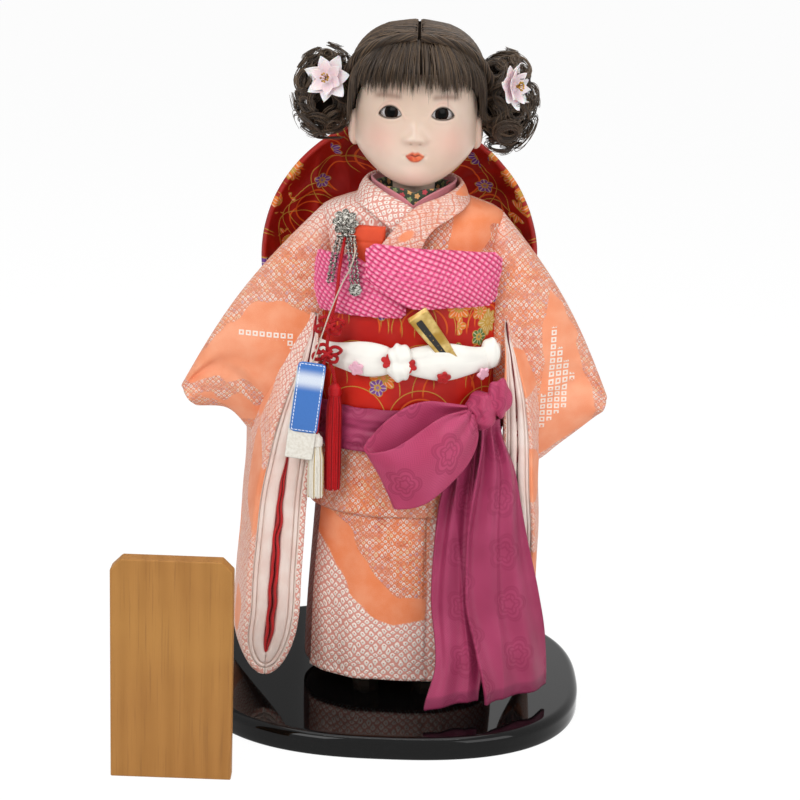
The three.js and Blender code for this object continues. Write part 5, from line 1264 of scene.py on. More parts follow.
SLEEVES = {
    RIGHT: {
        "wall": 3.1,
        "tip": (152.0, 200.5),
        "low": [(64, 186), (82, 158), (96, 158), (106, 171), (120, 185), (141, 186.5)],
        "bag": [
            (12, 89, 18, -50, 28, 0.35),
            (64, 86, 18.5, -50, 28, 0.35),
            (135, 80, 17.5, -50, 28, 0.36),
            (172, 76, 16, -49, 26, 0.42),
            (205, 69.5, 12, -45, 20, 0.55),
            (234, 64, 5.5, -38, 12, 0.7),
            (260, 60.5, 1.2, -30, 6, 0.8),
        ],
    },
    LEFT: {
        "wall": 2.2,
        "tip": (136.0, 203.5),
        "low": [(66, 180), (82, 154), (92, 157), (104, 167), (118, 179), (131, 191)],
        "bag": [
            (12, 82, 11.5, -34, 26, 0.2),
            (64, 79, 12, -36, 26, 0.2),
            (135, 75.5, 11.5, -38, 26, 0.22),
            (172, 74, 10.5, -38, 24, 0.28),
            (205, 73, 8.5, -37, 18, 0.45),
            (234, 68.5, 4.5, -33, 12, 0.6),
            (260, 64, 1.2, -28, 6, 0.7),
        ],
    },
}
SEAM_TOP = (60.3, 326.0)
BAG_FOOT, BAG_TOP = 12, 260


def fin_grid(sign, rows=116, columns=216):
    """The sleeve from shoulder seam to cuff, as rings of its outside."""
    side = SLEEVES[sign]
    root = np.linspace(1, 0, 9)[:-1, None]
    rows = rows - len(root)
    u = np.linspace(0, 1, rows)[:, None]
    swell = 7 * np.sin(np.pi * u)
    upper = np.concatenate([mix(SEAM_TOP[k], side["tip"][k], u) + (0.8, 0.6)[k] * swell for k in range(2)], 1)
    path = np.array([(x, 0, z) for x, z in side["low"]], float)
    lower = through(path, rows)[:, [0, 2]]
    middle = (upper + lower) / 2
    half = (upper - lower) / 2
    turn = turns(columns)[None] + np.pi / 2
    up = signed_power(np.cos(turn), 0.8)
    out = signed_power(np.sin(turn), 0.8)
    depth = mix(27.0, 12.0, smooth(0, 1, u)) * mix(1.0, 0.82, hump(up, -1, 0.7) * smooth(0.2, 0.7, u))
    x = sign * (middle[:, :1] + half[:, :1] * up)
    z = middle[:, 1:] + half[:, 1:] * up
    sag = ripple(u * 1.3, up * 0.7, 50 + sign, 5, 0.6, 1.5) * smooth(0, 0.25, u)
    crease = hump(up + 1.2 - 2.0 * u, 0, 0.16) + 0.7 * hump(up + 0.4 - 1.1 * u, 0, 0.12)
    y = (depth + (1.8 * sag - 2.6 * crease * smooth(0.1, 0.4, u))) * out
    fin = stack(x, y, z)
    start = fin[:1]
    heart = start.mean(1, keepdims=True)
    rolled = heart + (start - heart) * (1 - 0.28 * root[..., None] ** 2)
    rolled[..., 0] = start[..., 0] - sign * 9 * np.sin(np.pi / 2 * root)
    return np.concatenate([rolled, fin], 0)


def bag_path(side, z, inset, columns):
    """One side of the bag round its U: from one front edge, round the back, to the other."""
    values = along_rows(side["bag"], z)
    middle, half, front, back, lean = (values[..., k] for k in range(5))
    inset = inset * np.minimum(half / side["bag"][3][2], 1.0)
    rise = np.clip((z - BAG_FOOT - inset) / (34 - inset), 0, 1)
    width = np.maximum(half - inset, 0.3) * np.sqrt(1 - (1 - rise) ** 2)
    depth = back - front - 1.6 * inset
    place = np.linspace(-1, 1, columns)[None]
    s = 1 - np.abs(place) ** 1.15
    taper = width * (1 - s**1.5) + 2 * s * width / half
    x = middle + lean * s * depth + np.sign(place) * taper
    return stack(x, front + s * depth, z)


def bag_grid(sign, level, rows=104, columns=52):
    """One cloth of the bag as closed rings: outside, rolled rim, inside, rolled rim."""
    side = SLEEVES[sign]
    inset = (0, 1.56, 2.5, 5.08)[level] * side["wall"]
    low = 12.2 + inset
    share = np.linspace(0, 1, rows)[:, None] ** 1.35
    z = mix(low, BAG_TOP - 0.6 * level, share)
    outside = bag_path(side, z, inset, columns)
    thick = (1.5, 0.88, 2.52, 0.62)[level] * side["wall"]
    within = bag_path(side, z, inset + thick, columns)[:, ::-1]
    rims = []
    for a, b in ((outside[:, -1], within[:, 0]), (within[:, -1], outside[:, 0])):
        t = np.linspace(0.12, 0.88, 7)[None, :, None]
        bulge = np.minimum(np.linalg.norm(a - b, axis=1) * 0.5, 2.0)[:, None]
        rim = mix(a[:, None], b[:, None], t)
        rim[..., 1] -= bulge * np.sqrt(1 - (2 * t[..., 0] - 1) ** 2)
        rims.append(rim)
    grid = np.concatenate([outside, rims[0], within, rims[1]], 1)
    height, depth = grid[..., 2], grid[..., 1]
    sway = ripple(height / 210, depth / 400, 60 + sign, 4, 0.7, 1.4)
    fine = ripple(height / 70, depth / 200, 70 + sign, 4, 0.7, 1.5)
    grid[..., 0] += (1.5 * sway + 0.5 * fine) * smooth(258, 190, height) * smooth(BAG_FOOT, 60, height)
    grid[..., 1] += 0.9 * fine * smooth(258, 210, height)
    grid[..., 0] *= sign
    return grid, columns


def sleeve(sign):
    """A long sleeve: the fin round the arm, and the bag that hangs from it."""
    side = SIDE_NAMES[sign]
    fin = fin_grid(sign)
    x, z = fin[..., 0], fin[..., 2]
    ring = np.concatenate([fin, fin[:, :1]], 1)
    girth = np.linalg.norm(np.diff(ring, axis=1), axis=2).cumsum(1)
    girth = np.pad(girth, ((0, 0), (1, 0)))
    front = fin.shape[1] // 2
    flat = np.stack([ring[..., 0], girth - girth[:, front, None] + ring[:, front, None, 2]], -1)
    box = sizes().dot_pitch / MM * SQUARE_SHARE
    across, up = (np.floor(flat[:, :-1, k] / box) * box + box / 2 for k in range(2))
    if sign == RIGHT:
        plain = np.minimum(inside(RIGHT_PLAIN, x, z), beside(RIGHT_SPECKS, x, z) - 5.0)
        squares = np.min([beside(row, across, up) for row in RIGHT_ROWS], 0) < box * 0.51
        squares = squares & (fin[..., 1] < 0)
    else:
        plain = np.minimum(inside(LEFT_PLAIN, x, z), beside(LEFT_EDGE, x, z) - 5.0)
        squares = (inside(LEFT_SQUARES, across, up) > 0) & (fin[..., 1] < 0)
    plain = plain + 1.0 * ripple(x / 26, z / 26, 80 + sign, 4, 1.0, 2.0)
    pale = smooth(295, 325, z) * (0.9 if sign == RIGHT else 0.5) + 0.5 * smooth(180, 165, z)
    piece = Piece()
    out = fin - fin.mean(1, keepdims=True)
    tint = kimono_field(fin, pale, plain, squares)
    piece.cloth(fin, 2.6, closed=True, out=out, back_slot=1, uv=flat, **tint)
    grid, columns = bag_grid(sign, 0)
    height = grid[..., 2]
    slots = np.zeros(grid.shape[1], int)
    slots[columns + 6 : 2 * columns + 8] = 1
    band = 7 * ripple(height / 90, grid[..., 1] / 60, 84 + sign, 4, 0.8, 1.6) - 3.0
    inner = smooth(90, 78, np.abs(grid[..., 0])) if sign == RIGHT else 0.0
    tint = kimono_field(
        grid, np.minimum(smooth(120, 30, height) * 0.5 + 0.4 + 0.5 * inner, 1), band - 12 * inner,
    )
    piece.ring_solid(grid, slots=slots, **tint)
    cloth = piece.make(
        f"sleeve_{side}_cloth", ["fine_shibori", "lining"], f"{side}_arm", "shibori", f"sleeve_{side}",
    )
    flat_width, flat_length = flat_size(fin)
    bag_width, _ = flat_size(grid[:, :columns])
    area = flat_width * flat_length + bag_width * (height.max() - height.min())
    width = flat_width * MM
    length = area * MM * MM / width


def sleeve_layers(sign):
    """The lining and the under-sleeve that show at the sleeve's front edge."""
    side = SIDE_NAMES[sign]
    layers = (
        (1, "sleeve_lining", "lining", "pale_silk"),
        (2, "under_sleeve", "white_silk", "pale_silk"),
        (3, "under_sleeve_lining", "red_silk", "red_silk"),
    )
    for level, name, slot, look in layers:
        grid, columns = bag_grid(sign, level)
        if level == 3:
            height = grid[..., 2]
            wave = 0.9 * np.sin(height / 5.3) * np.sin(height / 23) + 0.4 * np.sin(height / 3.1)
            grid[..., 0] += wave * smooth(20, 60, height) * smooth(250, 200, height)
            grid[..., 1] -= 0.8 - 0.6 * np.sin(height / 4.1)
        piece = Piece()
        piece.ring_solid(grid)
        cloth = piece.make(f"{name}_{side}_cloth", [look], f"{side}_arm", slot, f"{name}_{side}")


# Obi, bow, scarf and cord


def obi():
    """The stiff brocade sash, rounded at both edges."""
    angle = even_angles(220)[None]
    z = np.linspace(199.3, 276.7, 58)[:, None]
    edge = -1.2 * hump(z, OBI_FOOT, 1.2) - 1.2 * hump(z, OBI_TOP, 1.2)
    soft = 0.35 * ripple(angle * 0.8, z / 120, 91, 4, 0.6, 1.2)
    grid = on_figure(angle, 5.9 + edge + soft, z)
    x = grid[..., 0]
    bloom = 0.06 + 0.85 * smooth(24, 34, x) * smooth(225, 240, z) + 0.25 * (grid[..., 1] > 0)
    hang(
        "obi_cloth", "obi", grid, 5.2, ["brocade"], "brocade", "folded", ["kimono_body_cloth"],
        closed=True, bloom=bloom,
    )


def bow_wing(sign):
    """One broad wing of the bow behind the shoulder, pleated from the band."""
    u, v = lattice(70, 92)
    turn = np.radians(mix(14, 98, v))
    reach = mix(16, mix(104, 91, v), u)
    pleat = (2.2 * np.sin(3 * np.pi * v) + 1.2 * np.sin(9 * np.pi * v + 1)) * u * (1 - 0.5 * u)
    rim = 1.6 * hump(u, 1, 0.03)
    crush = 3.2 * np.abs(ripple(u * 1.8, v * 2.6, 97 + sign, 5, 0.8, 1.7)) * smooth(0.02, 0.2, u)
    crush = crush * smooth(1.0, 0.86, u) * smooth(0, 0.1, v) * smooth(1, 0.9, v)
    y = 60 + 13 * np.sin(np.pi * u) - 8 * u + pleat - rim + crush - 1.2
    grid = stack(-8 + sign * reach * np.sin(turn), y, 274 + reach * np.cos(turn))
    bloom = 0.05 + 0.6 * smooth(0.72, 0.88, u) * np.minimum(ripple(u, v * 2, 95 + sign) ** 2, 1.3)
    hang(
        f"bow_wing_{SIDE_NAMES[sign]}_cloth", f"bow_wing_{SIDE_NAMES[sign]}", grid, 4.0, ["brocade"],
        "brocade", "folded", ["bow_band_cloth"], out=(0, -1, 0), bloom=np.minimum(bloom, 0.9),
    )


def bow_band():
    """The band that gathers the bow, wrapped round its middle."""
    turn = turns(96)[None]
    rise = np.linspace(0, 1, 50)[:, None]
    z = mix(252.0, 296.0, rise)
    pinch = 1 - 0.10 * np.sin(np.pi * rise) + 0.03 * np.sin(6 * turn) * (1 - np.abs(2 * rise - 1))
    x = -8 + 12 * pinch * signed_power(np.cos(turn), 0.5)
    y = 61.6 + 11 * signed_power(np.sin(turn), 0.5) * pinch
    grid = stack(x, y, z)
    piece = Piece()
    piece.ring_solid(grid, bloom=0.15)
    band = piece.make("bow_band_cloth", ["brocade"], "doll", "brocade", "bow_band")


def bow_tail():
    """The obi's end that hangs under the bow."""
    u, v = lattice(70, 60)
    x = -8 + (v - 0.5) * mix(24, 62, smooth(0, 0.5, u))
    y = 60 + 8 * np.sin(np.pi * u) + u * (2 * np.cos(2 * np.pi * v) + 0.8 * np.sin(5 * np.pi * v))
    grid = stack(x, y, 251 - 70 * u)
    hang(
        "bow_tail_cloth", "bow_tail", grid, 4.0, ["brocade"], "brocade", "hung", ["bow_band_cloth"],
        out=(0, 1, 0), bloom=0.3,
    )


def pad_ring(inner, thick, low, high):
    """Round a padded band's section: offsets from the figure and heights, closest together on its face."""
    face = np.linspace(-1.9, 1.9, 128)
    turn = np.concatenate([face, np.linspace(1.9, 2 * np.pi - 1.9, 26)[1:-1]])
    offset = inner + thick * (0.5 + 0.52 * signed_power(np.cos(turn), 0.75))
    height = (low + high) / 2 + (high - low) / 2 * signed_power(np.sin(turn), 0.75)
    return offset, height, turn


def scarf(over):
    """One end of the tie-dyed scarf, drawn up in slanted rows of knobs."""
    count = 250 if over else 185
    s = np.linspace(0, 1, count)
    if over:
        x = mix(-24.0, 53.0, s)
        low = 264 + mix(22.0, 7.7, smooth(0, 0.35, s))
        inner = 6.6 + mix(7.5, 0.6, smooth(0.38, 0.65, s))
        high = 313 - 7 * s
    else:
        x = mix(-58.0, -2.0, s)
        low = np.full(count, 264.0)
        inner = np.full(count, 7.2)
        high = mix(303.0, 284.0, smooth(0.35, 1, s))
    rows = []
    lifts = []
    pitch = sizes().knob_pitch / MM
    span = np.concatenate([[0], np.cumsum(np.hypot(np.diff(x), np.diff(on_front(x, 8, low)[:, 1])))])
    for i in range(count):
        taper = mix(0.72, 1.0, smooth(0, 0.07, s[i])) * mix(0.8, 1.0, smooth(0, 0.06, 1 - s[i]))
        centre = (low[i] + high[i]) / 2
        half = (high[i] - low[i]) / 2 * taper
        offset, height, turn = pad_ring(inner[i], 5.4 * taper, centre - half, centre + half)
        place = height - 264 + 1.5 * np.sin(span[i] / 11)
        a = (span[i] * 0.55 + place * 0.95) / pitch
        b = (span[i] * 0.8 - place * 0.42) / pitch
        lift = np.abs(np.sin(np.pi * a)) ** 0.6 * (0.4 + 0.6 * np.abs(np.sin(np.pi * b)) ** 0.7)
        outer = smooth(-0.75, 0.1, np.cos(turn))
        fold = 0.8 * np.sin(span[i] / 9 + place / 7) * outer
        pressed = 1.8 * hump(x[i], -1, 13) * smooth(296, 280, height)
        offset = offset + outer * (1.6 * lift - 0.7 - pressed) + fold * smooth(270, 284, height)
        angle = front_angle(x[i], 6.6, OBI_TOP)
        rows.append(on_figure(np.full_like(offset, angle), offset, height))
        # The lift also steers the painted highlight and shade of the scarf's finish
        lifts.append(mix(0.5, lift, outer))
    name = "over" if over else "under"
    piece = Piece()
    piece.ring_solid(np.array(rows), lift=np.array(lifts))
    band = piece.make(f"scarf_{name}_cloth", ["scarf"], "doll", "pink_kanoko", f"obiage_{name}")


def padded_cord():
    """The padded white cord round the obi, pulled in at its knot and creased along its run."""
    angle = even_angles(340, 8.0, CORD_LEVEL)
    turn = turns(32)
    front = np.maximum(-np.sin(angle), 0) ** 2
    x = on_figure(angle, 8, np.full_like(angle, CORD_LEVEL))[:, 0]
    thick = 4 * mix(0.55, 1.0, front)
    half = 10 * mix(0.7, 1.0, front)
    facing = np.sin(angle) < 0
    knot = hump(x, -5, 5.5) * facing
    lump = facing * (0.1 * np.sin((x - 8) / 7.5) + 0.22 * hump(x, 28, 16) + 0.1 * hump(x, -25, 12))
    half = half * (1 - 0.38 * knot + lump)
    offset = 6.6 + thick[:, None] * (1 + np.cos(turn))
    wrap = 0.9 * hump(turn - 0.25 * np.sin(x[:, None] / 14), 0.1, 0.18) * facing[:, None]
    offset = offset - wrap * front[:, None] + 0.5 * np.sin(x / 4.2)[:, None] * knot[:, None]
    z = CORD_LEVEL + half[:, None] * np.sin(turn)
    grid = on_figure(angle[:, None], offset, z)
    piece = Piece()
    grid = np.concatenate([grid, grid[:1]], 0)
    piece.skin(grid)
    cord = piece.make("padded_cord_cloth", ["white_silk"], "doll", "white_silk", "obijime")


PLUM_BLOSSOMS = [
    (-12.0, 237.0, 5.2, "red", 0.3),
    (1.5, 234.5, 5.0, "red", 0.9),
    (24.0, 226.5, 4.8, "red", 0.2),
    (-33.0, 230.0, 5.2, "pink", 0.5),
    (50.0, 227.5, 4.6, "pink", 0.9),
]


def plum_blossom(piece, centre, out, radius, spin, slot):
    """A five-petalled blossom of cut silk, laid on the cord."""
    out = unit(out)
    side = unit(np.cross((0, 0, 1), out))
    up = np.cross(out, side)
    turn = turns(60)
    lobe = 0.62 + 0.38 * np.abs(np.cos(2.5 * (turn - spin)))
    rings = []
    for share, lift in (
        (1.0, -1.2), (1.0, 0.3), (0.93, 0.75), (0.6, 0.8), (0.3, 0.45), (0.12, 0.9), (0.02, 1.0),
    ):
        reach = radius * share * mix(1.0, lobe, min(1.0, share * 1.3))
        flat = np.cos(turn)[:, None] * side + np.sin(turn)[:, None] * up
        rings.append(centre + flat * reach[:, None] + out * lift)
    piece.ring_solid(np.array(rings), slot=slot)


def cord_knot():
    """The cord's knot, pulled in like a bud, and the end tucked in at the side."""
    piece = Piece()
    knot = on_front(np.array(CORD_KNOT_X), 14.2, np.array(CORD_LEVEL))

    def pulled(direction):
        waist = hump(direction[..., 2], 0.05, 0.3)
        return 1 - 0.22 * waist + 0.05 * np.sin(9 * direction[..., 0] + 4 * direction[..., 2])

    piece.ball(knot, (9.2, 6.0, 12.6), 50, 60, 0, pulled)

    def flap(direction):
        return 1 + 0.14 * np.maximum(direction[..., 2], 0) ** 2 + 0.05 * np.sin(7 * direction[..., 0])

    end = on_front(np.array(54.0), 11.0, np.array(239.0))
    piece.ball(end, (6.5, 4.6, 9.5), 40, 40, 0, flap)
    loops = piece.make("padded_cord_knot", ["white_silk"], "doll", "white_silk", "obijime_knot")


def blossoms():
    """Blossoms of cut silk, sewn along the cord."""
    piece = Piece()
    for x, z, radius, hue, spin in PLUM_BLOSSOMS:
        near_knot = abs(x - CORD_KNOT_X) < 16
        offset = 16.2 if near_knot else 14.9
        centre = on_front(np.array(x), offset, np.array(z))
        beside_it = on_front(np.array(x + 1), offset, np.array(z))
        along = beside_it - centre
        out = np.array((along[1], -along[0], 0.0))
        out[2] = 0.5 * (z - CORD_LEVEL) / 10
        plum_blossom(piece, centre, out, radius, spin, 0 if hue == "red" else 1)
    piece.make("cord_blossoms", ["red_silk", "pink_silk"], "doll", "red_silk")


def pouch():
    """The brocade pouch at the breast, its flap edge rounded."""
    u, v = lattice(40, 40)
    x = mix(-40.0, -17.0, v)
    z = mix(321.0, 288.0, u)
    edge = np.minimum(np.minimum(u, 1 - u) * 33, np.minimum(v, 1 - v) * 23)
    offset = 6.4 - 1.6 * (1 - smooth(0, 2.0, edge)) - 0.5 * hump(u, 0.32, 0.02)
    grid = on_front(x, offset, z)
    piece = Piece()
    piece.cloth(grid, 3.2, out=(0, -1, 0), bloom=0.12)
    case = piece.make("pouch_cloth", ["pouch"], "doll", "brocade", "hakoseko", merge=0)


# The waist sash


def sash_belt():
    """The soft sash round the waist, gathered in lengthwise creases."""
    angle = even_angles(230, 8, 188)[None]
    rise = np.linspace(0, 1, 48)[:, None]
    z = mix(173.0, 202.0, rise)
    crease = along_rows(np.array([(0, 0.7), (0.3, 1.0), (0.5, 0.6), (0.75, 1.0), (1.0, 0.4)]), rise)[..., 0]
    fine = 0.5 * np.sin(rise * 34 + 1.5 * np.sin(angle * 3)) + 0.5 * ripple(angle * 1.5, rise * 2, 101, 4)
    offset = 6.6 + 3.4 * crease + 0.45 * fine
    grid = on_figure(angle, offset, z)
    # The belt takes the damask with painted shade
    hang(
        "sash_belt_cloth", "sash_belt", grid, 2.6, ["damask_shaded"], "purple", "gathered",
        ["waist_fold_cloth", "obi_cloth"], closed=True,
    )


LOOP_TOP = [
    (39.5, 16, 208), (28.7, 16, 210), (15.6, 16, 211.5), (2.6, 16, 208), (-9, 16, 200), (-18.2, 17, 190.7),
    (-25.6, 20, 180.5), (-23, 24, 178), (-8.3, 28, 182), (2.2, 30, 189), (11.4, 31, 196.7), (19.4, 31, 203),
    (27.6, 28, 206.5), (39.3, 22, 207),
]
LOOP_FOOT = [
    (43.6, 16, 197), (35.2, 16, 169), (20.4, 16, 151), (7.4, 16, 143), (-3, 17, 140), (-4.2, 19, 139.5),
    (-3.2, 21, 139.6), (6.3, 24, 141.6), (15.7, 26, 146), (23.8, 27, 153), (31.9, 27, 161), (41, 25, 171),
    (46.5, 22, 182), (47.6, 19, 193), (45, 18, 201),
]


def sash_loop():
    """The drooping loop of the sash's bow: its band runs out behind, folds over and comes back in front."""
    u, v = lattice(130, 44)
    top = through(LOOP_TOP, 130)[:, None]
    foot = through(LOOP_FOOT, 130)[:, None]
    grid = mix(top, foot, v[..., None])
    front = smooth(0.5, 0.62, u)
    swell = 6.5 * np.sin(np.pi * np.clip((u - 0.5) * 2, 0, 1)) * np.sin(np.pi * v) * front
    gather = 1.6 * np.sin(v * 17 + 2 * u) * (hump(u, 1, 0.16) + 0.7 * hump(u, 0, 0.16))
    ease = 0.5 * ripple(u * 2, v, 111, 4, 0.7, 1.5) * np.sin(np.pi * u)
    grid = on_front(grid[..., 0], grid[..., 1] + swell + gather + ease, grid[..., 2])
    hang(
        "sash_loop_cloth", "sash_loop", grid, 1.3, ["damask"], "purple", "folded", ["sash_belt_cloth"],
        out=(0, -1, 0),
    )


def sash_knot():
    """The sash's knot, folds pulled tight over each other, with its standing ear."""
    piece = Piece()
    centre = on_front(np.array(50.0), 15.7, np.array(203.0))

    def pulled(direction):
        swirl = np.arctan2(direction[..., 2], direction[..., 0]) * 3 + direction[..., 1] * 3
        return 1 + 0.07 * np.sin(swirl) + 0.05 * np.sin(direction[..., 2] * 9)

    piece.ball(centre, (10.8, 9.0, 13.0), 60, 80, 0, pulled)
    ear = centre + np.array((11.0, -0.5, 8.0))

    def leaf(direction):
        return 1 + 0.1 * np.sin(direction[..., 0] * 7) + 0.16 * np.maximum(direction[..., 2], 0) ** 2

    piece.ball(ear, (8.2, 5.6, 12.0), 50, 60, 0, leaf)
    knot = piece.make("sash_knot_cloth", ["damask"], "doll", "purple", "sash_knot")


SASH_TAILS = {
    "front": (
        (9, 20, -92, 55, -79), (37, 26, -82, 57, -73), (80, 21, -69, 57, -63), (136, 25, -57, 53, -54),
        (197, 37, -51.5, 48.5, -49),
    ),
    "side": (
        (10, 61, -87, 104, -46), (45, 54, -80, 101, -49), (80, 46, -73, 94, -51), (120, 45, -66, 84, -51),
        (160, 48, -58.5, 76, -48), (197, 51, -52, 63, -47),
    ),
}


def sash_tail(name, fold_depth):
    """A hanging tail of the sash, fluted below the knot, with a darker pinked hem."""
    rows = SASH_TAILS[name]
    u, v = lattice(126, 62)
    low = rows[0][0]
    slant = 6.0 * (v - 0.5) if name == "front" else 5.0 * (0.5 - v)
    z = mix(197.0, low, u)
    edges = along_rows(np.array(rows, float), z[:, :1])
    x = mix(edges[..., 0], edges[..., 2], v)
    y = mix(edges[..., 1], edges[..., 3], v)
    fold = fold_depth * u * np.sin(2 * np.pi * v)
    gather = smooth(0, 0.1, u) * (1 - 0.75 * u)
    flute = 3.2 * np.sin(5 * np.pi * v + 2 * np.sin(3 * u) + 2.2 * u) * gather
    crease = v - 0.25 - 0.55 * u if name == "front" else v - 0.62 + 0.35 * u
    flute = flute + 4.6 * np.exp(-np.abs(crease) / 0.13) * smooth(0.02, 0.2, u) * (1 - 0.4 * u) - 1.6
    drift = 1.0 * ripple(u * 1.4, v * 1.2, 121 if name == "front" else 122, 4, 0.6, 1.3) * u
    pinked = 0.8 * np.abs(((v * 17) % 1) - 0.5) * smooth(0.99, 1.0, u)
    out_x = -0.35 if name == "front" else 0.35
    push = fold + flute + drift
    grid = stack(x + out_x * push, y - push * 0.9, z + pinked + slant * smooth(0.85, 1, u) * 0.3)
    hem = smooth(0.955, 0.962, u)
    # The tails take the damask with painted shade
    hang(
        f"sash_tail_{name}_cloth", f"sash_tail_{name}", grid, 1.9, ["damask_shaded"], "purple", "hung",
        ["sash_knot_cloth"], out=(0, -1, 0), hem=hem,
    )


# Head, arms and hair

CHIN = 346.8
HEAD_MIDDLE, HEAD_HEIGHT = 395.8, 98
HEAD_WIDE, HEAD_DEEP = 39.6, 43.5
HEAD_ROUND = 2.15
HAIRLINE_SLOPE = 0.753
EYE_X, EYE_LEVEL = 16.8, 47.5
MOUTH_LEVEL = 20.9


def head_point(angle, level, offset=0.0):
    """The head's skin by angle and height above the chin, or a skin that stands off it."""
    low = np.clip((36 - level) / 36, 0, 1)
    crown = (1 - np.clip((level - 62) / 36, 0, 1) ** 2.3) ** (1 / 2.3)
    width = HEAD_WIDE * np.where(level < 36, (1 - low**3) ** (1 / 2.4), crown)
    middle = mix(-14, -2, smooth(0, 36, level)) * crown
    front = HEAD_DEEP * (1 - low**6) ** 0.25 * crown + middle
    back = mix(14.5, 45.5, smooth(3, 62, level)) * crown - middle
    side = signed_power(np.cos(angle), 2 / HEAD_ROUND)
    out = signed_power(np.sin(angle), 2 / HEAD_ROUND)
    y = middle + out * np.where(out < 0, front, back)
    z = HEAD_MIDDLE + (CHIN + level - HEAD_MIDDLE) * (1 + 2 * offset / HEAD_HEIGHT)
    return stack(width * side * (1 + offset / HEAD_WIDE), y * (1 + offset / HEAD_DEEP), z)


def front_of_head(x):
    return -np.arccos(signed_power(np.array(x / HEAD_WIDE), HEAD_ROUND / 2))


def face_angles(fine, coarse):
    """Angles close together over the face and wider round the back."""
    across = np.linspace(-30, 30, fine)
    face = front_of_head(across)
    rest = np.linspace(face[-1], face[0] + 2 * np.pi, coarse)[1:-1]
    return np.concatenate([face, rest])


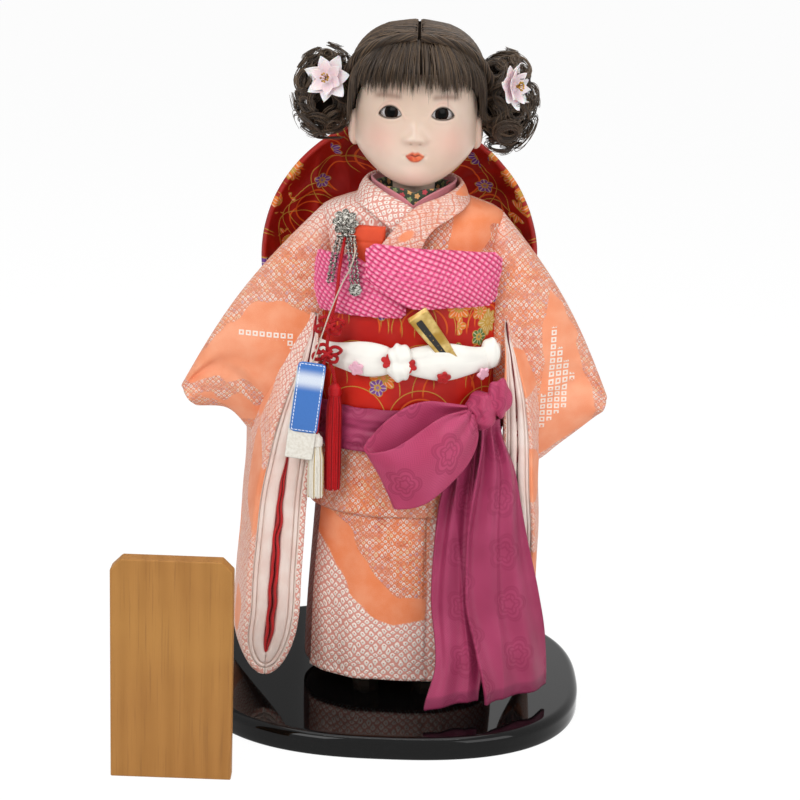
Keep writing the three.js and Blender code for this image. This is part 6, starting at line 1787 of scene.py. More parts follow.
def head_skin():
    """The head: face with inset lids, small nose and parted lips, ears and neck."""
    angle = face_angles(132, 46)[None]
    levels = np.concatenate(
        [
            14 * np.linspace(0.03, 1, 24) ** 2, np.linspace(14, 62, 112)[1:],
            62 + 36 * (1 - np.linspace(1, 0.02, 24) ** 2)[1:],
        ]
    )
    level = levels[:, None]
    grid = head_point(angle, level)
    grid[..., 0] *= 1 - 0.36 * np.clip(1 - level / 26, 0, 1) ** 1.4
    grid[..., 2] -= 2.2 * np.clip(1 - level / 16, 0, 1) ** 1.5 * (np.sin(angle) < 0.2)
    x = grid[..., 0]
    face = np.broadcast_to(np.sin(angle) < 0, x.shape)
    away = np.abs(x)
    t = np.clip((away - EYE_X) / 7.3, -1.3, 1.3)
    lid = EYE_LEVEL - 1.0 - 0.2 * t + 5.0 * (1 - np.abs(t) ** 2.3)
    under = EYE_LEVEL - 1.4 - 0.2 * t - 2.0 * (1 - np.abs(t) ** 2.6)
    open_by = np.where(face, np.minimum(lid - level, level - under), -9.0)
    nose_run = np.where(level > 31.8, 8.0, 3.4)
    push = -4.6 * hump(x, 0, mix(4.2, 5.8, smooth(40, 32, level))) * hump(level, 31.8, nose_run)
    push = push - 1.6 * hump(away, 5.4, 2.6) * hump(level, 30.9, 2.5)
    push = push + 0.9 * hump(away, 2.9, 1.0) * hump(level, 28.7, 0.9)
    push = push + 1.6 * hump(away, 15.5, 10) * hump(level, 50, 6.5)
    push = push - 0.8 * hump(away, EYE_X, 8) * hump(level - lid, 1.6, 1.5)
    push = push + 0.55 * hump(away, EYE_X, 7.5) * hump(level - lid, 3.6, 0.6)
    push = push - 0.5 * hump(away, EYE_X, 7) * hump(under - level, 1.4, 1.2)
    push = push + 5.5 * smooth(0.0, 0.8, open_by)
    upper = MOUTH_LEVEL + 0.2 + 3.4 * np.clip(1 - np.abs(x / 6.4) ** 1.6, 0, 1) - 1.0 * hump(x, 0, 1.3)
    lower = MOUTH_LEVEL - 0.3 - 3.8 * np.clip(1 - np.abs(x / 6.0) ** 2.3, 0, 1)
    line = MOUTH_LEVEL + 0.1 + 0.9 * hump(away, 2.4, 1.6)
    lip = np.minimum(upper - level, level - lower) - 2 * smooth(5.8, 6.8, away)
    bulge = np.clip(lip, 0, 1.4) / 1.4
    push = push - 1.9 * bulge - 0.7 * hump(x, 0, 9) * hump(level, 21, 6.5)
    gap = np.clip(1 - (x / 6.2) ** 2, 0, 1) ** 0.7 * hump(level, line, 0.5)
    push = push + 1.3 * gap + 0.6 * hump(away, 6.6, 1.2) * hump(level, MOUTH_LEVEL, 1.3)
    push = push + 0.35 * hump(x, 0, 1.3) * hump(level, 25, 1.6) + 0.7 * hump(x, 0, 9) * hump(level, 14.5, 2.4)
    push = push - 0.9 * hump(away, 21, 10) * hump(level, 27, 10) - 1.0 * hump(x, 0, 8) * hump(level, 7.5, 5)
    grid[..., 1] += np.where(face, push, 0)
    lip_mask = smooth(-0.35, 1.1, lip) * face
    lash = hump(level - lid, 0.2, 0.75) * smooth(1.12, 0.9, np.abs(t)) * face
    lash = np.maximum(lash, 0.9 * hump(under - level, 0.1, 0.5) * smooth(1.12, 0.9, np.abs(t)) * face)
    brow_line = 58.4 - 0.010 * (away - 18) ** 2
    brow = 0.62 * hump(level, brow_line, 1.9) * smooth(8, 12, away) * smooth(29, 24, away) * face
    cheek = 0.7 * hump(away, 23, 11) * hump(level, 30, 10)
    cheek = cheek + 0.5 * hump(level - lid, 2.6, 1.7) * hump(away, EYE_X, 7)
    cheek = cheek + 0.5 * hump(x, 0, 10) * hump(level, 8, 6)
    # Painted shade in the mouth's parting, on the lips beside it, and in the nostrils
    dim = 0.66 * gap + 0.16 * bulge * hump(
        level, line, 1.4,
    ) + 0.4 * hump(away, 2.9, 0.9) * hump(level, 28.5, 0.7)
    piece = Piece()
    piece.ring_solid(
        grid, lip=lip_mask, lash=np.maximum(lash, smooth(0.1, 0.7, open_by)), brow=brow,
        cheek=cheek * face, dim=dim * face
    )

    def hollowed(direction):
        hollow = hump(direction[..., 1] + 0.25, 0, 0.4) * hump(direction[..., 2] - 0.1, 0, 0.5)
        return 1 - 0.45 * hollow * np.abs(direction[..., 0])

    for sign in (RIGHT, LEFT):
        piece.ball((sign * HEAD_WIDE, 1.0, 379.8), (5.2, 7.2, 12.5), 36, 48, 0, hollowed, cheek=0.25)
    turn = turns(64)[None]
    z = np.linspace(313.0, 364.6, 40)[:, None]
    reach = 14.4 - 0.5 * hump(z, 338, 9) + 0.15 * np.sin(z / 2.4)
    # The neck takes a faint painted shade through the blush value
    piece.ring_solid(stack(reach * np.cos(turn), reach * np.sin(turn), z), cheek=0.12)
    piece.make("head_skin", ["skin"], "head", "skin", "head")


def eye(sign):
    """A glass eye: white, wide dark iris and pupil, bulging a little in front."""
    name = SIDE_NAMES[sign]
    skin_y = head_point(np.array(front_of_head(sign * EYE_X)), np.array(EYE_LEVEL))[1]
    gaze = unit((0.38 * sign, -1.0, -0.02))
    centre = np.array((sign * EYE_X, skin_y, CHIN + EYE_LEVEL)) - 7.2 * gaze
    polar = np.concatenate([np.linspace(0.01, 0.95, 60), np.linspace(0.95, np.pi - 0.02, 24)[1:]])[:, None]
    turn = turns(64)[None]
    side = unit(np.cross(gaze, (0, 0, 1)))
    up = np.cross(side, gaze)
    across = 9.6 * np.sin(polar) * np.cos(turn)
    high = 7.5 * np.sin(polar) * np.sin(turn)
    deep = np.broadcast_to((5.6 + 0.3 * hump(polar, 0, 0.35)) * np.cos(polar), across.shape)
    grid = centre + across[..., None] * side + high[..., None] * up + deep[..., None] * gaze
    piece = Piece()
    ring = np.where(deep > 0, np.hypot(across, high), 9.0)
    # The upper part of the eyeball gets painted shade from the lid
    piece.ring_solid(grid, iris=ring, dim=smooth(1.6, 3.6, high))
    piece.make(f"glass_eye_{name}", ["glass_eye"], "head", "glass", f"eye_{name}")


def hand_and_arm(sign):
    """An arm with a small curled hand, its palm, four fingers and thumb run together."""
    name = SIDE_NAMES[sign]
    start = np.array((sign * 60.3, 0.0, 305.0))
    tip = {RIGHT: (152, 199.5), LEFT: (136, 201)}[sign]
    heel = {RIGHT: (114, 176), LEFT: (98, 166)}[sign]
    end = np.array((sign * (tip[0] + heel[0]) / 2, 0.0, (tip[1] + heel[1]) / 2))
    axis = end - start
    along = unit(axis)
    thin = np.cross(along, (0, 1, 0))
    rows = [(0, 9, 9), (0.45, 8.5, 8.5), (0.7, 7.5, 6.8), (0.78, 8.4, 5.6), (0.87, 8.4, 4.2), (0.9, 7.6, 3.4)]
    share = np.linspace(0, 0.9, 40)[:, None]
    radius = along_rows(np.array(rows, float), share)
    turn = turns(40)[None]
    broad = (radius[..., 0] * np.cos(turn))[..., None] * np.array((0, 1, 0))
    narrow = (radius[..., 1] * np.sin(turn))[..., None] * thin
    piece = Piece()
    piece.ring_solid(start + share[..., None] * axis + broad + narrow)
    knuckles = start + axis * 0.86
    for place in (-1.5, -0.5, 0.5, 1.5):
        root = knuckles + np.array((0, place * 4.1, 0))
        length = 15 * (1.2 - 0.12 * abs(place - 0.5)) * 0.95
        bend = [root - along * 3, root + along * length * 0.5, root + along * length + thin * 1.5]
        piece.tube(
            through(bend, 14), np.linspace(2.1, 1.5, 14) * np.sqrt(1 - np.linspace(0, 0.98, 14) ** 8),
            14,
        )
    root = start + axis * 0.78 - np.array((0, 5.2, 0))
    bend = [root, root + along * 8 - np.array((0, 3.2, 0)), root + along * 14 - np.array((0, 4.2, 0))]
    piece.tube(through(bend, 12), np.linspace(2.4, 1.6, 12), 14)
    loose = piece.mesh_object(f"arm_{name}_loose", ["skin"])
    remesh = loose.modifiers.new("Remesh", "REMESH")
    remesh.mode = "VOXEL"
    remesh.voxel_size = 0.001
    soften = loose.modifiers.new("Smooth", "SMOOTH")
    soften.iterations = 4
    bpy.context.view_layer.update()
    ready = loose.evaluated_get(bpy.context.evaluated_depsgraph_get())
    mesh = bpy.data.meshes.new_from_object(ready)
    shade_smooth(mesh)
    mesh.materials.clear()
    mesh.materials.append(finish("skin"))
    bpy.data.objects.remove(loose)
    settle(add_object(f"arm_{name}_skin", mesh), f"{name}_arm", "skin", f"arm_{name}")


# Strands: silk hair and tassel thread


def node_group(name, *sockets):
    """A node group that takes curves, the named inputs and a finish; gives it and its inputs."""
    tree = bpy.data.node_groups.new(name, "GeometryNodeTree")
    for label, kind in (("Geometry", "Geometry"), *sockets, ("Finish", "Material")):
        tree.interface.new_socket(label, in_out="INPUT", socket_type="NodeSocket" + kind)
    tree.interface.new_socket("Geometry", in_out="OUTPUT", socket_type="NodeSocketGeometry")
    return tree, tree.nodes.new("NodeGroupInput").outputs


def finish_group(tree, mesh, look):
    """Ends a node group: real geometry, shaded smooth, with its finish."""
    real = add_node(tree, "GeometryNodeRealizeInstances", {0: mesh})
    shade = add_node(tree, "GeometryNodeSetShadeSmooth", {0: real.outputs[0]})
    dress = add_node(tree, "GeometryNodeSetMaterial", {"Geometry": shade.outputs[0], "Material": look})
    add_node(tree, "NodeGroupOutput", {0: dress.outputs[0]})
    return tree


def strand_tree():
    """Node group: curves become tapered threads, each with its own number for the finish."""
    tree, given = node_group("Silk strands", ("Radius", "Float"), ("Sides", "Int"), ("Seed", "Int"))
    number = add_node(tree, "FunctionNodeRandomValue", {"Seed": given["Seed"]})
    lines = {"Geometry": given["Geometry"], "Name": "lock", "Value": number.outputs[1]}
    store = add_node(tree, "GeometryNodeStoreNamedAttribute", lines, domain="CURVE")
    section = {"Resolution": given["Sides"], "Radius": given["Radius"]}
    profile = add_node(tree, "GeometryNodeCurvePrimitiveCircle", section)
    taper = tree.nodes.new("GeometryNodeInputRadius")
    swept = {"Curve": store.outputs[0], "Profile Curve": profile.outputs[0], "Scale": taper.outputs[0]}
    thread = add_node(tree, "GeometryNodeCurveToMesh", swept | {"Fill Caps": True})
    return finish_group(tree, thread.outputs[0], given["Finish"])


def curve_object(name, paths):
    """A curve object of open lines; each path is its points in millimetres and their share of the radius."""
    curve = bpy.data.curves.new(name, "CURVE")
    curve.dimensions = "3D"
    for points, share in paths:
        spline = curve.splines.new("POLY")
        spline.points.add(len(points) - 1)
        placed = np.concatenate([(np.asarray(points) + DOLL_PLACE) * MM, np.ones((len(points), 1))], 1)
        spline.points.foreach_set("co", placed.ravel())
        spline.points.foreach_set("radius", np.broadcast_to(share, len(points)).astype(float))
    return add_object(name, curve)


def through_tree(holder, name, maker, values):
    """Runs a node group over an object and keeps its result as a plain mesh object."""
    tree = bpy.data.node_groups.get(TREE_NAMES[maker]) or maker()
    modifier = holder.modifiers.new("Nodes", "NODES")
    modifier.node_group = tree
    for item in tree.interface.items_tree:
        if item.in_out == "INPUT" and item.name in values:
            modifier[item.identifier] = values[item.name]
    bpy.context.view_layer.update()
    ready = holder.evaluated_get(bpy.context.evaluated_depsgraph_get())
    mesh = bpy.data.meshes.new_from_object(ready)
    holder.modifiers.remove(modifier)
    bpy.data.objects.remove(holder)
    mesh.name = name
    return add_object(name, mesh)


def strands(name, paths, radius, sides, seed, look):
    values = {"Radius": radius, "Sides": sides, "Seed": seed, "Finish": finish(look)}
    return through_tree(curve_object(name, paths), name, strand_tree, values)


def crown_grid():
    """The combed hair over the skull, down to the hairline, with the parting pressed in."""
    angle = turns(168)
    levels = np.linspace(2, 97.9, 480)
    trial = head_point(angle[None], levels[:, None], 4.8)
    above = trial[..., 2] > 421.8 - HAIRLINE_SLOPE * (trial[..., 1] + HEAD_DEEP)
    lowest = levels[np.argmax(above, 0)]
    share = np.linspace(0, 1, 54)[:, None]
    level = mix(97.9, lowest[None], share**0.8)
    flat = head_point(angle[None], level, 4.6)
    parting = 2.0 * hump(flat[..., 0], 0, 1.1) * smooth(20, -5, flat[..., 1])
    thin = 2.4 * smooth(0.9, 1.0, share)
    return head_point(angle[None], level, 4.6 - parting - thin)


def slerp(a, b, t):
    a, b = unit(a), unit(b)
    between = np.arccos(np.clip(np.dot(a, b), -1, 1))
    t = np.asarray(t)[:, None]
    return (np.sin((1 - t) * between) * a + np.sin(t * between) * b) / np.sin(between)


def on_crown(tree, heart, directions, lift):
    """Where rays from inside the head leave the combed hair, a little above it."""
    places = []
    for direction, extra in zip(directions, np.broadcast_to(lift, len(directions))):
        hit = tree.ray_cast(Vector(heart), Vector(direction))
        if hit[0] is None:
            return None
        places.append(np.array(hit[0]) + direction * extra)
    return np.array(places)


def hair_crown():
    """The wig over the skull: a combed mass and the locks that run from the parting to the buns."""
    grid = crown_grid()
    piece = Piece()
    piece.cloth(grid, 3.6, closed=True, out=grid - (0, 0, 390.0))
    piece.make("hair_crown_mass", ["scalp"], "head", "hair", "hair_crown")
    columns = grid.shape[1]
    corners, _, _ = piece.grid_corners(grid.shape, 0, True)
    top = len(grid.reshape(-1, 3))
    points = np.vstack([grid.reshape(-1, 3), grid[0].mean(0)])
    fan = [(j, (j + 1) % columns, top) for j in range(columns)]
    tree = BVHTree.FromPolygons(points.tolist(), corners.tolist() + fan)
    heart = np.array((0.0, 2.0, 402.0))
    random = np.random.default_rng(7)
    paths = []
    steps = np.linspace(0, 1, 12) ** 1.5
    for index in range(sizes().crown_strands):
        sign = RIGHT if index % 2 else LEFT
        rise = np.radians(mix(44, 205, random.uniform() ** 0.85))
        start = np.array((sign * 0.02, -np.cos(rise), np.sin(rise)))
        end = np.array((sign * 50.0, 10 + random.uniform(-9, 9), 402 + random.uniform(-20, 16))) - heart
        bow = slerp(start, end, steps)
        bow[:, 2] += 0.02 * np.sin(np.pi * steps) * random.uniform(-1, 1)
        lift = random.uniform(0.05, 0.45) * np.sin(np.pi * np.clip(steps * 0.8 + 0.2, 0, 1)) ** 0.5
        path = on_crown(tree, heart, unit(bow), lift)
        if path is not None:
            paths.append((path, 0.7 + 0.5 * np.sin(np.pi * steps)))
    for index in range(sizes().crown_strands // 2):
        sign = RIGHT if index % 2 else LEFT
        turn = random.uniform(0.0, 1.5)
        nape = np.array((sign * 40 * np.sin(turn), 44 * np.cos(turn), 0.0))
        nape[2] = 422.4 - HAIRLINE_SLOPE * (nape[1] + HEAD_DEEP) + random.uniform(0, 28) * (1 - turn / 1.5)
        end = np.array((sign * 48.0, 12 + random.uniform(-8, 8), 396 + random.uniform(-16, 12))) - heart
        path = on_crown(tree, heart, slerp(nape - heart, end, steps), random.uniform(0.05, 0.5))
        if path is not None:
            paths.append((path, 0.7 + 0.5 * np.sin(np.pi * steps)))
    for sign in (RIGHT, LEFT):
        start = np.array((sign * 0.03, -np.cos(np.radians(46)), np.sin(np.radians(46))))
        end = np.array((sign * 50.0, -4.0, 404.0)) - heart
        fine = np.linspace(0, 1, 30)
        spine = on_crown(tree, heart, unit(slerp(start, end, fine)), 2.6)
        if spine is None:
            raise RuntimeError("the roll of hair misses the crown")
        ahead = unit(np.gradient(spine, axis=0))
        out = unit(spine - heart)
        out = unit(out - ahead * np.sum(out * ahead, 1, keepdims=True))
        side = np.cross(ahead, out)
        for _ in range(72):
            phase = random.uniform(0, 2 * np.pi)
            reach = (2.6 + 0.9 * fine) * random.uniform(0.55, 1.02) * (1 + 0.1 * np.sin(fine * 26))
            twist = phase + fine * 13.0 * sign
            offset = np.cos(twist)[:, None] * out + np.sin(twist)[:, None] * side
            paths.append((spine + reach[:, None] * offset, 1.0))
    locks = strands("hair_crown_locks", paths, sizes().hair_radius * 1.5, 3, 3, "hair")
    settle(locks, "head", "hair")


def fringe_line(across):
    """The fringe's upper and lower level at a share across the forehead."""
    top = 86 - 12 * across**2
    return top, 63.5 - 21 * smooth(0.7, 1.0, np.abs(across))


def hair_fringe():
    """The cut fringe with its side locks: a soft mass under many fine locks with wispy ends."""
    u, v = lattice(40, 110)
    across = 2 * v - 1
    top, low = fringe_line(across)
    level = mix(top, low + 7.0, u)
    reach = 5.0 + 1.4 * np.sin(np.pi * np.minimum(u * 0.8, 1)) + 0.35 * np.sin(v * 160) * smooth(0.1, 0.4, u)
    angle = FRONT + np.radians(78) * across * mix(0.86, 1.0, u)
    grid = head_point(angle, level, reach)
    piece = Piece()
    piece.cloth(grid, mix(2.6, 0.8, u), out=(0, -1, 0))
    piece.make("hair_fringe_mass", ["scalp"], "head", "hair", "hair_fringe", merge=0)
    random = np.random.default_rng(17)
    paths = []
    t = np.linspace(0, 1, 12)
    for _ in range(sizes().fringe_strands):
        across = random.uniform(-1, 1)
        clump = np.round(across * 24) / 24
        tip = mix(across, clump, random.uniform(0.1, 0.55))
        top, low = fringe_line(np.array(tip))
        end = low + random.normal(0.3, 2.6) + 2.2 * np.sin(clump * 41) - 5.0 * np.clip(
            random.normal(-1.2, 1.0), 0, 0.8,
        )
        level = mix(top + random.uniform(-3, 3), end, t)
        side = mix(across * 0.8, tip + random.normal(0, 0.012), t**0.8)
        lift = random.uniform(3.6, 6.6) + 1.4 * np.sin(np.pi * t * 0.85) - 0.6 * t
        path = head_point(FRONT + np.radians(78) * side, level, lift)
        paths.append((path, (1 - 0.85 * t**4) * random.uniform(0.7, 1.2)))
    locks = strands("hair_fringe_locks", paths, sizes().hair_radius * 1.15, 3, 5, "hair")
    settle(locks, "head", "hair")


def hair_bun(sign):
    """A bun of ringlets: curls of several sizes over a dark heart, with gaps between them."""
    name = SIDE_NAMES[sign]
    centre = np.array({RIGHT: (-59.5, 9.0, 400.5), LEFT: (57.0, 9.0, 398.0)}[sign])
    half = np.array({RIGHT: (22.0, 23.0, 33.0), LEFT: (22.0, 23.0, 36.0)}[sign])

    def lumps(direction):
        wave = np.sin(
            direction[..., 0] * 7 + 1
        ) * np.sin(direction[..., 2] * 8) + np.sin(direction[..., 1] * 9)
        return 0.6 + 0.045 * wave

    piece = Piece()
    piece.ball(centre, half, 50, 70, 0, lumps)
    piece.make(f"hair_bun_{name}_mass", ["scalp"], "head", "hair", f"hair_bun_{name}")
    random = np.random.default_rng(23 + sign)
    paths = []
    t = np.linspace(0, 1, 26)
    for _ in range(sizes().bun_strands):
        out = unit(random.normal(size=3))
        side = unit(np.cross(out, random.normal(size=3)))
        up = np.cross(out, side)
        seat = centre + out * half * random.uniform(0.6, 0.9)
        loose = random.uniform() < 0.22
        radius = random.uniform(9.0, 15.0) if loose else random.uniform(5.0, 10.5)
        turns = random.uniform(0.8, 1.3) if loose else random.uniform(1.1, 2.0)
        rise = random.uniform(3.0, 10.0)
        for _ in range(9 if loose else 14):
            shift = random.normal(0, 0.75, 3)
            phase = random.normal(0, 0.25)
            reach = radius * random.normal(1.0, 0.09) * mix(1.0, 0.7, t)
            spin = 2 * np.pi * turns * t + phase
            loop = reach[:, None] * (np.cos(spin)[:, None] * side + np.sin(spin)[:, None] * up)
            path = seat + shift + loop + np.outer(t * rise - rise * 0.4, out)
            away = (path - centre) / half
            far = np.linalg.norm(away, axis=1, keepdims=True)
            path = centre + away / np.maximum(far, 1e-6) * np.minimum(far, 1.1) * half
            paths.append((path, 0.5 + 0.5 * np.sin(np.pi * t)))
    curls = strands(f"hair_bun_{name}_curls", paths, sizes().hair_radius * 1.35, 3, 31 + sign, "hair")
    settle(curls, "head", "hair")


def hair_flower(sign):
    """A hair ornament of thin pointed petals in two layers, with stamens."""
    name = SIDE_NAMES[sign]
    seat = np.array({RIGHT: (-57.0, -13.0, 411.0), LEFT: (60.5, -12.0, 410.0)}[sign])
    out = unit({RIGHT: (-0.35, -0.9, 0.2), LEFT: (0.8, -0.55, 0.15)}[sign])
    side = unit(np.cross((0, 0, 1), out))
    up = np.cross(out, side)
    piece = Piece()
    u, v = lattice(18, 13)
    for layer, count in ((0, 7), (1, 6)):
        for k in range(count):
            turn = 2 * np.pi * (k + 0.5 * layer) / count + 0.2
            ahead = np.cos(turn) * side + np.sin(turn) * up
            across = np.cross(out, ahead)
            length = (14.5, 10.5)[layer] * (1 + 0.06 * np.sin(k * 2.4))
            width = (5.6, 4.2)[layer] * np.sin(
                np.pi * np.clip(u, 0.04, 1) ** 0.72
            ) ** 0.8 * (1 - 0.2 * u) + 0.12
            lift = (1.0, 2.6)[layer] + (3.0, 4.5)[layer] * u**1.5 - 2.6 * (1 - (2 * v - 1) ** 2) * u * (1 - u)
            twist = 1.1 * np.sin(k * 1.7) * u * (2 * v - 1)
            place = ahead * (1.2 + length * u)[..., None] + across * (width * (2 * v - 1))[..., None]
            grid = seat + place + out * (lift + twist)[..., None]
            piece.cloth(grid, 0.35, out=out)
    for k in range(9):
        turn = 2.4 * k
        lean = np.cos(turn) * side + np.sin(turn) * up
        foot = seat + out * 1.5
        path = through([foot, foot + out * 3.5 + lean * 0.9, foot + out * 6.2 + lean * 2.6], 8)
        piece.tube(path, 0.28, 6, 1)
        piece.ball(path[-1], (0.7, 0.7, 0.7), 8, 10, 1)
    piece.ball(seat + out * 1.0, (3.2, 3.2, 3.2), 14, 18, 0)
    piece.make(f"hair_flower_{name}_petals", ["petal", "gold"], "head", "petal", f"hair_flower_{name}")


# Base, plaque and what hides under the clothes


def display_base():
    """The lacquer board: rounded oblong, soft upper edge, small bevel at its foot."""
    turn = turns(240)
    arc = np.linspace(0, np.pi / 2, 12)
    profile = [(1.2, 0.0), (0.35, 0.25), (0.0, 1.2), (0.0, 5.0), (0.0, 9.0)]
    profile += [(5 - 5 * np.cos(a), 10 + 5 * np.sin(a)) for a in arc]
    profile += [(6.2, 15.0), (14.0, 15.0), (50.0, 15.0)]
    rings = []
    for inset, height in profile:
        x = (132.5 - inset) * signed_power(np.cos(turn), 2 / 2.5)
        y = (119.5 - inset) * signed_power(np.sin(turn), 2 / 2.5)
        rings.append(stack(x, y, np.full_like(x, height)))
    piece = Piece()
    piece.ring_solid(np.array(rings))
    piece.make("display_base_lacquer", ["lacquer"], "doll", "lacquer", "display_base", place=np.zeros(3))


def softened(node, name, look, edge, body, slot, segments=3):
    """A copy of a frame node with its edges rounded."""
    mesh = bpy.data.objects[node].data.copy()
    work = bmesh.new()
    work.from_mesh(mesh)
    work.transform(bpy.data.objects[node].matrix_world)
    bmesh.ops.remove_doubles(work, verts=work.verts, dist=1e-6)
    bmesh.ops.dissolve_limit(work, angle_limit=0.02, verts=work.verts, edges=work.edges)
    sharp = [e for e in work.edges if len(e.link_faces) == 2 and e.calc_face_angle() > 0.3]
    bmesh.ops.bevel(work, geom=sharp, offset=edge * MM, segments=segments, profile=0.5, affect="EDGES")
    bmesh.ops.recalc_face_normals(work, faces=work.faces)
    work.to_mesh(mesh)
    work.free()
    mesh.name = name
    mesh.materials.clear()
    mesh.materials.append(finish(look))
    mesh.polygons.foreach_set("material_index", np.zeros(len(mesh.polygons), dtype=np.int32))
    settle(add_object(name, mesh), body, slot, node)


def inner_pieces():
    """Finishes for the parts of the frame that the clothes hide."""
    for node, look in (
        ("torso", "composition"),
        ("leg_right", "skin"),
        ("leg_left", "skin"),
        ("support_peg_right", "steel"),
        ("support_peg_left", "steel"),
    ):
        held = bpy.data.objects[node]
        held.data.materials.clear()
        held.data.materials.append(finish(look))


# Breast ornament and charm

LINK_TURN = 1.2
CHARM_ROUTE = [
    (-43, -41.5, 313.1), (-45.5, -53, 296), (-47, -55.5, 278), (-50.7, -53.5, 258), (-52, -53.5, 239.6),
    (-48.5, -53, 229), (-46.5, -52, 219), (-46.5, -52, 196),
]
WHITE_ROUTE = [(-52, -53.5, 239.6), (-55.5, -56, 226), (-55.5, -56, 212), (-57.5, -57.5, 186)]
THREAD_ROUTE = [
    (-37.5, -41.5, 313.1), (-36, -57, 306), (-39, -59, 296), (-43, -59, 288), (-50, -60.5, 270),
    (-60.8, -64.5, 235.8),
]
CHAINS = {
    "narrow": ([(-46, -41.5, 314.0), (-49, -49, 303), (-51.5, -50, 286)], (-1.3, 1.3)),
    "wide": ([(-39.5, -41.5, 314.0), (-37.5, -52, 304), (-35.5, -56, 286)], (-2.4, 0.0, 2.4)),
}


def link_tree():
    """Node group: open rings set along curves, each one turned to the next."""
    kinds = (("Spacing", "Float"), ("Link radius", "Float"), ("Wire radius", "Float"))
    tree, given = node_group("Chain links", *kinds)
    circle = "GeometryNodeCurvePrimitiveCircle"
    ring = add_node(tree, circle, {"Resolution": 10, "Radius": given["Link radius"]})
    wire = add_node(tree, circle, {"Resolution": 5, "Radius": given["Wire radius"]})
    bent = {"Curve": ring.outputs[0], "Profile Curve": wire.outputs[0]}
    link = add_node(tree, "GeometryNodeCurveToMesh", bent)
    line = {"Curve": given["Geometry"], "Length": given["Spacing"]}
    points = add_node(tree, "GeometryNodeCurveToPoints", line, mode="LENGTH")
    index = tree.nodes.new("GeometryNodeInputIndex")
    turn = add_node(tree, "ShaderNodeMath", {0: index.outputs[0], 1: LINK_TURN}, operation="MULTIPLY")
    lean = add_node(tree, "ShaderNodeCombineXYZ", {"Y": turn.outputs[0]})
    turned = {"Rotation": points.outputs["Rotation"], "Rotate By": lean.outputs[0]}
    rotate = add_node(tree, "FunctionNodeRotateRotation", turned, rotation_space="LOCAL")
    row = {"Points": points.outputs["Points"], "Instance": link.outputs[0], "Rotation": rotate.outputs[0]}
    place = add_node(tree, "GeometryNodeInstanceOnPoints", row)
    return finish_group(tree, place.outputs[0], given["Finish"])


TREE_NAMES = {strand_tree: "Silk strands", link_tree: "Chain links"}


def chain(name):
    """A flat chain of the pin: rows of small links side by side."""
    route, columns = CHAINS[name]
    middle = through(route, 40)
    paths = [(middle + (shift, 0, 0), 1.0) for shift in columns]
    values = {"Spacing": 0.0016, "Link radius": 0.0012, "Wire radius": 0.00042, "Finish": finish("silver")}
    links = through_tree(
        curve_object(f"chain_{name}_lines", paths), f"kanzashi_chain_{name}_links", link_tree, values,
    )
    settle(links, "charm", "silver", f"kanzashi_chain_{name}")


def kanzashi_flower():
    """The pin's silver blossom, beaten petals round a beaded heart, over its hanger bar."""
    seat = on_front(np.array(-43.0), 7.9, np.array(322.0))
    out = unit((-0.3, -1.0, 0.1))
    side = unit(np.cross((0, 0, 1), out))
    up = np.cross(out, side)
    piece = Piece()
    u, v = lattice(12, 13)
    for layer, count, length in ((0, 8, 8.0), (1, 6, 5.4)):
        for k in range(count):
            turn = 2 * np.pi * (k + 0.5 * layer) / count
            ahead = np.cos(turn) * side + np.sin(turn) * up
            across = np.cross(out, ahead)
            width = length * 0.34 * np.sin(np.pi * np.clip(u, 0.08, 1) ** 0.8) ** 0.6 + 0.2
            lift = 0.6 + 1.3 * layer - 1.0 * u**2 + 0.7 * np.abs(2 * v - 1) + 0.25 * np.cos(6 * np.pi * v)
            place = ahead * (0.8 + length * u)[..., None] + across * (width * (2 * v - 1))[..., None]
            piece.cloth(seat + place + out * lift[..., None], 0.5, out=out)
    for k in range(10):
        turn = 2 * np.pi * k / 10
        bead = seat + out * 2.6 + 2.4 * (np.cos(turn) * side + np.sin(turn) * up)
        piece.ball(bead, (0.75, 0.75, 0.75), 8, 10)
    piece.ball(seat + out * 2.8, (1.7, 1.7, 1.7), 12, 16)
    piece.ball(seat - out * 0.2, (5.2, 1.6, 5.2), 14, 24)
    bar = np.array((-43.0, -41.5, 314.5))
    piece.tube([bar + (shift, 0, 0) for shift in np.linspace(-5.0, 6.0, 12)], 0.7, 12)
    piece.tube(through([seat - out * 0.6, seat + (0.4, -1.2, -4.0), bar], 10), 1.3, 10)
    piece.make("kanzashi_flower_silver", ["silver"], "doll", "silver", "kanzashi_flower")


def chain_disc():
    piece = Piece()
    turn = turns(48)
    rings = []
    for reach, rise in ((4.2, 0.0), (4.2, 0.6), (3.9, 0.9), (3.3, 0.75), (2.4, 1.1), (0.1, 1.4)):
        wave = reach * (1 + 0.04 * np.cos(8 * turn))
        rings.append(
            stack(-35 + wave * np.cos(turn), np.full_like(turn, -56 - rise), 282.6 + wave * np.sin(turn))
        )
    piece.ring_solid(np.array(rings))
    piece.make("kanzashi_chain_disc", ["silver"], "charm", "silver")


def clover_knot(piece, centre, size):
    """A flat knot of the cord: a crossed heart and four open loops."""
    turn = np.linspace(0, 2 * np.pi, 150)
    reach = size * (0.32 + 0.68 * np.abs(np.sin(2 * turn + 0.5)) ** 0.8)
    over = 1.0 * np.sin(8 * turn)
    path = np.array(centre) + stack(1.25 * reach * np.cos(turn), -1.6 + over, 0.8 * reach * np.sin(turn))
    piece.tube(path[:-1], 1.15, 10)
    for lean in (0.6, -0.6):
        sweep = np.linspace(-1, 1, 16)
        bar = stack(4.0 * sweep * np.cos(lean), -2.6 - 0.9 * (1 - sweep**2), 4.0 * sweep * np.sin(lean))
        piece.tube(np.array(centre) + bar, 1.25, 10)


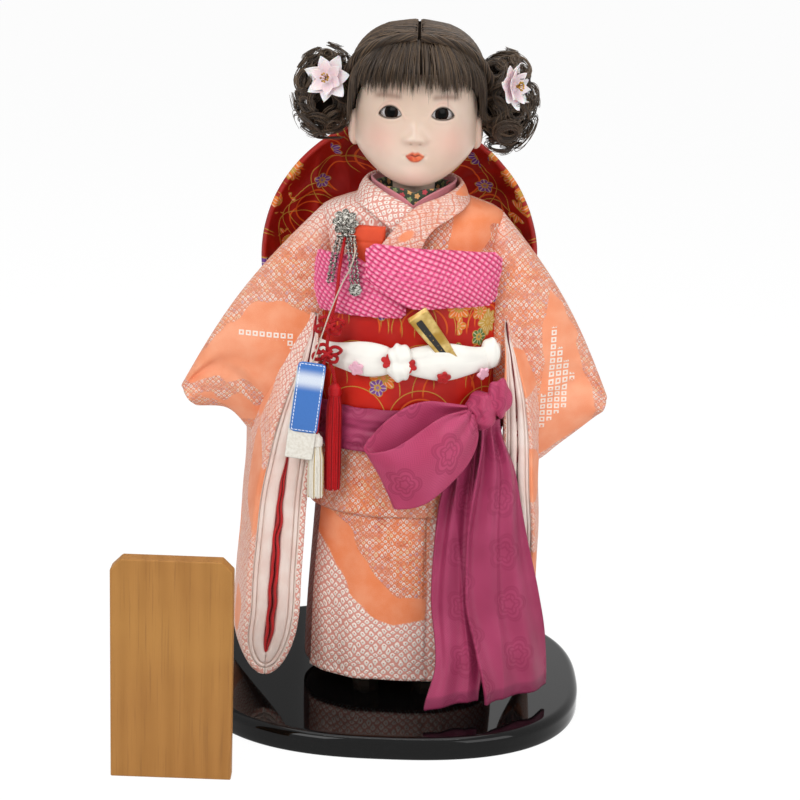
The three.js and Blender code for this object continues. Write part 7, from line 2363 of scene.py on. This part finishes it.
def charm_line(name, route, count, radius, sides, look, slot, *nodes, **facts):
    """A limp cord of the charm along its route."""
    path = through(route, count)
    piece = Piece()
    piece.tube(path, radius, sides)
    piece.make(name, [look], "charm", slot, *nodes)


def charm_cord():
    """The red cord from the pin, its clover knots, and the two tassels that it carries."""
    knots = Piece()
    for place in CHARM_ROUTE[3:5]:
        clover_knot(knots, place, 8.0)
    knot_piece = knots.make("charm_cord_knots", ["cord"], "charm", "red_cord", "charm_cord")
    red = tassel("red", (-46.5, -52, 219), 72.0)
    white = tassel("white", (-57.5, -57.5, 186), 43.0)
    for name, route, carried in (
        ("charm_cord_main", CHARM_ROUTE, [knot_piece, *red]),
        ("charm_cord_branch", WHITE_ROUTE, white),
    ):
        charm_line(name, route, 40, 1.1, 12, "cord", "red_cord", with_pieces=carried)


def tag_thread():
    """The thread that the tag hangs on."""
    charm_line("tag_thread_line", THREAD_ROUTE, 48, 0.45, 8, "thread", "white_silk", "tag_thread")


def tassel(name, top, length):
    """A tassel: bound head, waist and a skirt of many threads."""
    top = np.array(top, float)
    look = {"red": "tassel_red", "white": "tassel_white"}[name]
    profile = np.array([(0, 0.36), (3, 0.75), (7, 0.8), (9.5, 0.55), (15, 0.86), (length, 0.9)])
    drop = np.concatenate([np.linspace(0, 15, 26), np.linspace(15, length - 1.0, 24)[1:]])
    share = along_rows(profile, drop)[:, 0]
    turn = turns(40)
    bound = 1 + 0.05 * np.sin(drop * 5)[:, None] * (drop < 9)[:, None]
    reach = (5.4 * share * np.where(drop > 11, 0.72, 1.0))[:, None] * bound
    grid = stack(top[0] + reach * np.cos(turn), top[1] + reach * np.sin(turn), top[2] - drop[:, None])
    piece = Piece()
    piece.ring_solid(grid, lock=0.3)
    slot = {"red": "red_cord", "white": "white_silk"}[name]
    head = piece.make(f"tassel_{name}_head", [look], "charm", slot, f"tassel_{name}")
    random = np.random.default_rng(41)
    paths = []
    t = np.linspace(0, 1, 10)
    for _ in range(sizes().tassel_strands):
        phase = random.uniform(0, 2 * np.pi)
        ring = random.uniform(0.6, 1.0) ** 0.5
        down = mix(8.5, length + random.uniform(-1.6, 0.4), t)
        radius = 5.4 * along_rows(profile, down)[:, 0] * ring
        sway = 0.35 * np.sin(3 * t + phase)
        x = top[0] + radius * np.cos(phase) + sway * t
        y = top[1] + radius * np.sin(phase)
        paths.append((stack(x, y, top[2] - down), 1.0))
    skirt = strands(f"tassel_{name}_threads", paths, 0.00042, 4, 43, look)
    settle(skirt, "charm", slot)
    return [head, skirt]


def paper(name, node, look, centre, width, height, corner, body, slot):
    """A paper card: rounded corners, a little bow in its length."""
    u, v = lattice(60, 30)
    x = (v - 0.5) * width
    z = (0.5 - u) * height
    end = np.clip(np.abs(z) - (height / 2 - corner), 0, corner)
    reach = width / 2 - corner + np.sqrt(np.maximum(corner**2 - end**2, 0.0))
    x = x * reach / (width / 2)
    bow = 0.7 * (1 - (2 * u - 1) ** 2)
    tilt = np.radians(6.4)
    grid = stack(
        centre[0] + x * np.cos(tilt) + z * np.sin(tilt), centre[1] - bow,
        centre[2] - x * np.sin(tilt) + z * np.cos(tilt)
    )
    piece = Piece()
    flat = np.stack([x, z], -1)
    piece.cloth(grid, 0.8, out=(0, -1, 0), uv=flat)
    piece.make(name, [look], body, slot, node, merge=0)


def fan():
    """The folded fan: gilt guards with a dark stripe, and the leaves folded between them."""
    axis = unit((-0.56, -0.3, 0.77))
    across = -unit(np.cross((0, -1, 0), axis))
    through_axis = np.cross(axis, across)
    foot = on_front(np.array(31.0), 9.4, np.array(234.0))
    piece = Piece()
    run = np.linspace(0, 46, 40)[:, None]
    half = np.interp(run, (0, 2, 46), (3.15, 4.5, 7.0))
    leaves = 9
    for k in range(leaves):
        depth = mix(-2.2, 2.2, (k + 0.5) / leaves)
        guard = k in (0, leaves - 1)
        thick = 0.19 if not guard else 0.24
        v = np.linspace(-1, 1, 13)[None]
        shift = 0.0 if guard else 0.35 * (-1) ** k
        shrink = 1.0 if guard else 0.96
        place = foot + run[..., None] * axis * (1.0 if guard else 0.995)
        wave = 0.12 * np.sin(run / 3.0)
        grid = place + (half * shrink * v + shift)[..., None] * across + (
            depth + thick + wave * 0.3
        )[..., None] * through_axis
        stripe = np.broadcast_to(
            ((v > -0.62) & (v < 0.05)) * 1.0, grid.shape[:2],
        ) * smooth(4, 6, run) * smooth(44, 41, run)
        piece.cloth(grid, thick * 2, out=through_axis, stripe=stripe * (1.0 if guard else 0.0))
    piece.make("folded_fan_leaves", ["fan_gold"], "fan", "gold", "folded_fan", merge=0)


# Studio

FLOOR_REACH = 12.0
FLOOR_GREY = 0.86
FLOOR_GLOW = 0.88
WHITE_LEVEL = 1.06
SURROUND_LEVEL = 0.36


def studio_floor():
    """A plain pale floor, white to the camera, that keeps a soft shadow under the doll."""
    mesh = bpy.data.meshes.new("studio_floor")
    corners = [(x * FLOOR_REACH, y * FLOOR_REACH, 0) for x, y in ((-1, -1), (1, -1), (1, 1), (-1, 1))]
    mesh.from_pydata(corners, [], [(0, 1, 2, 3)])
    f = Finish(
        "Studio floor",
        {"Roughness": 0.9, "Base Color": (*[FLOOR_GREY] * 3, 1.0), "Specular IOR Level": 0.1},
    )
    seen, _ = f.seen_rays()
    glow = f.step("Emission", {"Strength": WHITE_LEVEL})
    both = f.step("MixShader", {0: seen * FLOOR_GLOW, 1: f.surface.outputs[0], 2: glow})
    feed(f.tree, f.tree.nodes["Material Output"].inputs["Surface"], both)
    mesh.materials.append(f.material)
    add_object("studio_floor", mesh)


def studio_light():
    """Two broad lamps in front, two above, and a pale surround whose back left is darker in mirrors."""
    world = bpy.data.worlds.new("Studio surround")
    bpy.context.scene.world = world
    world.use_nodes = True
    w = Steps(world.node_tree)
    ground = w.tree.nodes["Background"]
    ground.inputs["Color"].default_value = (1.0, 1.0, 1.0, 1.0)
    ground.inputs["Strength"].default_value = SURROUND_LEVEL
    seen, mirrored = w.seen_rays()
    x, y, _ = w.parts(w.step("TexCoord", {}, "Generated"))
    dark = {"Value": x, "From Min": -0.045, "From Max": 0.0, "To Min": 0.75, "To Max": 0.0}
    taken = (y > 0.5) * mirrored * w.step("MapRange", dark)
    shown = w.step("Background", {"Color": (1.0, 1.0, 1.0, 1.0), "Strength": WHITE_LEVEL - taken})
    both = w.step("MixShader", {0: seen, 1: ground.outputs[0], 2: shown})
    feed(w.tree, w.tree.nodes["World Output"].inputs["Surface"], both)
    for name, place, width, depth, power in (
        ("key_lamp", (-1.0, -1.5, 1.45), 1.1, 1.1, 19.5),
        ("fill_lamp", (1.25, -1.3, 1.0), 1.1, 1.1, 12.0),
        ("top_lamp", (0.0, 0.15, 1.9), 1.3, 1.3, 11.0),
        ("strip_lamp", (0.05, -0.5, 1.6), 0.9, 0.035, 2.2),
    ):
        lamp = bpy.data.lights.new(name, "AREA")
        lamp.shape = "RECTANGLE"
        lamp.size = width
        lamp.size_y = depth
        lamp.energy = power
        holder = add_object(name, lamp)
        aim = Vector((0, 0, 0.24)) - Vector(place)
        holder.matrix_world = Matrix.Translation(place) @ aim.to_track_quat("-Z", "Y").to_matrix().to_4x4()


def studio_camera():
    """The photograph's view."""
    stage = bpy.context.scene.doll_stage
    pitch, roll = stage.pitch, stage.roll
    ahead = Vector((0.0, math.cos(pitch), -math.sin(pitch)))
    up = Vector((0.0, math.sin(pitch), math.cos(pitch)))
    right = Vector((1.0, 0.0, 0.0))
    across = right * math.cos(roll) + up * math.sin(roll)
    over = up * math.cos(roll) - right * math.sin(roll)
    lens = bpy.data.cameras.new("studio_camera")
    lens.sensor_width = 36.0
    lens.sensor_fit = "HORIZONTAL"
    lens.lens = stage.lens
    lens.clip_start = 0.01
    lens.clip_end = 60.0
    camera = add_object("studio_camera", lens)
    turn = Matrix((across, over, -ahead)).transposed().to_4x4()
    camera.matrix_world = Matrix.Translation(stage.camera_place) @ turn
    bpy.context.scene.camera = camera
    bpy.context.scene.view_settings.view_transform = "Standard"


# Operators


class DollOperator(bpy.types.Operator):
    """Base of the doll's operators: makes its pieces in order."""

    bl_options = {"REGISTER", "UNDO"}

    def execute(self, context):
        for make in self.pieces:
            make()
        return {"FINISHED"}


class DOLL_OT_stage(DollOperator):
    """Add the camera, the lamps and the floor"""

    bl_idname = "doll.stage"
    bl_label = "Stage"
    pieces = (studio_camera, studio_light, studio_floor)


class DOLL_OT_charm(DollOperator):
    """Add the cord with its knots and tassels, the thread, the tag and the card"""

    bl_idname = "doll.charm"
    bl_label = "Charm"

    def execute(self, context):
        charm_cord()
        tag_thread()
        paper("gift_tag_paper", "gift_tag", "tag", (-63.4, -64.5, 212.0), 18.0, 47.0, 2.6, "tag", "tag_blue")
        paper("tag_card_paper", "tag_card", "card", (-65.3, -63.2, 201.0), 18.0, 62.0, 0.3, "tag", "card")
        return {"FINISHED"}


class DOLL_OT_base(DollOperator):
    """Add the lacquer base"""

    bl_idname = "doll.base"
    bl_label = "Base"
    pieces = (display_base,)


class DOLL_OT_plaque(DollOperator):
    """Add the wooden plaque"""

    bl_idname = "doll.plaque"
    bl_label = "Plaque"

    def execute(self, context):
        softened("plaque", "plaque_board", "wood", 0.9, "plaque", "plaque_wood")
        return {"FINISHED"}


class DOLL_OT_inner(DollOperator):
    """Finish the torso, legs and pegs under the clothes"""

    bl_idname = "doll.inner"
    bl_label = "Inner pieces"
    pieces = (inner_pieces,)


class DOLL_OT_skin(DollOperator):
    """Add the head with its eyes, and the arms"""

    bl_idname = "doll.skin"
    bl_label = "Head and arms"

    def execute(self, context):
        head_skin()
        for sign in (RIGHT, LEFT):
            eye(sign)
            hand_and_arm(sign)
        return {"FINISHED"}


class DOLL_OT_hair(DollOperator):
    """Add the combed hair, the fringe, the buns and their flowers"""

    bl_idname = "doll.hair"
    bl_label = "Hair"

    def execute(self, context):
        hair_crown()
        hair_fringe()
        for sign in (RIGHT, LEFT):
            hair_bun(sign)
            hair_flower(sign)
        return {"FINISHED"}


class DOLL_OT_kimono(DollOperator):
    """Add the kimono's tube, its front panel and the fold at the waist"""

    bl_idname = "doll.kimono"
    bl_label = "Kimono"
    pieces = (kimono_body, front_panel, waist_fold)


class DOLL_OT_collars(DollOperator):
    """Add the three collars"""

    bl_idname = "doll.collars"
    bl_label = "Collars"

    def execute(self, context):
        kimono_collar()
        neck_ring("collar_edging_cloth", 0.3, 1.5, 2.6, 0.75, "edging", "edging", "collar_edging")
        neck_ring("under_collar_cloth", 2.1, 1.8, 10.4, 1.35, "embroidered", "dark_silk", "under_collar")
        return {"FINISHED"}


class DOLL_OT_sleeves(DollOperator):
    """Add the long sleeves with their linings and under-sleeves"""

    bl_idname = "doll.sleeves"
    bl_label = "Sleeves"

    def execute(self, context):
        for sign in (RIGHT, LEFT):
            sleeve(sign)
            sleeve_layers(sign)
        return {"FINISHED"}


class DOLL_OT_obi(DollOperator):
    """Add the obi, its bow and the pouch at the breast"""

    bl_idname = "doll.obi"
    bl_label = "Obi and bow"

    def execute(self, context):
        obi()
        bow_band()
        for sign in (RIGHT, LEFT):
            bow_wing(sign)
        bow_tail()
        pouch()
        return {"FINISHED"}


class DOLL_OT_scarf(DollOperator):
    """Add the tie-dyed scarf over the obi"""

    bl_idname = "doll.scarf"
    bl_label = "Scarf"

    def execute(self, context):
        scarf(over=False)
        scarf(over=True)
        return {"FINISHED"}


class DOLL_OT_padded_cord(DollOperator):
    """Add the padded cord with its knot and blossoms"""

    bl_idname = "doll.padded_cord"
    bl_label = "Padded cord"
    pieces = (padded_cord, cord_knot, blossoms)


class DOLL_OT_sash(DollOperator):
    """Add the damask sash: belt, loop, knot and tails"""

    bl_idname = "doll.sash"
    bl_label = "Sash"

    def execute(self, context):
        sash_belt()
        sash_loop()
        sash_knot()
        sash_tail("front", 2.5)
        sash_tail("side", -3.0)
        return {"FINISHED"}


class DOLL_OT_breast_pin(DollOperator):
    """Add the silver pin with its chains"""

    bl_idname = "doll.breast_pin"
    bl_label = "Breast pin"

    def execute(self, context):
        kanzashi_flower()
        chain("narrow")
        chain("wide")
        chain_disc()
        return {"FINISHED"}


class DOLL_OT_fan(DollOperator):
    """Add the folded fan"""

    bl_idname = "doll.fan"
    bl_label = "Fan"
    pieces = (fan,)


OPERATORS = (
    DOLL_OT_stage,
    DOLL_OT_charm,
    DOLL_OT_base,
    DOLL_OT_plaque,
    DOLL_OT_inner,
    DOLL_OT_skin,
    DOLL_OT_hair,
    DOLL_OT_kimono,
    DOLL_OT_collars,
    DOLL_OT_sleeves,
    DOLL_OT_obi,
    DOLL_OT_scarf,
    DOLL_OT_padded_cord,
    DOLL_OT_sash,
    DOLL_OT_breast_pin,
    DOLL_OT_fan,
)


class DOLL_PT_panel(bpy.types.Panel):
    """The doll's operators, colours and sizes"""

    bl_idname = "DOLL_PT_panel"
    bl_label = "Ichimatsu Doll"
    bl_space_type = "VIEW_3D"
    bl_region_type = "UI"
    bl_category = "Doll"

    def draw(self, context):
        column = self.layout.column()
        for operator in OPERATORS:
            column.operator(operator.bl_idname)
        for group in (context.scene.doll_colours, context.scene.doll_sizes, context.scene.doll_stage):
            for name in group.__annotations__:
                column.prop(group, name)


GROUPS = {"doll_colours": DollColours, "doll_sizes": DollSizes, "doll_stage": DollStage}


def register():
    for group in GROUPS.values():
        bpy.utils.register_class(group)
    for name, group in GROUPS.items():
        setattr(bpy.types.Scene, name, bpy.props.PointerProperty(type=group))
    for kind in (*OPERATORS, DOLL_PT_panel):
        bpy.utils.register_class(kind)


def unregister():
    for kind in (DOLL_PT_panel, *reversed(OPERATORS)):
        bpy.utils.unregister_class(kind)
    for name in GROUPS:
        delattr(bpy.types.Scene, name)
    for group in reversed(GROUPS.values()):
        bpy.utils.unregister_class(group)


def main():
    register()
    for operator in OPERATORS:
        family, name = operator.bl_idname.split(".")
        getattr(getattr(bpy.ops, family), name)()
    bpy.context.view_layer.update()


if __name__ == "__main__":
    main()
